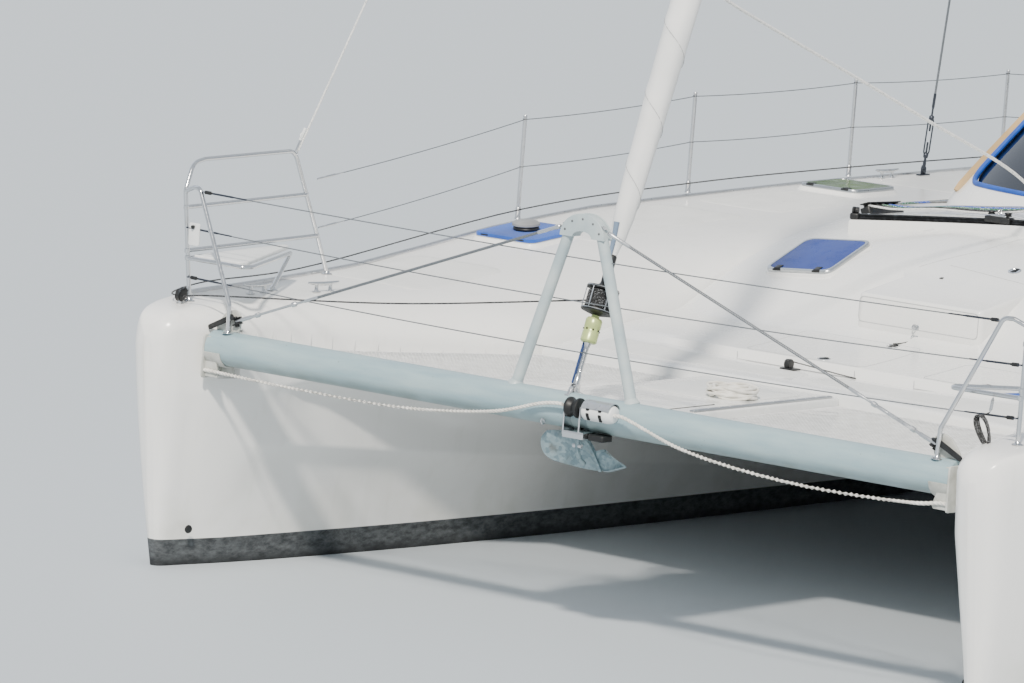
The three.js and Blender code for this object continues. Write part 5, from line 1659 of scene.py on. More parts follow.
def share(corners, first):
    """One hollow plate of the plough between the spine and its outer edge."""
    thick = 0.013
    edge = curved([*corners, tuple(SPINE[2])], 4)
    rings = []
    for k in range(len(edge) - 1):
        t = k / (len(edge) - 1)
        root = SPINE[first].lerp(SPINE[2], t)
        top = []
        for i in range(7):
            u = i / 6
            p = root.lerp(Vector(edge[k]), u)
            top.append(p + Vector((-0.045, 0, 0.012)) * math.sin(math.pi * u) * (1 - t))
        low = [p + Vector((-thick, 0, -thick * 0.6)) for p in top[::-1]]
        rings.append(top + low)
    return solid(rings)


def anchor():
    """A galvanised plough anchor hung askew under the roller: shank, spine rib and two hollow shares."""
    shape = Shape()
    for corners, first in zip(SHARES, (0, 1)):
        shape.add(share(corners, first))
    rib = curved([(5.535, 0.118, 1.1285), SPINE[0], SPINE[1], SPINE[2]], 8)
    shape.add(tube(rib, lambda t: 0.023 - 0.010 * t, 14, lambda a, k: 1.0 if abs(math.cos(a)) > 0.5 else 0.7))
    shape.add(tube([(5.53, 0.118, 1.129), (5.53, 0.118, 1.06), (5.50, 0.118, 1.01), (5.46, 0.118, 0.985)],
            0.014, 12))
    shape.add(rod((5.53, 0.090, 1.085), (5.53, 0.146, 1.085), 0.011), 1)
    shape.piece("plough_anchor", [ZINC, DULL_STEEL], "boat", "galvanised", ("anchor",))


LEAN = math.atan2(STAY_TOP.x - TACK.x, STAY_TOP.z - TACK.z)
ON_STAY = Matrix.Translation(TACK) @ Matrix.Rotation(LEAN, 4, "Y")
STAY_LENGTH = (STAY_TOP - TACK).length


def forestay():
    """Stay wire, its toggle and bare screw, and the lime bearing housing of the furler."""
    shape = Shape()
    toggle(shape, ON_STAY @ Matrix.Translation((0, 0, 0.012)), 0, 0.026)
    profile = [(0.012, 0.037), (0.018, 0.04), (0.018, 0.09), (0.0125, 0.1), (0.013, 0.14), (0.0125, 0.2),
            (0.013, 0.24), (0.0175, 0.26), (0.024, 0.276)]
    shape.add(turned(profile, 20), 0, ON_STAY)
    for k in range(15):
        z = 0.104 + 0.0092 * k
        shape.add(turned([(0.012, z), (0.0158, z + 0.003), (0.0158, z + 0.0052), (0.012, z + 0.0082)], 16),
                0, ON_STAY)
    body = [(0.020, 0.270), (0.038, 0.274), (0.045, 0.282), (0.045, 0.330), (0.0425, 0.334), (0.0425, 0.352),
            (0.045, 0.356), (0.045, 0.398), (0.038, 0.408), (0.022, 0.412), (0.022, 0.4238)]
    shape.add(turned(body, 36), 1, ON_STAY)
    for k in range(8):
        a = math.radians(45 * k)
        shape.add(rod((0.0435 * math.cos(a), 0.0435 * math.sin(a), 0.343),
                (0.047 * math.cos(a), 0.047 * math.sin(a), 0.343), 0.005), 2, ON_STAY)
    shape.add(turned([(0.006, 0.42), (0.006, STAY_LENGTH - 0.02)], 10), 0, ON_STAY)
    shape.add(turned([(0.011, STAY_LENGTH - 0.25), (0.011, STAY_LENGTH - 0.08), (0.006, STAY_LENGTH - 0.05)],
            14), 0, ON_STAY)
    shape.piece("stay_and_screw", [STEEL, LIME, SHADOW], "boat", "stainless", ("forestay",))
    strap = Shape()
    strap.add(box(-0.012, 0.014, -0.024, -0.0205, 0.045, 0.30, 0.0008, 0.004), 0, ON_STAY)
    strap.add(box(-0.013, 0.015, -0.0245, -0.020, 0.30, 0.33, 0.0008, 0.004), 1, ON_STAY)
    strap.piece("screw_lashing", [BLUE_CANVAS, ACETAL], "boat", "canvas")


def furler_drum():
    """The drum: two flanges joined by a wire cage, with the furling line wound between them."""
    shape = Shape()
    low = [(0.012, 0.4255), (0.030, 0.4265), (0.060, 0.434), (0.086, 0.441), (0.090, 0.447), (0.088, 0.456),
            (0.050, 0.458), (0.046, 0.462), (0.046, 0.556), (0.050, 0.560), (0.087, 0.563), (0.090, 0.570),
            (0.087, 0.579), (0.040, 0.586), (0.028, 0.596), (0.024, 0.606), (0.024, 0.755), (0.012, 0.7585)]
    shape.add(turned(low, 48), 0, ON_STAY)
    for k in range(6):
        a = math.radians(60 * k)
        x, y = 0.0865 * math.cos(a), 0.0865 * math.sin(a)
        shape.add(rod((x, y, 0.452), (x, y, 0.568), 0.0030, 8), 1, ON_STAY)
    for z in (0.450, 0.5725):
        shape.add(ring_form(0.0872, 0.0028, 40, 8), 1, ON_STAY @ Matrix.Translation((0, 0, z)))
    shape.piece("drum_cage", [ACETAL, STEEL], "furler", "black_plastic", ("furler_drum",))
    wound = []
    turns, count = 10, 18
    for layer, radius in ((0, 0.0495), (1, 0.0570), (2, 0.0645), (3, 0.0720)):
        for k in range(turns * count + 1):
            a = 2 * math.pi * k / count
            rise = 0.088 * (k / (turns * count))
            z = 0.466 + rise if layer % 2 == 0 else 0.554 - rise
            wound.append(ON_STAY @ Vector((radius * math.cos(a), radius * math.sin(a), z)))
    strands("furling_turns", [wound], 0.0040, BLACK_LINE, "furler")


def jib_radius(z):
    """Half thickness of the rolled sail at a distance up the stay."""
    rows = ((0.7605, 0.024), (0.80, 0.030), (0.86, 0.048), (1.0, 0.061), (1.2, 0.067), (2.2, 0.084),
            (4.0, 0.092), (7.0, 0.087), (10.0, 0.065), (12.7, 0.034), (STAY_LENGTH - 0.42, 0.022))
    for (z0, r0), (z1, r1) in zip(rows, rows[1:]):
        if z <= z1:
            t = (z - z0) / (z1 - z0)
            t = t * t * (3 - 2 * t) if z1 < 1.3 else t
            return r0 + (r1 - r0) * t
    return rows[-1][1]


def furled_jib():
    """The sail rolled on its stay: each wrap ends in a slanting edge, and the cloth is pulled in between."""
    rise = 0.40
    top = STAY_LENGTH - 0.42
    sides = 40
    levels = [0.7605, 0.765, 0.78]
    while levels[-1] < 4.6:
        levels.append(levels[-1] + 0.02)
    while levels[-1] < top - 0.1:
        levels.append(levels[-1] + 0.1)
    levels.append(top)
    rings = []
    for z in levels:
        ring = []
        for i in range(sides):
            a = 2 * math.pi * i / sides
            phase = (a / (2 * math.pi) + z / rise) % 1
            lip = 0.0042 * max(0.0, 1 - phase / 0.16) if phase < 0.5 else 0.0
            slack = 0.0016 * math.sin(5 * a + z * 3.1) * math.sin(z * 2.3 + a)
            r = jib_radius(z) - 0.003 + min(1, (z - 0.76) / 0.2) * (lip + slack)
            ring.append(Vector((r * math.cos(a), r * math.sin(a), z)))
        rings.append(ring)
    shape = Shape().add(solid(rings), 0, ON_STAY)
    shape.piece("rolled_sail", [SAILCLOTH], "furler", "sailcloth", ("furled_jib",), 60)
    edge = []
    z = 0.86
    while z < 9:
        a = -2 * math.pi * z / rise
        r = jib_radius(z) + 0.0012
        edge.append(ON_STAY @ Vector((r * math.cos(a), r * math.sin(a), z)))
        z += rise / 36
    strands("leech_seam", [edge], 0.0011, SEAM, "furler", (), 5)
    strap = [ON_STAY @ Vector(p) for p in ((0.03, 0.0, 0.70), (0.034, 0.004, 0.77), (0.046, 0.008, 0.85),
            (0.058, 0.006, 0.93))]
    band = Shape().add(tube(curved(strap, 6), lambda t: 0.008 + 0.008 * t, 12))
    band.add(ring_form(0.016, 0.004, 16, 8), 1, ON_STAY @ at(0.034, 0.0, 0.70, math.pi / 2, "X"))
    band.piece("tack_strap", [GREY_STRAP, STEEL], "furler", "stainless")


# Ropes that hang free: the same routes as the frame's
BRIDLES = {
    "starboard": ((5.530, -2.4568, 1.130), (5.531, -2.400, 1.129), (5.560, -1.800, 1.120),
        (5.566, -1.000, 1.128),
                  (5.570, -0.400, 1.200), (5.580, -0.100, 1.285), (5.585, 0.000, 1.300), (5.585, 0.0392,
                      1.300)),
    "port": ((5.600, 0.391, 1.290), (5.601, 0.440, 1.289), (5.650, 0.900, 1.180), (5.630, 1.600, 1.110),
             (5.560, 2.300, 1.115), (5.531, 2.410, 1.129), (5.530, 2.4568, 1.130)),
}


def bridle(name):
    """One leg of the bridle, a free rope."""
    path = curved(BRIDLES[name], 24)
    data = grown(LAID, lines_mesh([path]), Radius=0.0112, Lay=0.075, Finish=ROPE)
    rope = settle(data, f"bridle_rope_{name}", "boat", (f"bridle_{name}",))


crossbeam()
striker_frame()
catwalk()
anchor_roller()
anchor()
forestay()
furler_drum()
furled_jib()
for NAME, SIDE in SIDES:
    beam_bracket(NAME, SIDE)
    striker_stay(NAME, SIDE)
    pulpit(NAME, SIDE)
    bow_net(NAME, SIDE)
    bridle(NAME)


# Deck gear

def hull_deck(x, y):
    """Height of the side deck and gunwale at a place on the port hull."""
    out, deck = section(x, "out"), section(x, "deck")
    over = (abs(y) - HULL_Y) / out
    if over > 0.7:
        return deck - 0.17 * (1 - math.sqrt(max(0.0, 1 - ((over - 0.7) / 0.3) ** 2)))
    flat, inn = min(0.2, 0.35 * section(x, "inn")), section(x, "inn")
    t = (HULL_Y - abs(y) - flat) / (inn - flat)
    if t <= 0:
        return deck
    return deck - (deck - section(x, "edge")) * (1 - math.sqrt(max(0.0, 1 - min(t, 1) ** 2)))


def top_at(x, y):
    return deck_height(x, y) if abs(y) < WING_Y else hull_deck(x, y)


def patch(corners, height, lift=0.0012, radius=0.12, step=0.08):
    """A thin sheet with round corners laid on a surface. corners run round its plan."""
    plan = rounded(corners, radius, 8)
    centre = Vector((sum(p[0] for p in plan) / len(plan), sum(p[1] for p in plan) / len(plan)))
    dense = []
    for i, (x, y) in enumerate(plan):
        x0, y0 = plan[i - 1]
        count = max(1, math.ceil(math.hypot(x - x0, y - y0) / step))
        dense += [(x0 + (x - x0) * k / count, y0 + (y - y0) * k / count) for k in range(1, count + 1)]
    reach = max(math.hypot(x - centre.x, y - centre.y) for x, y in dense)
    steps = max(3, math.ceil(reach / step))
    rings = [[Vector((x, y, height(x, y) - 0.004)) for x, y in dense]]
    for k in range(steps):
        share = 1 - k / steps
        rings.append([Vector((centre.x + (x - centre.x) * share, centre.y + (y - centre.y) * share, 0))
                for x, y in dense])
        for p in rings[-1]:
            p.z = height(p.x, p.y) + (lift * 0.5 if k == 0 else lift)
        if k == 0:
            rings.append([p.copy() for p in rings[-1]])
            for p, (x, y) in zip(rings[-1], inset(dense, 0.0015)):
                p.x, p.y, p.z = x, y, height(x, y) + lift
    low = [Vector((centre.x + (p.x - centre.x) * 0.02, centre.y + (p.y - centre.y) * 0.02, p.z))
            for p in rings[-1]]
    rings.append(low)
    base = [p - Vector((0, 0, 0.003)) for p in low]
    for p in base:
        p.z = height(p.x, p.y) - 0.004
    rings.append(base)
    steps_back = [[Vector((p.x, p.y, height(p.x, p.y) - 0.004)) for p in ring] for ring in rings[3:-2]]
    rings += steps_back[::-1]
    points, faces = loft(rings, False)
    count, last = len(dense), (len(rings) - 1) * len(dense)
    for i in range(count):
        j = (i + 1) % count
        faces.append((last + i, last + j, j, i))
    return outward((points, faces))


def ground(points, lift=0.0, height=None):
    """Plan points laid on the deck."""
    height = height or top_at
    return [Vector((x, y, height(x, y) + lift)) for x, y in points]


def seams(name, routes, finish, body="boat", radius=0.0016, height=None):
    """Narrow joints between mouldings, drawn on the deck from plan routes."""
    paths = []
    for route in routes:
        path = []
        for (x0, y0), (x1, y1) in zip(route, route[1:]):
            count = max(1, math.ceil(math.hypot(x1 - x0, y1 - y0) / 0.06))
            path += [(x0 + (x1 - x0) * k / count, y0 + (y1 - y0) * k / count) for k in range(count)]
        path.append(route[-1])
        paths.append(ground(path, 0.0002, height))
    return strands(name, paths, radius, finish, body, (), 6)


def loop(x0, x1, y0, y1, radius=0.05):
    plan = panel(x0, x1, y0, y1, radius, 4)
    return [*plan, plan[0]]


def shrunk(plan, depth, length, width):
    """The plan of a lid pulled in towards its middle."""
    return [(x * (1 - 2 * depth / length), y * (1 - 2 * depth / width)) for x, y in plan]


def hatch_lid(hatch, name, side):
    """A hatch's lid: extruded frame, lens or cover, and hinges ahead. It lies on the rim."""
    kind, length, width, lift = hatch["name"], hatch["length"], hatch["width"], hatch["rise"]
    shape = Shape()
    z = lift + GAP
    half_x, half_y = length / 2, width / 2
    plan = panel(-half_x, half_x, -half_y, half_y, 0.065, 8)
    # The forward hatch's blue is painted sky reflection.
    covered = kind == "hatch_forward"
    glass = GREEN_LENS if kind == "hatch_middle" else BLUE_LENS
    finishes = [FRAME_ALU, BLUE_COVER if covered else glass, ACETAL, STEEL]

    def rings_of(rows):
        return [[Vector((x, y, z + h)) for x, y in shrunk(plan, depth, length, width)] for depth, h in rows]

    frame = rings_of(((0.028, 0), (0.003, 0), (0.0, 0.003), (0.0, 0.014), (0.003, 0.020), (0.012, 0.0225),
            (0.018, 0.0215), (0.0195, 0.017), (0.028, 0.017)))
    points, faces = loft(frame, False)
    count, last = len(plan), (len(frame) - 1) * len(plan)
    faces += [(last + i, last + (i + 1) % count, (i + 1) % count, i) for i in range(count)]
    shape.add(outward((points, faces)))
    if covered:
        rows = ((0.001, 0.004), (-0.001, 0.005), (-0.001, 0.016), (0.002, 0.0235), (0.014, 0.0265),
                (0.06, 0.0272), (0.12, 0.0275), (0.2, 0.0276))
    else:
        rows = ((0.0205, 0.006), (0.0205, 0.019), (0.0215, 0.0205), (0.05, 0.0212), (0.12, 0.0218),
                (0.2, 0.022))
    shape.add(solid(rings_of(rows)), 1)
    hinge_x = half_x - 0.006
    for y in (-width * 0.3, width * 0.3):
        shape.add(rod((hinge_x, y - 0.028, z + 0.014), (hinge_x, y + 0.028, z + 0.014), 0.008), 2)
        shape.add(box(hinge_x - 0.045, hinge_x, y - 0.02, y + 0.02, z + 0.0205, z + 0.0255, 0.002), 2)
    if covered:
        shape.add(turned([(0.012, 0.024), (0.020, 0.0265), (0.019, 0.0285), (0.008, 0.029)], 20), 3,
                at(0.05 - half_x, 0.10 * side, z - 0.002))
    place = hatch_place(hatch, side)
    shape.points = [place @ p for p in shape.points]
    node = f"{kind}_{name}"
    shape.piece(f"{node}_lid", finishes, node, "hatch_cover" if covered else "hatch_lens", (node,), 30)
    if covered:
        vent = Shape()
        vent.add(turned([(0.05, 0.026), (0.070, 0.027), (0.076, 0.032), (0.078, 0.040), (0.074, 0.050),
                (0.040, 0.052)], 40), 0)
        vent.add(turned([(0.04, 0.053), (0.076, 0.054), (0.084, 0.058), (0.082, 0.070), (0.070, 0.080),
                (0.046, 0.087), (0.018, 0.090)], 40), 1)
        for k in range(10):
            a = 2 * math.pi * k / 10
            vent.add(box(0.060, 0.074, -0.006, 0.006, 0.050, 0.057, 0.001), 0, at(0, 0, 0, a))
        vent.points = [place @ (p + Vector((0.02, 0, z - 0.0005))) for p in vent.points]
        vent.piece(f"mushroom_vent_{name}", [ACETAL, GREY_PLASTIC], node, "black_plastic")


def cleat(x, y, heading=0.0, length=0.24):
    """A horn cleat on two posts."""
    shape = Shape()
    z = top_at(x, y)
    place = at(x, y, z, heading)
    for s in (1, -1):
        shape.add(slab(panel(-0.026, 0.026, -0.018, 0.018, 0.016, 5), 0, 0.006, 0.002, 2), 0,
                place @ at(s * 0.055, 0, -0.0005))
        shape.add(turned([(0.015, 0.004), (0.0115, 0.012), (0.0105, 0.032), (0.012, 0.045)], 16), 0,
                place @ at(s * 0.055, 0, 0))
    half = length / 2
    horn = [Vector((-half + length * k / 20, 0, 0.046 + 0.008 * (abs(2 * k / 20 - 1)) ** 2))
            for k in range(21)]
    shape.add(tube(horn, lambda t: 0.0055 + 0.0062 * (1 - abs(2 * t - 1) ** 2.2), 14), 0, place)
    return shape


def cleats():
    """Mooring cleats on both side decks."""
    shape = Shape()
    for _, side in SIDES:
        for x, y, heading in ((4.82, 2.70, 0.05), (4.42, 2.55, 0.1), (-1.90, 3.07, 0.03), (-4.15, 3.10, 0.0)):
            shape.join(cleat(x, side * y, side * heading))
    shape.piece("deck_cleats", [STEEL], "boat", "stainless")


STANCHIONS = (1.95, 0.2, -1.55, -3.3)


RAIL_WIDTH, RAIL_HEIGHT = 0.026, 0.019


def rail_y(x):
    """Outer edge of the toe rail, where the gunwale starts to round."""
    return HULL_Y + straight(x, "out") * 0.69


def toe_rail(name, side):
    """Low aluminium toe rail along the sheer, with stanchions in sockets."""
    rings = []
    stations = spread(5.2, -4.3, 0.15)
    width, height = RAIL_WIDTH, RAIL_HEIGHT
    for x in stations:
        y = rail_y(x)
        z = straight(x, "deck") + GAP
        ring = [(y, z), (y, z + height * 0.55), (y - 0.003, z + height - 0.002), (y - 0.007, z + height),
                (y - width + 0.007, z + height), (y - width + 0.003, z + height - 0.002),
                (y - width, z + height * 0.55), (y - width, z)]
        rings.append([Vector((x, py, pz)) for py, pz in ring])
    shape = Shape().add(solid(rings))
    shape.mirrored(side).piece(f"toe_rail_strip_{name}", [DULL_STEEL], "boat", "black_plastic",
            (f"toe_rail_{name}",))
    posts = Shape()
    for x in STANCHIONS:
        y = rail_y(x) - width / 2
        z = straight(x, "deck") + 0.01
        posts.add(turned([(0.011, 0.016), (0.0125, 0.018), (0.0125, 0.604), (0.0105, 0.606), (0.0105, 0.622),
                (0.0125, 0.624), (0.0125, 0.634), (0.0095, 0.6395), (0.004, 0.640)], 18), 0, at(x, y, z))
        posts.add(turned([(0.018, 0.0165), (0.021, 0.018), (0.019, 0.024), (0.0165, 0.030), (0.0160, 0.085),
                (0.0142, 0.088)], 18), 0, at(x, y, z))
        for h in (0.33, 0.615):
            posts.add(ring_form(0.0128, 0.0022, 16, 6), 1, at(x, y, z + h))
    posts.mirrored(side).piece(f"stanchions_{name}", [DULL_STEEL, ACETAL], "boat", "stainless")


def stanchion_point(x, height):
    return Vector((x, rail_y(x) - RAIL_WIDTH / 2, straight(x, "deck") + 0.01 + height))


def lifelines(name, side):
    """Two guard wires from the pulpit along the stanchions to the quarter."""
    paths = []
    quarter = Vector((-4.9, HULL_Y + 0.33, 2.46))
    for height, start in ((0.612, Vector((4.03, 2.963, 2.07))), (0.33, Vector((4.0, 2.955, 1.79)))):
        knots = [start, *[stanchion_point(x, height) for x in STANCHIONS]]
        knots.append(quarter if height > 0.5 else quarter - Vector((0, 0, 0.29)))
        path = []
        for a, b in zip(knots, knots[1:]):
            for k in range(12):
                t = k / 12
                path.append(a.lerp(b, t) - Vector((0, 0, 0.014 * 4 * t * (1 - t))))
        path.append(knots[-1])
        paths.append([(p.x, side * p.y, p.z) for p in path])
    strands(f"guard_wires_{name}", paths, 0.0028, STRAND, "boat")
    shape = Shape()
    for path in paths:
        place = toward(path[0], path[1])
        shape.add(turned([(0.004, 0), (0.006, 0.004), (0.0065, 0.05), (0.0045, 0.06), (0.0045, 0.075),
                (0.0075, 0.08), (0.0075, 0.17), (0.0045, 0.18), (0.0035, 0.25)], 12), 0, place)
    quarter_rail = bent([(-5.35, 2.98, 1.84), (-5.35, 2.98, 2.48), (-4.9, 3.05, 2.48), (-4.88, 3.05, 1.86)],
            0.08, 8)
    shape.join(Shape().add(tube([(p.x, side * p.y, p.z) for p in quarter_rail], 0.0125, 14)))
    shape.join(Shape().add(tube([(-5.35, side * 2.98, 2.17), (-4.89, side * 3.05, 2.17)], 0.0125, 14)))
    for x, y in ((-5.35, 2.98), (-4.88, 3.05)):
        z = hull_deck(x, y)
        shape.add(turned([(0.006, 0), (0.030, 0), (0.032, 0.003), (0.018, 0.007), (0.0145, 0.02)], 20), 0,
                at(x, side * y, z - 0.002))
    shape.piece(f"quarter_rail_{name}", [STEEL], "boat", "stainless")


def jib_track():
    """Curved track with its screws, end stops and a ball-bearing car."""
    shape = Shape()
    steps, half = 60, math.radians(16)
    section_plan = [(-0.022, 0), (-0.022, 0.006), (-0.013, 0.009), (-0.012, 0.020), (-0.019, 0.024),
            (-0.020, 0.031), (-0.016, 0.0337), (0.016, 0.0337), (0.020, 0.031), (0.019, 0.024),
            (0.012, 0.020), (0.013, 0.009), (0.022, 0.006), (0.022, 0)]
    rings = []
    for i in range(steps + 1):
        a = half * (2 * i / steps - 1)
        rings.append([Vector((TACK.x - (TRACK_R + r) * math.cos(a), (TRACK_R + r) * math.sin(a),
                track_z(TRACK_R * math.sin(a)) + z)) for r, z in section_plan])
    shape.add(solid(rings))
    shape.piece("curved_track", [TRACK_BLACK], "boat", "black_plastic", ("jib_track",))
    spots = []
    for i in range(15):
        a = half * (2 * (i + 0.5) / 15 - 1)
        y = TRACK_R * math.sin(a)
        spots.append(at(TACK.x - TRACK_R * math.cos(a), y, track_z(y) + 0.0335))
    fittings("curved_track_screws", dome_screw(0.0095, 0.003), spots, STEEL, "boat")
    gear = Shape()
    for s in (1, -1):
        a = s * math.radians(16.0)
        y = TRACK_R * math.sin(a)
        place = at(TACK.x - TRACK_R * math.cos(a), y, track_z(y) - 0.001, -a)
        gear.add(box(-0.030, 0.030, -0.028, 0.028, 0, 0.040, 0.010, 0.014), 0, place)
        gear.add(turned([(0.012, -0.02), (0.020, -0.018), (0.021, -0.004), (0.013, 0), (0.021, 0.004),
                (0.020, 0.018), (0.012, 0.02)], 20), 0, place @ at(0.0, 0.0, 0.055, math.pi / 2, "X"))
    y = -0.34
    a = math.asin(y / TRACK_R)
    car = at(TACK.x - TRACK_R * math.cos(a), y, track_z(y), -a)
    gear.add(box(-0.036, 0.036, -0.085, 0.085, 0.010, 0.046, 0.006, 0.014), 0, car)
    gear.add(box(-0.026, 0.026, -0.055, 0.055, 0.044, 0.058, 0.005, 0.01), 1, car)
    for y in (-0.055, 0.055):
        gear.add(turned([(0.010, 0.040), (0.021, 0.041), (0.023, 0.047), (0.017, 0.052), (0.023, 0.057),
                (0.021, 0.063), (0.008, 0.065)], 24), 0, car @ at(0, y, 0.012))
    gear.add(ring_form(0.017, 0.004, 20, 8), 1, car @ at(0, 0, 0.072, math.pi / 2, "X"))
    gear.piece("track_car", [ACETAL, STEEL], "boat", "black_plastic")


def track_z(y):
    return camber(y) + GAP


def organiser(name, side):
    """Deck organiser ahead of the coachroof's corner, and the lines that it turns aft along the side deck."""
    x, y = 0.31, side * 1.60
    z = top_at(x, y) + 0.03
    tilt = math.atan2(top_at(x, y + 0.05) - top_at(x, y - 0.05), 0.1)
    place = at(x, y, z - 0.001, tilt, "X") @ at(0, 0, 0.002, math.pi / 2 - side * 0.09)
    shape = Shape()
    for z0, z1, half in ((-0.05, 0.009, 0.036), (0.030, 0.036, 0.032)):
        plate = panel(-half, half, -0.21, 0.21, 0.02, 5)
        shape.add(slab(plate, z0, z1, 0.002, 2), 0, place)
    lines = ((-0.165, GREY_LINE), (-0.083, BLUE_LINE), (0.0, GREEN_LINE), (0.083, BLACK_LINE),
            (0.165, WHITE_LINE))
    sheave = [(0.008, 0.009), (0.027, 0.010), (0.022, 0.0195), (0.027, 0.029), (0.008, 0.030)]
    for offset, _ in lines:
        shape.add(turned(sheave, 24), 0, place @ at(0, offset, 0))
        shape.add(turned([(0.004, 0.036), (0.009, 0.037), (0.008, 0.041), (0.003, 0.042)], 12), 1,
                place @ at(0, offset, 0))
    shape.piece(f"organiser_{name}", [ACETAL, STEEL], "boat", "black_plastic")
    for k, (offset, finish) in enumerate(lines):
        p = place @ Vector((0.0, offset * side, 0.02))
        mast_foot = Vector((MAST_X - 0.02 + 0.03 * k, side * 0.11, MAST_FOOT + 0.03))
        lane = side * (1.60 + 0.055 * k)
        route = [mast_foot]
        for share in (0.3, 0.6, 0.85):
            q = mast_foot.lerp(p, share)
            route.append(Vector((q.x, q.y, top_at(q.x, q.y) + 0.03)))
        route.append(p)
        for lx, ly in ((p.x - 0.45, p.y + side * 0.29), (p.x - 0.88, p.y + side * 0.55),
                (-1.4, side * 2.0 + 0.03 * side * k), (-2.2, lane + side * 0.08), (-2.9, lane)):
            route.append(Vector((lx, ly, top_at(lx, ly) + 0.010)))
        strands(f"led_line_{k}_{name}", [curved(route, 8)], 0.0062, finish, "boat")


def foredeck_detail():
    """Lids and their joints on the foredeck, the locker's panel, flush handles, pad eyes and a lead block."""
    routes = [loop(2.36, 2.965, -0.66, 0.14), loop(2.50, 2.965, 0.54, 1.30),
            [(1.66, -0.40), (1.32, -0.20), (1.02, -0.12)], [(1.585, -0.24), (1.672, 0.33),
            (1.60, 0.42)], [(1.092, -0.773), (0.93, -0.62), (0.78, -0.47)]]
    seams("foredeck_joints", routes, GREY_SEAM)
    front = LOCKER["x"] + 0.0004
    outline = panel(-0.405, 0.405, 1.512, 1.655, 0.03, 5)
    lines = [[(front, y, z) for y, z in [*outline, outline[0]]]]
    step = 3.0305
    for y0, y1 in ((-0.66, 0.14), (0.54, 1.30)):
        lines.append([(step, y0, 1.345), (step, y0, 1.303), (step, y1, 1.303), (step, y1, 1.345)])
    strands("locker_joints", lines, 0.0022, GREY_SEAM, "boat", (), 6)
    shape = Shape()
    for x, y in ((2.903, -0.158), (2.392, -0.045), (2.90, 0.93), (1.532, 0.168)):
        z = max(top_at(x, y), LOCKER["front"] + LOCKER["slope"] * (LOCKER["x"] - x) if 1.67 < x < 2.23 else 0)
        tilt = math.atan2(top_at(x - 0.05, y) - top_at(x + 0.05, y), 0.1)
        place = at(x, y, z, tilt, "Y")
        shape.add(turned([(0.036, -0.002), (0.040, 0.0), (0.039, 0.003), (0.032, 0.0035), (0.030, 0.001),
                (0.010, 0.001)], 28), 0, place)
        shape.add(box(-0.030, 0.030, -0.012, 0.012, 0.0, 0.006, 0.002), 1, place)
    latch = at(1.70, -0.186, 1.7605, math.atan(LOCKER["slope"]), "Y")
    shape.add(box(-0.05, 0.05, -0.012, 0.012, 0, 0.010, 0.003), 1, latch)
    for z in (1.526, 1.466):
        eye = toward((front - 0.002, -0.01, z), (front + 1, -0.01, z))
        shape.add(slab(panel(-0.022, 0.022, -0.014, 0.014, 0.008, 4), -0.002, 0.005, 0.001), 0, eye)
        shape.add(ring_form(0.016, 0.0035, 20, 8), 0, eye @ at(0, 0, 0.016, 1.2, "Y"))
    block = at(3.078, -0.261, 1.2975)
    shape.add(box(-0.04, 0.04, -0.05, 0.05, 0, 0.010, 0.004, 0.014), 1, block)
    shape.add(turned([(0.010, -0.018), (0.026, -0.017), (0.028, 0), (0.026, 0.017), (0.010, 0.018)], 28), 1,
            block @ at(0, -0.01, 0.032, math.pi / 2, "X"))
    shape.add(box(-0.026, 0.026, -0.024, 0.004, 0.008, 0.058, 0.008, 0.014), 1, block)
    shape.piece("foredeck_fittings", [STEEL, ACETAL], "boat", "stainless")
    line = curved([(3.078, -0.245, 1.345), (3.07, -0.12, 1.333), (3.055, 0.05, 1.315),
            (3.034, 0.155, 1.3045)], 8)
    lead = curved([(front + 0.018, -0.012, 1.462), (front + 0.05, -0.02, 1.446), (2.33, -0.035, 1.437),
            (2.39, -0.045, 1.437)], 6)
    strands("foredeck_line", [line, lead], 0.0035, BLACK_LINE, "boat")


def nonskid_panels():
    """Moulded non-skid areas, a little proud of the shiny margins round them."""
    shape = Shape()
    for y0, y1 in ((-1.45, -0.06), (0.06, 1.45)):
        shape.add(patch([(3.12, y0), (3.42, y0), (3.42, y1), (3.12, y1)], deck_height, 0.0012))
    for _, side in SIDES:
        for x0, x1 in ((3.9, 3.05), (2.1, 0.6), (0.3, -0.75), (-1.65, -3.15), (-3.4, -4.35)):
            inner, outer = (2.30, 2.98) if x0 > 3 else (2.36, 3.0)
            corners = [(x1, side * inner), (x0, side * inner), (x0, side * outer), (x1, side * outer)]
            shape.add(patch(corners, hull_deck, 0.0012))
    shape.piece("nonskid_areas", [NONSKID], "boat", "gelcoat")


def hull_side(x, z):
    """Place across the boat of the port hull's outboard topside at a height."""
    wl, out, low = section(x, "wl"), section(x, "out"), section(x, "deck") - 0.17
    t = max(0.0, min(1.0, z / low))
    return HULL_Y + wl + (out - wl) * (1 - (1 - t) ** 2)


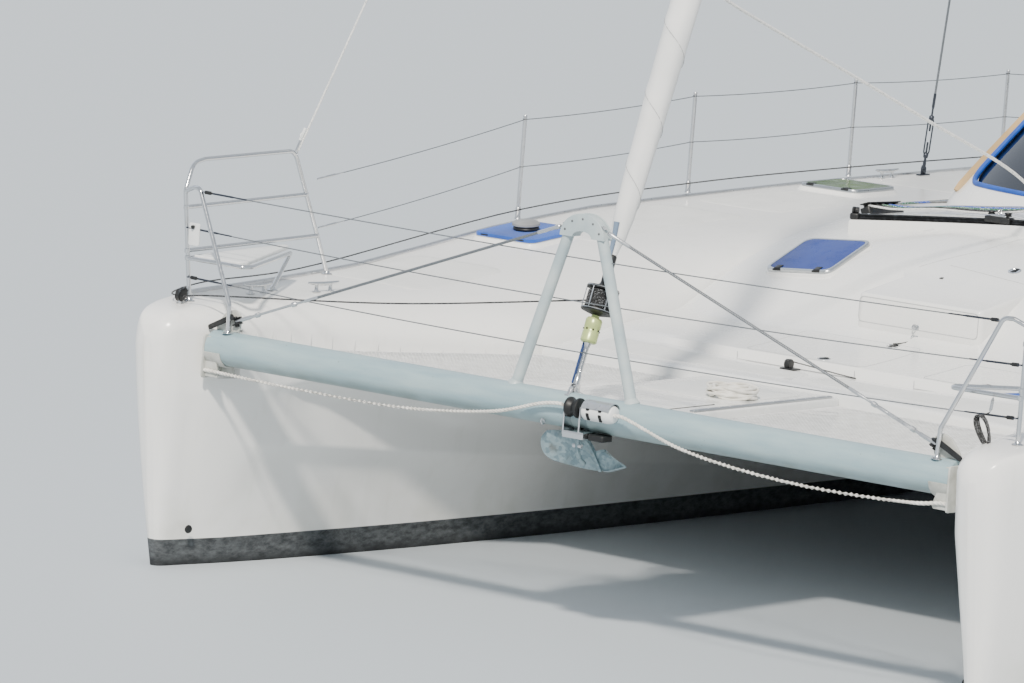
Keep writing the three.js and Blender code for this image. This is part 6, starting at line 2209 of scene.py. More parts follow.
def topside_windows(name, side):
    """Long dark windows in each topside, and a narrow blue line along it."""
    shape = Shape()
    for x0, x1, z0, z1 in ((2.55, 1.35, 1.02, 1.22), (0.75, -1.15, 1.03, 1.27), (-1.75, -3.05, 1.03, 1.25)):
        plan = panel(x1, x0, z0, z1, 0.09, 8)
        dense = []
        for i, (x, z) in enumerate(plan):
            xa, za = plan[i - 1]
            count = max(1, math.ceil(math.hypot(x - xa, z - za) / 0.1))
            dense += [(xa + (x - xa) * k / count, za + (z - za) * k / count) for k in range(1, count + 1)]
        rings = []
        for depth, lift in ((0.0, -0.006), (0.0, 0.0008), (0.0015, 0.0018), (0.05, 0.0024)):
            rings.append([Vector((x, side * (hull_side(x, z) + lift), z)) for x, z in inset(dense, depth)])
        middle = (z0 + z1) / 2
        rings.append([Vector((x, side * (hull_side(x, middle + (z - middle) * 0.1) + 0.0024),
                middle + (z - middle) * 0.1)) for x, z in inset(dense, 0.05)])
        rings.append([Vector((p.x, p.y - side * 0.008, p.z)) for p in rings[-1]])
        shape.add(solid(rings))
    shape.piece(f"topside_glazing_{name}", [GLAZING], "boat", "tinted_glass")
    stripe = []
    for x in spread(4.7, -5.0, 0.2):
        z = 1.02 + 0.02 * (x + 5) / 10 - 0.13
        ring = []
        for height, lift in ((z - 0.011, -0.003), (z - 0.011, 0.0006), (z, 0.0009), (z + 0.011, 0.0006),
                (z + 0.011, -0.003)):
            ring.append(Vector((x, side * (hull_side(x, height) + lift), height)))
        stripe.append(ring)
    Shape().add(solid(stripe)).piece(f"cove_line_{name}", [BLUE_STRIPE], "boat", "gelcoat")


def bow_drain():
    """The drain in each bow, just above the boot top."""
    shape = Shape()
    z = 0.215
    for _, side in SIDES:
        x = 5.42
        y = HULL_Y - section(x, "wl") - 0.02
        p = Vector((x, side * (y - 0.035), z))
        place = toward(p, p + Vector((0.35, side * -1, 0)))
        shape.add(turned([(0.020, 0.0), (0.024, 0.004), (0.021, 0.008), (0.012, 0.009)], 24), 0, place)
    shape.piece("bow_drains", [ACETAL], "boat", "black_plastic")


def window_trim(name, side):
    """A blue gasket round each front window, and a tan strip of webbing on the corner beside it."""
    shape = Shape()
    plan = pane_plan(FRONT_PANE, True)
    dense = []
    for i, (a, z) in enumerate(plan):
        pa, pz = plan[i - 1]
        count = max(1, math.ceil(math.hypot(a - pa, z - pz) / 0.05))
        dense += [(pa + (a - pa) * k / count, pz + (z - pz) * k / count) for k in range(1, count + 1)]
    path = [Vector((front_x(a, z) + 0.002, side * a, z)) for a, z in dense]
    path.append(path[0])
    shape.add(tube(path, 0.017, 10))
    shape.piece(f"window_gasket_{name}", [BLUE_PLASTIC], "boat", "black_plastic")
    band = []
    for k in range(17):
        z = 2.05 + 0.60 * k / 16
        y = 1.345 - 0.115 * k / 16
        band.append(Vector((front_x(y, z) + 0.004, side * y, z)))
    strip = Shape().add(tube(band, 0.013, 12, lambda a, k: 1.0 if abs(math.sin(a)) < 0.5 else 2.3))
    strip.piece(f"webbing_strip_{name}", [TAN], "boat", "canvas")


def foot_seal():
    """A thick blue seal where the coachroof's front meets the deck."""
    path = []
    for x, y in cabin_outline(0, 0.010)[-24:] + cabin_outline(0, 0.010)[:24]:
        path.append(Vector((x, y, top_at(x, y) + 0.010)))
    strands("coachroof_seal", [path], 0.0125, BLUE_PLASTIC, "boat", (), 10)


def front_x(y, z):
    """Where the coachroof's front lies at a place across and a height."""
    rows = [cabin_row(1 + k / 20) for k in range(21)]
    for a, b in zip(rows, rows[1:]):
        if z <= b[0]:
            break
    f = max(0.0, min(1.0, (z - a[0]) / max(b[0] - a[0], 1e-6)))
    front, half = a[1] + (b[1] - a[1]) * f, a[2] + (b[2] - a[2]) * f
    angle = math.asin(max(-1.0, min(1.0, y / half)))
    return front - NOSE_DEPTH * (1 - math.cos(angle)) ** 1.2


def winch(x, y, z, size=1.0):
    """A self-tailing winch standing at a point."""
    profile = [(0.062, 0), (0.066, 0.003), (0.066, 0.022), (0.058, 0.028), (0.046, 0.045), (0.042, 0.075),
            (0.045, 0.098), (0.058, 0.108), (0.060, 0.112), (0.050, 0.118), (0.062, 0.124),
            (0.060, 0.130), (0.030, 0.134), (0.026, 0.140), (0.010, 0.141)]
    return Shape().add(turned([(r * size, h * size) for r, h in profile], 36), 0, at(x, y, z - 0.002))


def roof_gear():
    """Winches, clutches and grab rails at the coachroof."""
    shape = Shape()
    for _, side in SIDES:
        x, y = -3.05, side * 2.02
        shape.join(winch(x, y, top_at(x, y) - 0.002))
        for k in range(5):
            py = side * (1.60 + 0.055 * k)
            px = -2.86
            z = top_at(px, py)
            shape.add(box(px - 0.055, px + 0.055, py - 0.02, py + 0.02, z - 0.003, z + 0.034, 0.006, 0.01), 1)
            shape.add(box(px - 0.05, px + 0.015, py - 0.012, py + 0.012, z + 0.033, z + 0.045, 0.004, 0.008),
                    1)
    shape.piece("winches_and_clutches", [STEEL, ACETAL], "boat", "stainless")
    rails = Shape()
    for _, side in SIDES:
        path = bent([(-1.1, side * 1.12, 2.925), (-1.06, side * 1.12, 2.99), (-2.94, side * 1.12, 2.99),
                (-2.9, side * 1.12, 2.925)], 0.03, 6)
        rails.add(tube(path, 0.0125, 14))
        for x in (-1.7, -2.3):
            rails.add(rod((x, side * 1.12, 2.92), (x, side * 1.12, 2.99), 0.009))
    rails.piece("roof_grab_rails", [STEEL], "boat", "stainless")


for HATCH in HATCHES:
    for NAME, SIDE in SIDES:
        hatch_lid(HATCH, NAME, SIDE)
cleats()
jib_track()
foredeck_detail()
nonskid_panels()
bow_drain()
roof_gear()
foot_seal()
for NAME, SIDE in SIDES:
    toe_rail(NAME, SIDE)
    lifelines(NAME, SIDE)
    organiser(NAME, SIDE)
    topside_windows(NAME, SIDE)
    window_trim(NAME, SIDE)


# Mast, boom, sails and rigging

def oval(x, y, z, rx, ry, sides=40):
    return [Vector((x + rx * math.cos(2 * math.pi * i / sides), y + ry * math.sin(2 * math.pi * i / sides),
            z)) for i in range(sides)]


def mast_section(z, rx=0.120, ry=0.072, sides=48):
    """The mast's section: an oval with the luff groove in its aft face."""
    ring = []
    for i in range(sides):
        a = 2 * math.pi * (i + 0.5) / sides
        x, y = rx * math.cos(a), ry * math.sin(a)
        if abs(a - math.pi) < 0.09:
            x += 0.010
        ring.append(Vector((MAST_X + x, y, z)))
    return ring


SPREADER_Z = 8.2


def spreader(shape, s):
    """A spreader on one side, with the diamond wire that it holds out."""
    root = Vector((MAST_X - 0.02, s * 0.05, SPREADER_Z))
    tip = Vector((MAST_X - 0.37, s * 1.0, SPREADER_Z + 0.04))
    rings = []
    for k in range(13):
        t = k / 12
        p = root.lerp(tip, t)
        chord, thick = 0.060 - 0.022 * t, 0.0175 - 0.005 * t
        ring = [p + Vector((chord * math.cos(2 * math.pi * i / 20) * 0.5 * 1.02, 0,
                thick * math.sin(2 * math.pi * i / 20))) for i in range(20)]
        rings.append(ring)
    shape.add(solid(rings), 0)
    shape.add(turned([(0.008, -0.03), (0.017, -0.026), (0.019, 0), (0.017, 0.026), (0.008, 0.03)], 18), 1,
            at(tip.x, tip.y - s * 0.008, tip.z))
    shape.add(box(MAST_X - 0.07, MAST_X + 0.03, s * 0.045, s * 0.078, SPREADER_Z - 0.035,
            SPREADER_Z + 0.035, 0.006), 1)
    wire = [(MAST_X - 0.04, s * 0.055, 3.0), (tip.x, tip.y - s * 0.015, tip.z),
            (MAST_X - 0.02, s * 0.055, 13.6)]
    shape.add(tube(bent(wire, 0.02, 2), 0.0058, 10), 2)
    shape.add(rod((MAST_X - 0.045, s * 0.062, 3.0), (MAST_X - 0.068, s * 0.125, 3.32), 0.011), 1)
    shape.add(box(MAST_X - 0.07, MAST_X - 0.01, s * 0.03, s * 0.075, 2.94, 3.03, 0.004), 1)


def mast():
    """The spar with its foot, spreaders, gooseneck bracket and masthead."""
    shape = Shape()
    taper_z, width, depth = 15.5, 0.12, 0.072
    levels = [MAST_FOOT + 0.012, MAST_FOOT + 0.018, *[MAST_FOOT + k * 1.0 for k in range(1, 15)],
            MAST_TOP - 0.4, MAST_TOP]
    taper = [1 if z < taper_z else 1 - 0.30 * (z - taper_z) / (MAST_TOP - taper_z) for z in levels]
    shape.add(solid([mast_section(z, width * t, depth * t) for z, t in zip(levels, taper)]))
    foot = [oval(MAST_X, 0, MAST_FOOT + z, width + g, depth + g)
            for g, z in ((-0.01, 0), (0.0, 0.002), (0.0, 0.010), (-0.006, 0.014))]
    shape.add(solid(foot), 1)
    for s in (1, -1):
        spreader(shape, s)
    for z in (3.56, 3.68):
        shape.add(box(0.525, 0.68, -0.032, 0.032, z - 0.008, z + 0.008, 0.003, 0.01), 1)
    shape.add(box(0.625, 0.645, -0.05, 0.05, 3.50, 3.74, 0.006, 0.01), 1)
    shape.add(rod((0.56, 0, 3.553), (0.56, 0, 3.687), 0.012, 20), 1)
    shape.add(turned([(0.010, 0), (0.017, 0.001), (0.017, 0.006), (0.010, 0.007)], 16), 1, at(0.56, 0, 3.686))
    shape.add(box(MAST_X + 0.095, MAST_X + 0.17, -0.012, 0.012, 14.11, 14.17, 0.004, 0.006), 1)
    shape.add(box(0.42, 0.91, -0.028, 0.028, 17.54, 17.58, 0.006, 0.012), 1)
    for x in (0.45, 0.88):
        shape.add(turned([(0.012, -0.010), (0.034, -0.009), (0.028, 0), (0.034, 0.009), (0.012, 0.010)], 24),
                1, at(x, 0, 17.535, math.pi / 2, "X"))
    shape.add(rod((MAST_X, 0.03, 17.59), (MAST_X, 0.03, 17.70), 0.006), 1)
    shape.piece("mast_section", [SPAR, STEEL, STRAND], "boat", "spar_aluminium", ("mast",))


def mast_gear():
    """Halyard winches, cleats and the turning blocks at the mast's foot."""
    gear = Shape()
    for s, z in ((1, 2.9), (-1, 3.05)):
        drum = Shape().add(turned([(0.045, 0), (0.048, 0.003), (0.036, 0.02), (0.033, 0.05), (0.036, 0.075),
                (0.046, 0.085), (0.044, 0.092), (0.012, 0.096)], 28))
        gear.join(drum, Matrix.Translation((MAST_X - 0.01, s * 0.071, z))
                @ Matrix.Rotation(-s * math.pi / 2, 4, "X"), 0)
    for s in (1, -1):
        for z in (2.42, 2.62):
            gear.add(rod((0.0, s * 0.012, -0.05), (0.0, s * 0.014, 0.05), 0.007), 1,
                    Matrix.Translation((MAST_X + 0.02, s * 0.0775, z)))
            gear.add(rod((MAST_X + 0.02, s * 0.066, z), (MAST_X + 0.02, s * 0.092, z), 0.008), 1)
        for k in range(3):
            x = MAST_X - 0.09 + 0.09 * k
            y = s * (0.135 + 0.01 * k)
            z = top_at(x, y)
            gear.add(box(x - 0.018, x + 0.018, y - 0.008, y + 0.008, z - 0.002, z + 0.028, 0.004), 1)
            gear.add(turned([(0.010, -0.012), (0.026, -0.011), (0.022, 0), (0.026, 0.011), (0.010, 0.012)],
                    20), 1, at(x, y, z + 0.034, math.pi / 2, "X"))
    gear.piece("mast_gear", [STEEL, ACETAL], "boat", "stainless")


def halyards():
    """Halyards up the mast's sides, from the blocks at its foot."""
    lines = []
    for k, (s, top) in enumerate(((1, 14.3), (1, 17.3), (-1, 14.3), (-1, 17.3), (1, 9.0))):
        x = MAST_X + 0.05 - 0.035 * k
        y = s * 0.079
        foot = Vector((MAST_X - 0.09 + 0.09 * (k % 3), s * 0.145, top_at(MAST_X, 0.14) + 0.06))
        lines.append(curved([foot, (x, s * 0.10, 2.30), (x, y, 2.75), (x, y, 6.0), (x, y, top)], 10))
    for k, finish in enumerate((WHITE_LINE, BLUE_LINE, GREY_LINE, GREEN_LINE, BLACK_LINE)):
        strands(f"halyard_{k}", [lines[k]], 0.005, finish, "boat")


def boom():
    """Boom with its end castings, sheaves and gooseneck eye."""
    shape = Shape()
    start, end = 0.44, -4.56
    rings = []
    for x, g in ((start, -0.012), (start - 0.004, -0.003), (start - 0.012, 0), (start - 0.12, 0)):
        rings.append(boom_ring(x, g))
    shape.add(solid(rings), 1)
    shape.add(solid([boom_ring(start - 0.12, -0.002), *[boom_ring(start - 0.13 - 0.25 * k, -0.002)
            for k in range(20)], boom_ring(end + 0.10, -0.002)]), 0)
    shape.add(solid([boom_ring(end + 0.10, 0), boom_ring(end + 0.012, 0), boom_ring(end + 0.003, -0.004),
            boom_ring(end, -0.014)]), 1)
    eye = [(0.0132, 0), (0.030, 0.001), (0.032, 0.004), (0.032, 0.098), (0.030, 0.101), (0.0132, 0.102)]
    shape.add(bored(eye, 28), 2, at(0.56, 0, 3.569))
    shape.add(box(0.42, 0.542, -0.024, 0.024, 3.585, 3.655, 0.005), 2)
    for y in (-0.025, 0.0, 0.025):
        shape.add(turned([(0.008, -0.009), (0.036, -0.008), (0.031, 0), (0.036, 0.008), (0.008, 0.009)], 24),
                1, at(-4.545, y, BOOM_Z, math.pi / 2, "X"))
    for x in (-3.55, -3.2, -2.9):
        shape.add(ring_form(0.030, 0.007, 20, 8), 2, at(x, 0, 3.475, math.pi / 2, "X"))
        shape.add(box(x - 0.04, x + 0.04, -0.022, 0.022, 3.492, 3.50, 0.003), 2)
    shape.piece("boom_section", [SPAR, ACETAL, STEEL], "boom", "spar_aluminium", ("boom",))
    outhaul = curved([(-4.55, 0.0, 3.655), (-4.53, 0.0, 3.76), (-4.40, 0.0, 3.83)], 6)
    strands("outhaul", [outhaul], 0.005, WHITE_LINE, "boom")


def boom_ring(x, grow, sides=40):
    """The boom's oval section at x."""
    return [Vector((x, (0.075 + grow) * math.sin(2 * math.pi * i / sides),
            BOOM_Z + (0.13 + grow) * math.cos(2 * math.pi * i / sides))) for i in range(sides)]


BAG_BASE = 3.7467


def bag_size(x):
    """Half width and height of the sail cover at x."""
    rows = ((0.38, 0.060, 0.09), (0.2, 0.110, 0.33), (-1.5, 0.130, 0.40), (-3.6, 0.110, 0.30),
            (-4.45, 0.060, 0.11))
    for a, b in zip(rows, rows[1:]):
        if x >= b[0]:
            t = (a[0] - x) / (a[0] - b[0])
            return a[1] + (b[1] - a[1]) * t, a[2] + (b[2] - a[2]) * t
    return rows[-1][1:]


def sail_bag():
    """Canvas cover over the stowed mainsail: scalloped between its lazy lines, zipped along the top."""
    rings = []
    ties = (-0.6, -1.9, -3.2)
    stations = spread_plain(0.38, -4.45, 0.07)
    rng = random.Random(7)
    folds = [(rng.uniform(2, 9), rng.uniform(0, 6.3), rng.uniform(0.3, 1)) for _ in range(6)]
    for x in stations:
        half, height = bag_size(x)
        near = min(abs(x - tie) for tie in ties)
        droop = min(1.0, near / 0.65)
        ring = []
        for i in range(33):
            a = math.pi * i / 32
            wrinkle = sum(w * math.sin(f * x + p + 3 * a) for f, p, w in folds) / 6
            bulge = 1.0 - 0.035 - 0.03 * droop * math.sin(a) + 0.022 * wrinkle * math.sin(a)
            y, z = half * math.cos(a) * bulge, height * math.sin(a) ** 0.8 * bulge
            if 14 <= i <= 18:
                z += 0.006
            ring.append(Vector((x, y, BAG_BASE + max(0.0, z))))
        rings.append(ring)
    shape = Shape().add(solid(rings))
    shape.piece("sail_cover", [BLUE_CANVAS], "boom", "canvas", ("mainsail_bag",), 60)
    zip_line = [Vector((x, 0, BAG_BASE + bag_size(x)[1] * 0.965 + 0.006))
            for x in spread_plain(0.2, -4.3, 0.1)]
    strands("cover_zip", [zip_line], 0.006, BLACK_LINE, "boom")
    seam = []
    for s in (1, -1):
        run = []
        for x in spread_plain(0.1, -4.2, 0.1):
            half, top = bag_size(x)
            a = math.asin(min(0.98, 0.10 / top))
            run.append(Vector((x, s * half * math.cos(a) * 0.972,
                    BAG_BASE + top * math.sin(a) ** 0.8 * 0.965)))
        seam.append(run)
    strands("cover_seams", seam, 0.0022, WHITE_LINE, "boom", (), 6)


def spread_plain(first, last, step):
    """Evenly spaced values from first to last, none further apart than step."""
    count = math.ceil(abs(last - first) / step)
    return [first + (last - first) * k / count for k in range(count + 1)]


def shroud(name, side):
    """Cap shroud with its swage, rigging screw, toggle and chainplate."""
    foot_z = straight(-2.36, "deck") + GAP
    low = Vector((-2.3, 3.06, foot_z + 0.03))
    high = Vector((MAST_X - 0.02, 0.066, 14.2))
    shape = Shape()
    run = (high - low).normalized()
    shape.add(box(-2.36, -2.24, 3.042, 3.078, foot_z, foot_z + 0.012, 0.004, 0.01), 0)
    plate = [(-2.325, foot_z + 0.005), (-2.275, foot_z + 0.005), (-2.272, foot_z + 0.06),
            (-2.318, foot_z + 0.06)]
    shape.add(placed(slab(rounded(plate, 0.012, 4), 3.056, 3.064, 0.002), TO_SIDE), 0)
    base = low + run * 0.01
    toggle(shape, toward(base, high), 0, 0.020)
    reach = turnbuckle(shape, base, high, 0.30, 0.020)
    start = base + run * (reach - 0.01)
    end = high - run * 0.02
    shape.add(tube([start, start.lerp(end, 0.5), end], 0.0075, 10), 1)
    shape.mirrored(side).piece(f"shroud_wire_{name}", [DARK_STEEL, STRAND], "boat", "stainless",
            (f"shroud_{name}",))


def lines_aloft():
    """The jib's sheet, a halyard to the pulpit, and the furling line with its blocks along the deck."""
    sheet = curved([(0.94, -0.02, 2.09), (1.20, -0.01, 2.30), (2.4, 0.0, 2.74), (4.20, 0.0, 3.36),
            (4.36, 0.0, 3.42)], 12)
    strands("jib_sheet", [sheet], 0.0092, WHITE_LINE, "boat", (), 10)
    start = Vector((4.235, -2.952, 2.24))
    end = Vector((0.86, -0.09, 14.0))
    strands("spare_halyard", [[start, start.lerp(end, 0.33), start.lerp(end, 0.66), end]], 0.006, WHITE_LINE,
            "boat", (), 8)
    hook = Shape()
    hook.add(ring_form(0.016, 0.004, 20, 8), 0, at(4.25, -2.957, 2.224, math.pi / 2, "X"))
    hook.add(rod((4.249, -2.957, 2.236), (4.226, -2.944, 2.31), 0.008), 0)
    hook.add(ring_form(0.015, 0.0055, 16, 8), 1, at(4.222, -2.941, 2.325, math.pi / 2, "X"))
    hook.add(rod((4.232, -2.948, 2.30), (4.210, -2.932, 2.37), 0.0095), 1)
    hook.piece("halyard_shackle", [STEEL, WHITE_PLASTIC], "boat", "stainless")
    drum = ON_STAY @ Vector((-0.03, -0.058, 0.512))
    furling = curved([drum, (5.44, -1.2, 1.66), (5.452, -2.62, 1.515), (5.46, -2.70, 1.500)], 10)
    strands("furling_line", [furling], 0.0045, BLACK_LINE, "boat")
    deck_run = [(5.44, -2.80), (5.0, -2.97), (4.0, -3.08)]
    path = [Vector((5.462, -2.742, 1.500)), *[Vector((x, y, hull_deck(x, y) + 0.045)) for x, y in deck_run]]
    for x in STANCHIONS:
        p = stanchion_point(x, 0.08)
        path.append(Vector((p.x, -p.y + 0.03, p.z)))
    strands("furling_line_aft", [curved(path, 8)], 0.0045, BLACK_LINE, "boat")
    blocks = Shape()
    for x, y, z in ((5.462, -2.722, 1.500), (5.39, -2.78, 1.498), (5.30, -2.83, 1.498)):
        ground_z = hull_deck(x, y)
        blocks.add(turned([(0.008, -0.014), (0.030, -0.013), (0.026, 0), (0.030, 0.013), (0.008, 0.014)],
                24), 0, at(x, y, z, math.pi / 2, "X"))
        for s in (1, -1):
            cheek = at(x, y + s * 0.0165, z, math.pi / 2, "X")
            blocks.add(turned([(0.010, -0.0025), (0.025, -0.002), (0.025, 0.002), (0.010, 0.0025)], 20), 0,
                    cheek)
        blocks.add(rod((x, y, ground_z - 0.003), (x, y, z - 0.022), 0.008), 1)
    blocks.piece("bow_blocks", [ACETAL, STEEL], "boat", "black_plastic")


def mainsheet():
    """Mainsheet tackle from the boom to the cockpit arch."""
    top, low = Vector((-3.2, 0, 3.445)), Vector((-3.42, 0, 3.055))
    falls = []
    for dy, dx in ((-0.018, 0.0), (-0.006, 0.012), (0.006, -0.012), (0.018, 0.0)):
        falls.append([low + Vector((dx, dy, 0.05)), (low + top) / 2 + Vector((dx, dy, 0)),
                top + Vector((dx, dy, -0.045))])
    shape = Shape()
    for fall in falls:
        dense = [Vector(fall[0]).lerp(Vector(fall[2]), k / 12) for k in range(13)]
        shape.add(tube(dense, 0.0052, 10), 0)
    upper, lower = toward(top, low), toward(low, top)
    for place in (upper, lower):
        for offset in (-0.012, 0.012):
            shape.add(turned([(0.006, -0.009), (0.034, -0.008), (0.029, 0), (0.034, 0.008), (0.006, 0.009)],
                    24), 1, place @ at(0, offset, 0.045, math.pi / 2, "X"))
        shape.add(box(-0.014, 0.014, -0.028, 0.028, 0.0, 0.03, 0.004), 1, place)
    data = shape.mesh("mainsheet_tackle", [BLUE_LINE, ACETAL])
    obj = bpy.data.objects.new("mainsheet_tackle", data)
    bpy.context.scene.collection.objects.link(obj)
    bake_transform(obj)
    anchor_eye = Shape().add(box(-3.50, -3.34, -0.03, 0.03, 3.028, 3.040, 0.004, 0.012))
    anchor_eye.add(ring_form(0.018, 0.006, 20, 8), 0, at(-3.42, 0, 3.052, math.pi / 2, "X"))
    anchor_eye.piece("mainsheet_eye", [STEEL], "boat", "stainless")


def lazy_lines():
    """Lazy jacks from the mast to the sail cover."""
    for name, side in SIDES:
        shape = Shape()
        junction = Vector((MAST_X - 0.12, side * 0.10, 8.0))
        for x in (-0.6, -1.9, -3.2):
            half, height = bag_size(x)
            end = Vector((x, side * half * 0.62, BAG_BASE + height * 0.74))
            dense = [junction.lerp(end, k / 24) for k in range(25)]
            shape.add(tube(dense, 0.0026, 6))
        data = shape.mesh(f"lazy_lines_{name}", [WHITE_LINE])
        obj = bpy.data.objects.new(f"lazy_lines_{name}", data)
        bpy.context.scene.collection.objects.link(obj)
        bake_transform(obj)


def bow_wires():
    """Three guard wires across the bow, between the pulpits' legs and posts, and a lashing under a seat."""
    paths = []
    shape = Shape()
    for z, x, y, sag in ((2.088, 5.440, 2.622, 0.03), (1.874, 5.402, 2.742, 0.05),
            (1.600, 5.384, 2.728, 0.045)):
        path = []
        for k in range(33):
            t = k / 32
            path.append(Vector((x, -y + 2 * y * t, z - sag * 4 * t * (1 - t))))
        paths.append(path)
        for a, b in ((path[0], path[4]), (path[-1], path[-5])):
            place = toward(a, b)
            shape.add(ring_form(0.0150, 0.003, 18, 8), 1, toward(a, a + Vector((0, 0, 1))))
            shape.add(turned([(0.004, 0.008), (0.0105, 0.011), (0.0105, 0.048), (0.006, 0.052),
                    (0.006, 0.060), (0.004, 0.064)], 14), 0, place)
            shape.add(turned([(0.004, 0.062), (0.0058, 0.066), (0.0058, 0.205), (0.0045, 0.212),
                    (0.0042, 0.30), (0.003, 0.31)], 12), 1, place)
    strands("bow_guard_wires", paths, 0.0032, STRAND, "boat")
    shape.piece("bow_wire_screws", [ACETAL, DARK_STEEL], "boat", "stainless")
    loop_path = []
    for turn in range(6):
        for k in range(24):
            a = 2 * math.pi * k / 24
            w = 0.026 + 0.002 * turn + 0.010 * math.sin(a)
            loop_path.append((5.400 + 0.006 * turn, 2.565 + w * math.cos(a) - 0.030 * math.sin(a),
                    1.515 + 0.075 * math.sin(a)))
    strands("lashing_hank", [curved(loop_path, 2)], 0.0052, BLACK_LINE, "boat")
    hang = Shape()
    top = Vector((5.405, 2.600, 1.690))
    low = Vector((5.405, 2.588, 1.612))
    for s in (1, -1):
        hang.add(tube(bent([top, top.lerp(low, 0.2) + Vector((0, s * 0.007, 0)),
                top.lerp(low, 0.8) + Vector((0, s * 0.007, 0)), low], 0.008, 4), 0.0028, 8), 1)
    hang.add(rod(top, low, 0.0032), 1)
    hang.add(rod(low, (5.415, 2.545, 1.586), 0.0035), 0)
    hang.piece("hank_tie", [BLACK_LINE, STEEL], "boat", "rope")


def line_coil():
    """A heap of white line on the catwalk: one wandering rope, coiled over itself."""
    middle = Vector((4.25, 0.18, CATWALK_Z + 0.040))
    rng = random.Random(12)
    path = []
    turns = 9
    for k in range(turns * 20):
        t = k / (turns * 20)
        a = 2 * math.pi * k / 20
        layer = (k // 20) % 3
        r = 0.118 + 0.022 * math.sin(3.1 * t * turns) + 0.008 * rng.uniform(-1, 1)
        z = 0.012 + 0.019 * layer + 0.010 * math.sin(2 * a + 5 * t) + 0.006
        path.append(middle + Vector((r * math.cos(a), r * 0.98 * math.sin(a), z - 0.040)))
    path = curved(path[::2], 3)
    data = grown(STRANDS, lines_mesh([path]), Radius=0.0085, Sides=12, Finish=ROPE)
    rope = settle(data, "catwalk_coil", "boat", ("line_coil",))


mast()
mast_gear()
halyards()
boom()
sail_bag()
lines_aloft()
mainsheet()
lazy_lines()
bow_wires()
line_coil()
for NAME, SIDE in SIDES:
    shroud(NAME, SIDE)


# Cockpit, steering and drive

def hardtop():
    """Hardtop with rounded edges over the cockpit, on four posts."""
    plan = [(-3.15, -1.3), (-3.15, 1.3), (-3.5, 1.78), (-5.15, 1.78), (-5.3, 1.5), (-5.3, -1.5),
            (-5.15, -1.78), (-3.5, -1.78)]
    shape = Shape().add(slab(rounded(plan, [0.15, 0.15, 0.25, 0.12, 0.2, 0.2, 0.12, 0.25], 8), 2.96 + GAP,
            3.028, 0.022, 5))
    shape.add(slab(inset(rounded(plan, 0.2, 8), 0.22), 3.02, 3.0294, 0.001, 2), 1)
    for x, y in ((-5.025, 1.35), (-4.38, 1.7)):
        low = (1.885 if x < -5 else 1.899) + GAP
        for _, s in SIDES:
            shape.add(rod((x, s * y, low), (x, s * y, 2.975), 0.0295, 24), 2)
            shape.add(turned([(0.02, 0), (0.054, 0.0), (0.056, 0.003), (0.050, 0.007), (0.034, 0.010),
                    (0.030, 0.02)], 24), 2, at(x, s * y, low))
            shape.add(turned([(0.030, -0.02), (0.036, -0.010), (0.052, -0.004), (0.054, 0.0), (0.02, 0.002)],
                    24), 2, at(x, s * y, 2.9605))
    shape.piece("hardtop_moulding", [GELCOAT, NONSKID, STEEL], "boat", "gelcoat", ("cockpit_hardtop",))


def saloon_door():
    """Sliding-pattern door leaf in a silver frame with a tinted light and a flush pull."""
    x = BULKHEAD_X + 0.002
    y0, y1, z0, z1 = -0.394, 0.3994, 1.306, 2.694
    outer = panel(y0, y1, z0, z1, 0.03, 5)
    inner = panel(-0.29, 0.29, 1.75, 2.58, 0.05, 5)
    data = Shape().add(placed(slab(outer, x, x + 0.028, 0.004), TO_FRONT)).mesh("leaf", [FRAME_ALU])
    tool = Shape().add(placed(slab(inner, x - 0.02, x + 0.05, 0.001), TO_FRONT)).mesh("tool", [FRAME_ALU])
    settle(smooth(carve(data, tool), 30), "door_leaf", "saloon_door", ("saloon_door",))
    light = Shape().add(placed(slab(inset(inner, -0.004), x + 0.010, x + 0.017, 0.001), TO_FRONT))
    light.piece("door_light", [GLAZING], "saloon_door", "tinted_glass")
    pull = Shape()
    for s in (1, -1):
        px = x + 0.014 + s * 0.030
        pull.add(tube(bent([(x + 0.014 + s * 0.012, -0.335, 1.95), (px, -0.335, 1.95), (px, -0.335, 2.15),
                (x + 0.014 + s * 0.012, -0.335, 2.15)], 0.012, 4), 0.007, 12))
    pull.piece("door_pulls", [STEEL], "saloon_door", "stainless")


def saloon():
    """Dinette seat and table seen through the panes and the door."""
    floor = FLOOR_Z + GAP
    shape = Shape()
    shape.add(box(-2.5, -0.3, 0.5, 1.4, floor, floor + 0.30, 0.01, 0.05), 1)
    shape.add(box(-2.49, -0.31, 0.5, 1.29, floor + 0.302, floor + 0.38, 0.02, 0.06), 0)
    shape.add(box(-2.49, -0.31, 1.302, 1.4, floor + 0.29, floor + 0.82, 0.03, 0.04), 0)
    shape.add(box(-1.68, -1.32, -0.08, 0.08, floor, floor + 0.71, 0.01, 0.03), 1)
    shape.add(box(-1.7, -1.3, -0.1, 0.6, floor, floor + 0.06, 0.008, 0.03), 1)
    shape.add(box(-2.05, -0.95, -0.35, 0.38, floor + 0.70, floor + 0.735, 0.01, 0.06), 2)
    shape.piece("dinette", [VINYL, GELCOAT, PALE_WOOD], "boat", "upholstery", ("saloon_dinette",))


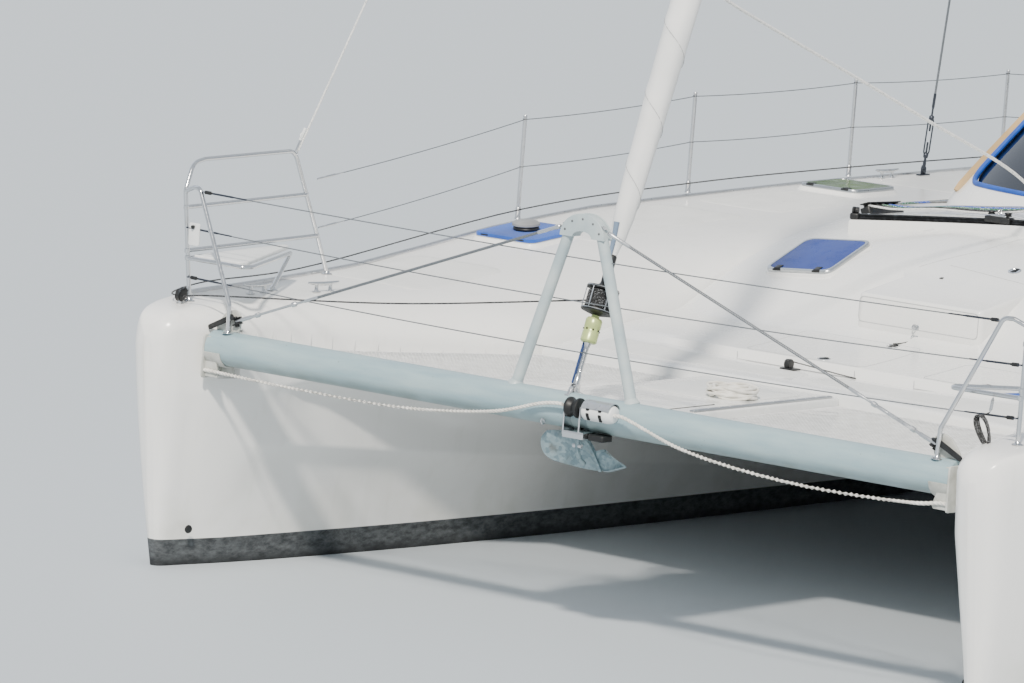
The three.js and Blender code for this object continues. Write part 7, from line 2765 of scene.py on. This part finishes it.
def cushion(name, side):
    """Piped bench cushion, blown up as cloth inside its box."""
    x0, x1, y0, y1, z0, z1 = -4.28, -3.58, 0.96, 1.48, 1.6 + GAP, 1.68
    work = bmesh.new()
    bmesh.ops.create_cube(work, size=1)
    for v in work.verts:
        v.co = Vector(((x0 + x1) / 2 + v.co.x * (x1 - x0 - 0.012),
                (y0 + y1) / 2 + v.co.y * (y1 - y0 - 0.012), (z0 + z1) / 2 + v.co.z * (z1 - z0 - 0.020)))
    data = bpy.data.meshes.new("cushion")
    work.to_mesh(data)
    work.free()
    obj = scratch(data)
    edge = obj.modifiers.new("edge", "BEVEL")
    edge.width, edge.segments = 0.012, 3
    grid = obj.modifiers.new("grid", "REMESH")
    grid.mode, grid.voxel_size = "VOXEL", 0.0065
    data = plain_mesh(obj)
    data = inflated(data, 0.006)
    for v in data.vertices:
        v.co = Vector((min(max(v.co.x, x0), x1), min(max(v.co.y, y0), y1), min(max(v.co.z, z0), z1 + 0.006)))
    data.materials.clear()
    data.materials.append(VINYL)
    if side < 0:
        data.transform(Matrix.Scale(-1, 4, (0, 1, 0)))
        data.flip_normals()
    pad = settle(smooth(data, 80), f"bench_cushion_{name}", "boat",
            (f"cockpit_cushion_{name}",))
    welt = panel(x0 + 0.004, x1 - 0.004, side * (y0 + 0.004), side * (y1 - 0.004), 0.016, 5)
    paths = [[(x, y, z) for x, y in [*welt, welt[0]]] for z in (z0 + 0.012, z1 - 0.012)]
    strands(f"cushion_piping_{name}", paths, 0.0036, BLUE_CANVAS, "boat")


def inflated(data, limit):
    """The mesh after a cloth run under pressure, no point moved further than the limit."""
    start = [v.co.copy() for v in data.vertices]
    obj = scratch(data)
    cloth = obj.modifiers.new("cloth", "CLOTH")
    cloth.settings.use_pressure = True
    cloth.settings.uniform_pressure_force = 4
    cloth.settings.effector_weights.gravity = 0
    scene = bpy.context.scene
    for frame_number in range(1, 21):
        scene.frame_set(frame_number)
    result = plain_mesh(obj)
    for v, home in zip(result.vertices, start):
        step = v.co - home
        if step.length > limit:
            v.co = home + step.normalized() * limit
    scene.frame_set(1)
    obj = scratch(result)
    finer = obj.modifiers.new("finer", "SUBSURF")
    finer.levels = finer.render_levels = 1
    return plain_mesh(obj)


HELM_X, HELM_Y, HELM_Z, HELM_R = -4.08, 2.33, 2.42, 0.38


def helm(name, side):
    """Console with its instruments and throttle, and a stainless wheel with a stitched rim."""
    base = straight(HELM_X + 0.24, "deck") + 0.0023 + GAP
    shape = Shape()
    side_plan = rounded([(-4.04, base), (-3.84, base), (-3.84, 2.40), (-3.90, 2.52), (-4.01, 2.52),
            (-4.04, 2.48)], [0.004, 0.004, 0.05, 0.04, 0.02, 0.02], 6)
    shape.add(placed(slab(side_plan, HELM_Y - 0.13, HELM_Y + 0.13, 0.014, 4), TO_SIDE), 0)
    shape.add(rod((HELM_X + 0.05, HELM_Y, HELM_Z), (HELM_X - 0.06, HELM_Y, HELM_Z), 0.0158, 24), 1)
    shape.add(turned([(0.02, 0), (0.044, 0.001), (0.046, 0.006), (0.036, 0.012), (0.022, 0.014)], 28), 1,
            toward((-4.041, HELM_Y, HELM_Z), (-5, HELM_Y, HELM_Z)))
    top = toward((-3.955, HELM_Y, 2.512), (-3.955, HELM_Y, 3))
    shape.add(turned([(0.02, 0), (0.056, 0.0), (0.058, 0.008), (0.050, 0.016), (0.046, 0.012),
            (0.010, 0.012)], 32), 2, top)
    shape.add(turned([(0.044, 0.010), (0.044, 0.014), (0.036, 0.034), (0.020, 0.046), (0.004, 0.05)], 32), 4,
            top)
    for y in (-0.075, 0.0, 0.075):
        place = toward((-4.0405, HELM_Y + y, 2.30), (-5, HELM_Y + y, 2.30))
        shape.add(slab(panel(-0.032, 0.032, -0.032, 0.032, 0.008, 4), -0.002, 0.006, 0.002), 2, place)
        shape.add(slab(panel(-0.026, 0.026, -0.022, 0.022, 0.004, 3), 0.005, 0.0066, 0.0005), 3, place)
    if side > 0:
        shape.add(box(-3.99, -3.89, HELM_Y + 0.128, HELM_Y + 0.150, 2.33, 2.43, 0.008, 0.02), 2)
        shape.add(tube(bent([(-3.94, HELM_Y + 0.150, 2.38), (-3.94, HELM_Y + 0.172, 2.38),
                (-3.93, HELM_Y + 0.174, 2.50)], 0.01, 4), 0.007, 12), 1)
        shape.add(turned([(0.004, 0), (0.013, 0.004), (0.015, 0.014), (0.012, 0.024), (0.004, 0.028)], 20),
                2, at(-3.93, HELM_Y + 0.174, 2.49))
    shape.mirrored(side).piece(f"helm_binnacle_{name}", [GELCOAT, STEEL, ACETAL, SCREEN, SMOKED_DOME],
            "boat", "gelcoat", (f"helm_console_{name}",))
    wheel = Shape()
    wheel.add(ring_form(HELM_R - 0.015, 0.0150, 96, 16), 0)
    hub = [(0.0172, -0.025), (0.040, -0.025), (0.045, -0.021), (0.045, 0.021), (0.040, 0.025),
            (0.0172, 0.025)]
    wheel.add(bored(hub, 32), 1)
    for k in range(5):
        a = k / 5 * 2 * math.pi + math.pi / 2
        spoke = [(r * math.cos(a), r * math.sin(a), 0) for r in (0.040, 0.2, 0.362)]
        wheel.add(tube(spoke, 0.0088, 14), 1)
    place = Matrix.Translation((HELM_X - 0.012, side * HELM_Y, HELM_Z)) @ Matrix.Rotation(math.pi / 2, 4, "Y")
    wheel.points = [place @ p for p in wheel.points]
    wheel.piece(f"wheel_{name}", [BLACK_LEATHER, STEEL], f"helm_wheel_{name}", "stainless",
            (f"helm_wheel_{name}",))
    knot = Shape().add(ring_form(0.0155, 0.0028, 20, 8), 0, place @ at(0, HELM_R - 0.015, 0)
            @ Matrix.Rotation(math.pi / 2, 4, "Y"))
    knot.piece(f"king_spoke_mark_{name}", [WHITE_LINE], f"helm_wheel_{name}", "rope")


def rudder(name, side):
    """Rudder blade and its stock."""
    shape = Shape()
    shape.add(foil(((-1.0, -5.225, -5.515, 0.030), (-0.992, -5.20, -5.535, 0.040),
            (-0.9, -5.14, -5.58, 0.062), (-0.6, -5.125, -5.593, 0.070), (-0.345, -5.12, -5.60,
            0.075)), HULL_Y, 18))
    shape.add(rod((RUDDER_X, HULL_Y, -0.5), (RUDDER_X, HULL_Y, 0.059), 0.030, 24), 1)
    shape.mirrored(side).piece(f"rudder_blade_{name}", [ANTIFOUL, STEEL], f"rudder_{name}", "antifouling",
            (f"rudder_{name}",))


def saildrive(name, side):
    """Saildrive leg with its gearcase, intake grid and anode."""
    shape = Shape()
    shape.add(foil(((-0.86, -4.42, -4.56, 0.055), (-0.6, -4.40, -4.585, 0.064),
            (-0.45, -4.385, -4.598, 0.068)), HULL_Y, 18))
    case = [(0.008, 0), (0.022, 0.006), (0.034, 0.022), (0.039, 0.05), (0.044, 0.12), (0.047, 0.20),
            (0.048, 0.236), (0.044, 0.24)]
    shape.add(turned(case, 32), 0, toward((-4.370, HULL_Y, LEG_Z), (-5, HULL_Y, LEG_Z)))
    shape.add(solid([[Vector((x, HULL_Y + y, z)) for x, y in rounded([(-4.375, -0.012), (-4.375, 0.012),
            (-4.60, 0.012), (-4.60, -0.012)], 0.01, 3)] for z in (-0.898, -0.83)]), 0)
    shape.add(rod((-4.58, HULL_Y, LEG_Z), (-4.685, HULL_Y, LEG_Z), 0.0148, 20), 1)
    for k in range(5):
        z = -0.62 + 0.022 * k
        for s in (1, -1):
            shape.add(box(-4.455, -4.42, HULL_Y + s * 0.026, HULL_Y + s * 0.0335, z - 0.004, z + 0.004,
                    0.001), 1)
    shape.mirrored(side).piece(f"saildrive_leg_{name}", [CAST_GREY, STEEL], "boat", "cast_leg",
            (f"saildrive_{name}",))
    screw = Shape()
    hub = [(0.0163, -0.035), (0.040, -0.034), (0.044, -0.028), (0.040, 0.0), (0.034, 0.026), (0.030, 0.028),
            (0.0163, 0.028)]
    screw.add(bored(hub, 32), 0)
    for k in range(3):
        rings = []
        for j in range(11):
            t = j / 10
            r = 0.030 + 0.166 * t
            tip = 0.022 * max(0, t - 0.85) / 0.15
            width = 0.020 + 0.030 * math.sin(math.pi * min(1, 0.15 + 0.85 * t)) ** 0.7 - tip
            pitch = 0.95 - 0.55 * t
            thick = 0.0045 - 0.0030 * t
            ring = []
            for i in range(16):
                a = 2 * math.pi * i / 16
                u, w = width * math.cos(a), thick * math.sin(a)
                ring.append(Vector((u * math.cos(pitch) * 1.0 - w * math.sin(pitch), r,
                        u * math.sin(pitch) * 0.5 + w * math.cos(pitch))))
            rings.append(ring)
        screw.add(solid(rings), 0, Matrix.Rotation(2 * math.pi / 3 * k, 4, "Z"))
    place = Matrix.Translation((-4.6455, side * HULL_Y, LEG_Z)) @ Matrix.Rotation(-math.pi / 2, 4, "Y")
    screw.points = [place @ p for p in screw.points]
    screw.piece(f"screw_{name}", [BRONZE], f"propeller_{name}", "bronze", (f"propeller_{name}",))


def engine(name, side):
    """Auxiliary diesel in its bay: block, rocker cover, filters and belt guard inside the frame's box."""
    x0, x1, y0, y1, z0 = -4.88, -4.55, HULL_Y - 0.19, HULL_Y + 0.19, 0.12 + GAP
    shape = Shape()
    shape.add(box(x0 + 0.01, x1 - 0.01, y0 + 0.05, y1 - 0.05, z0 + 0.06, 0.50, 0.015, 0.03))
    shape.add(box(x0 + 0.03, x1 - 0.03, y0 + 0.09, y1 - 0.09, 0.495, 0.66, 0.025, 0.03))
    shape.add(box(x0, x1, y0, y0 + 0.045, z0, z0 + 0.06, 0.004), 1)
    shape.add(box(x0, x1, y1 - 0.045, y1, z0, z0 + 0.06, 0.004), 1)
    shape.add(turned([(0.02, 0), (0.07, 0.002), (0.075, 0.02), (0.07, 0.05), (0.02, 0.052)], 28), 1,
            toward((x1 - 0.055, HULL_Y, 0.38), (x1 + 1, HULL_Y, 0.38)))
    shape.add(rod((x0 + 0.1, y1 - 0.04, 0.33), (x0 + 0.1, y1 - 0.002, 0.33), 0.04, 20), 1)
    shape.add(rod((x0 + 0.1, HULL_Y, 0.65), (x0 + 0.1, HULL_Y, 0.719), 0.028, 20), 1)
    for k in range(3):
        shape.add(rod((x0 + 0.08 + 0.07 * k, y0 + 0.055, 0.44), (x0 + 0.08 + 0.07 * k, y0 + 0.01, 0.47),
                0.014, 12), 1)
    shape.mirrored(side).piece(f"diesel_{name}", [ENGINE_GREEN, ACETAL], "boat", "engine_block",
            (f"engine_{name}",))
    lid = Shape()
    a, b, c, d = -4.96, -4.47, HULL_Y - 0.29, HULL_Y + 0.29
    lid.add(slab(panel(a, b, c, d, 0.045, 6), SOLE_Z + GAP, SOLE_Z + 0.0375, 0.012, 4), 0)
    lid.add(slab(panel(a + 0.05, b - 0.05, c + 0.05, d - 0.05, 0.03, 5), SOLE_Z + 0.03, SOLE_Z + 0.0385,
            0.001, 2), 1)
    lid.add(slab(panel(b - 0.045, b - 0.015, HULL_Y - 0.05, HULL_Y + 0.05, 0.012, 4), SOLE_Z + 0.03,
            SOLE_Z + 0.0398, 0.001, 2), 2)
    lid.mirrored(side).piece(f"engine_hatch_{name}", [GELCOAT, NONSKID, STEEL], f"engine_lid_{name}",
            "gelcoat", (f"engine_lid_{name}",))


hardtop()
saloon_door()
saloon()
for NAME, SIDE in SIDES:
    cushion(NAME, SIDE)
    helm(NAME, SIDE)
    rudder(NAME, SIDE)
    saildrive(NAME, SIDE)
    engine(NAME, SIDE)
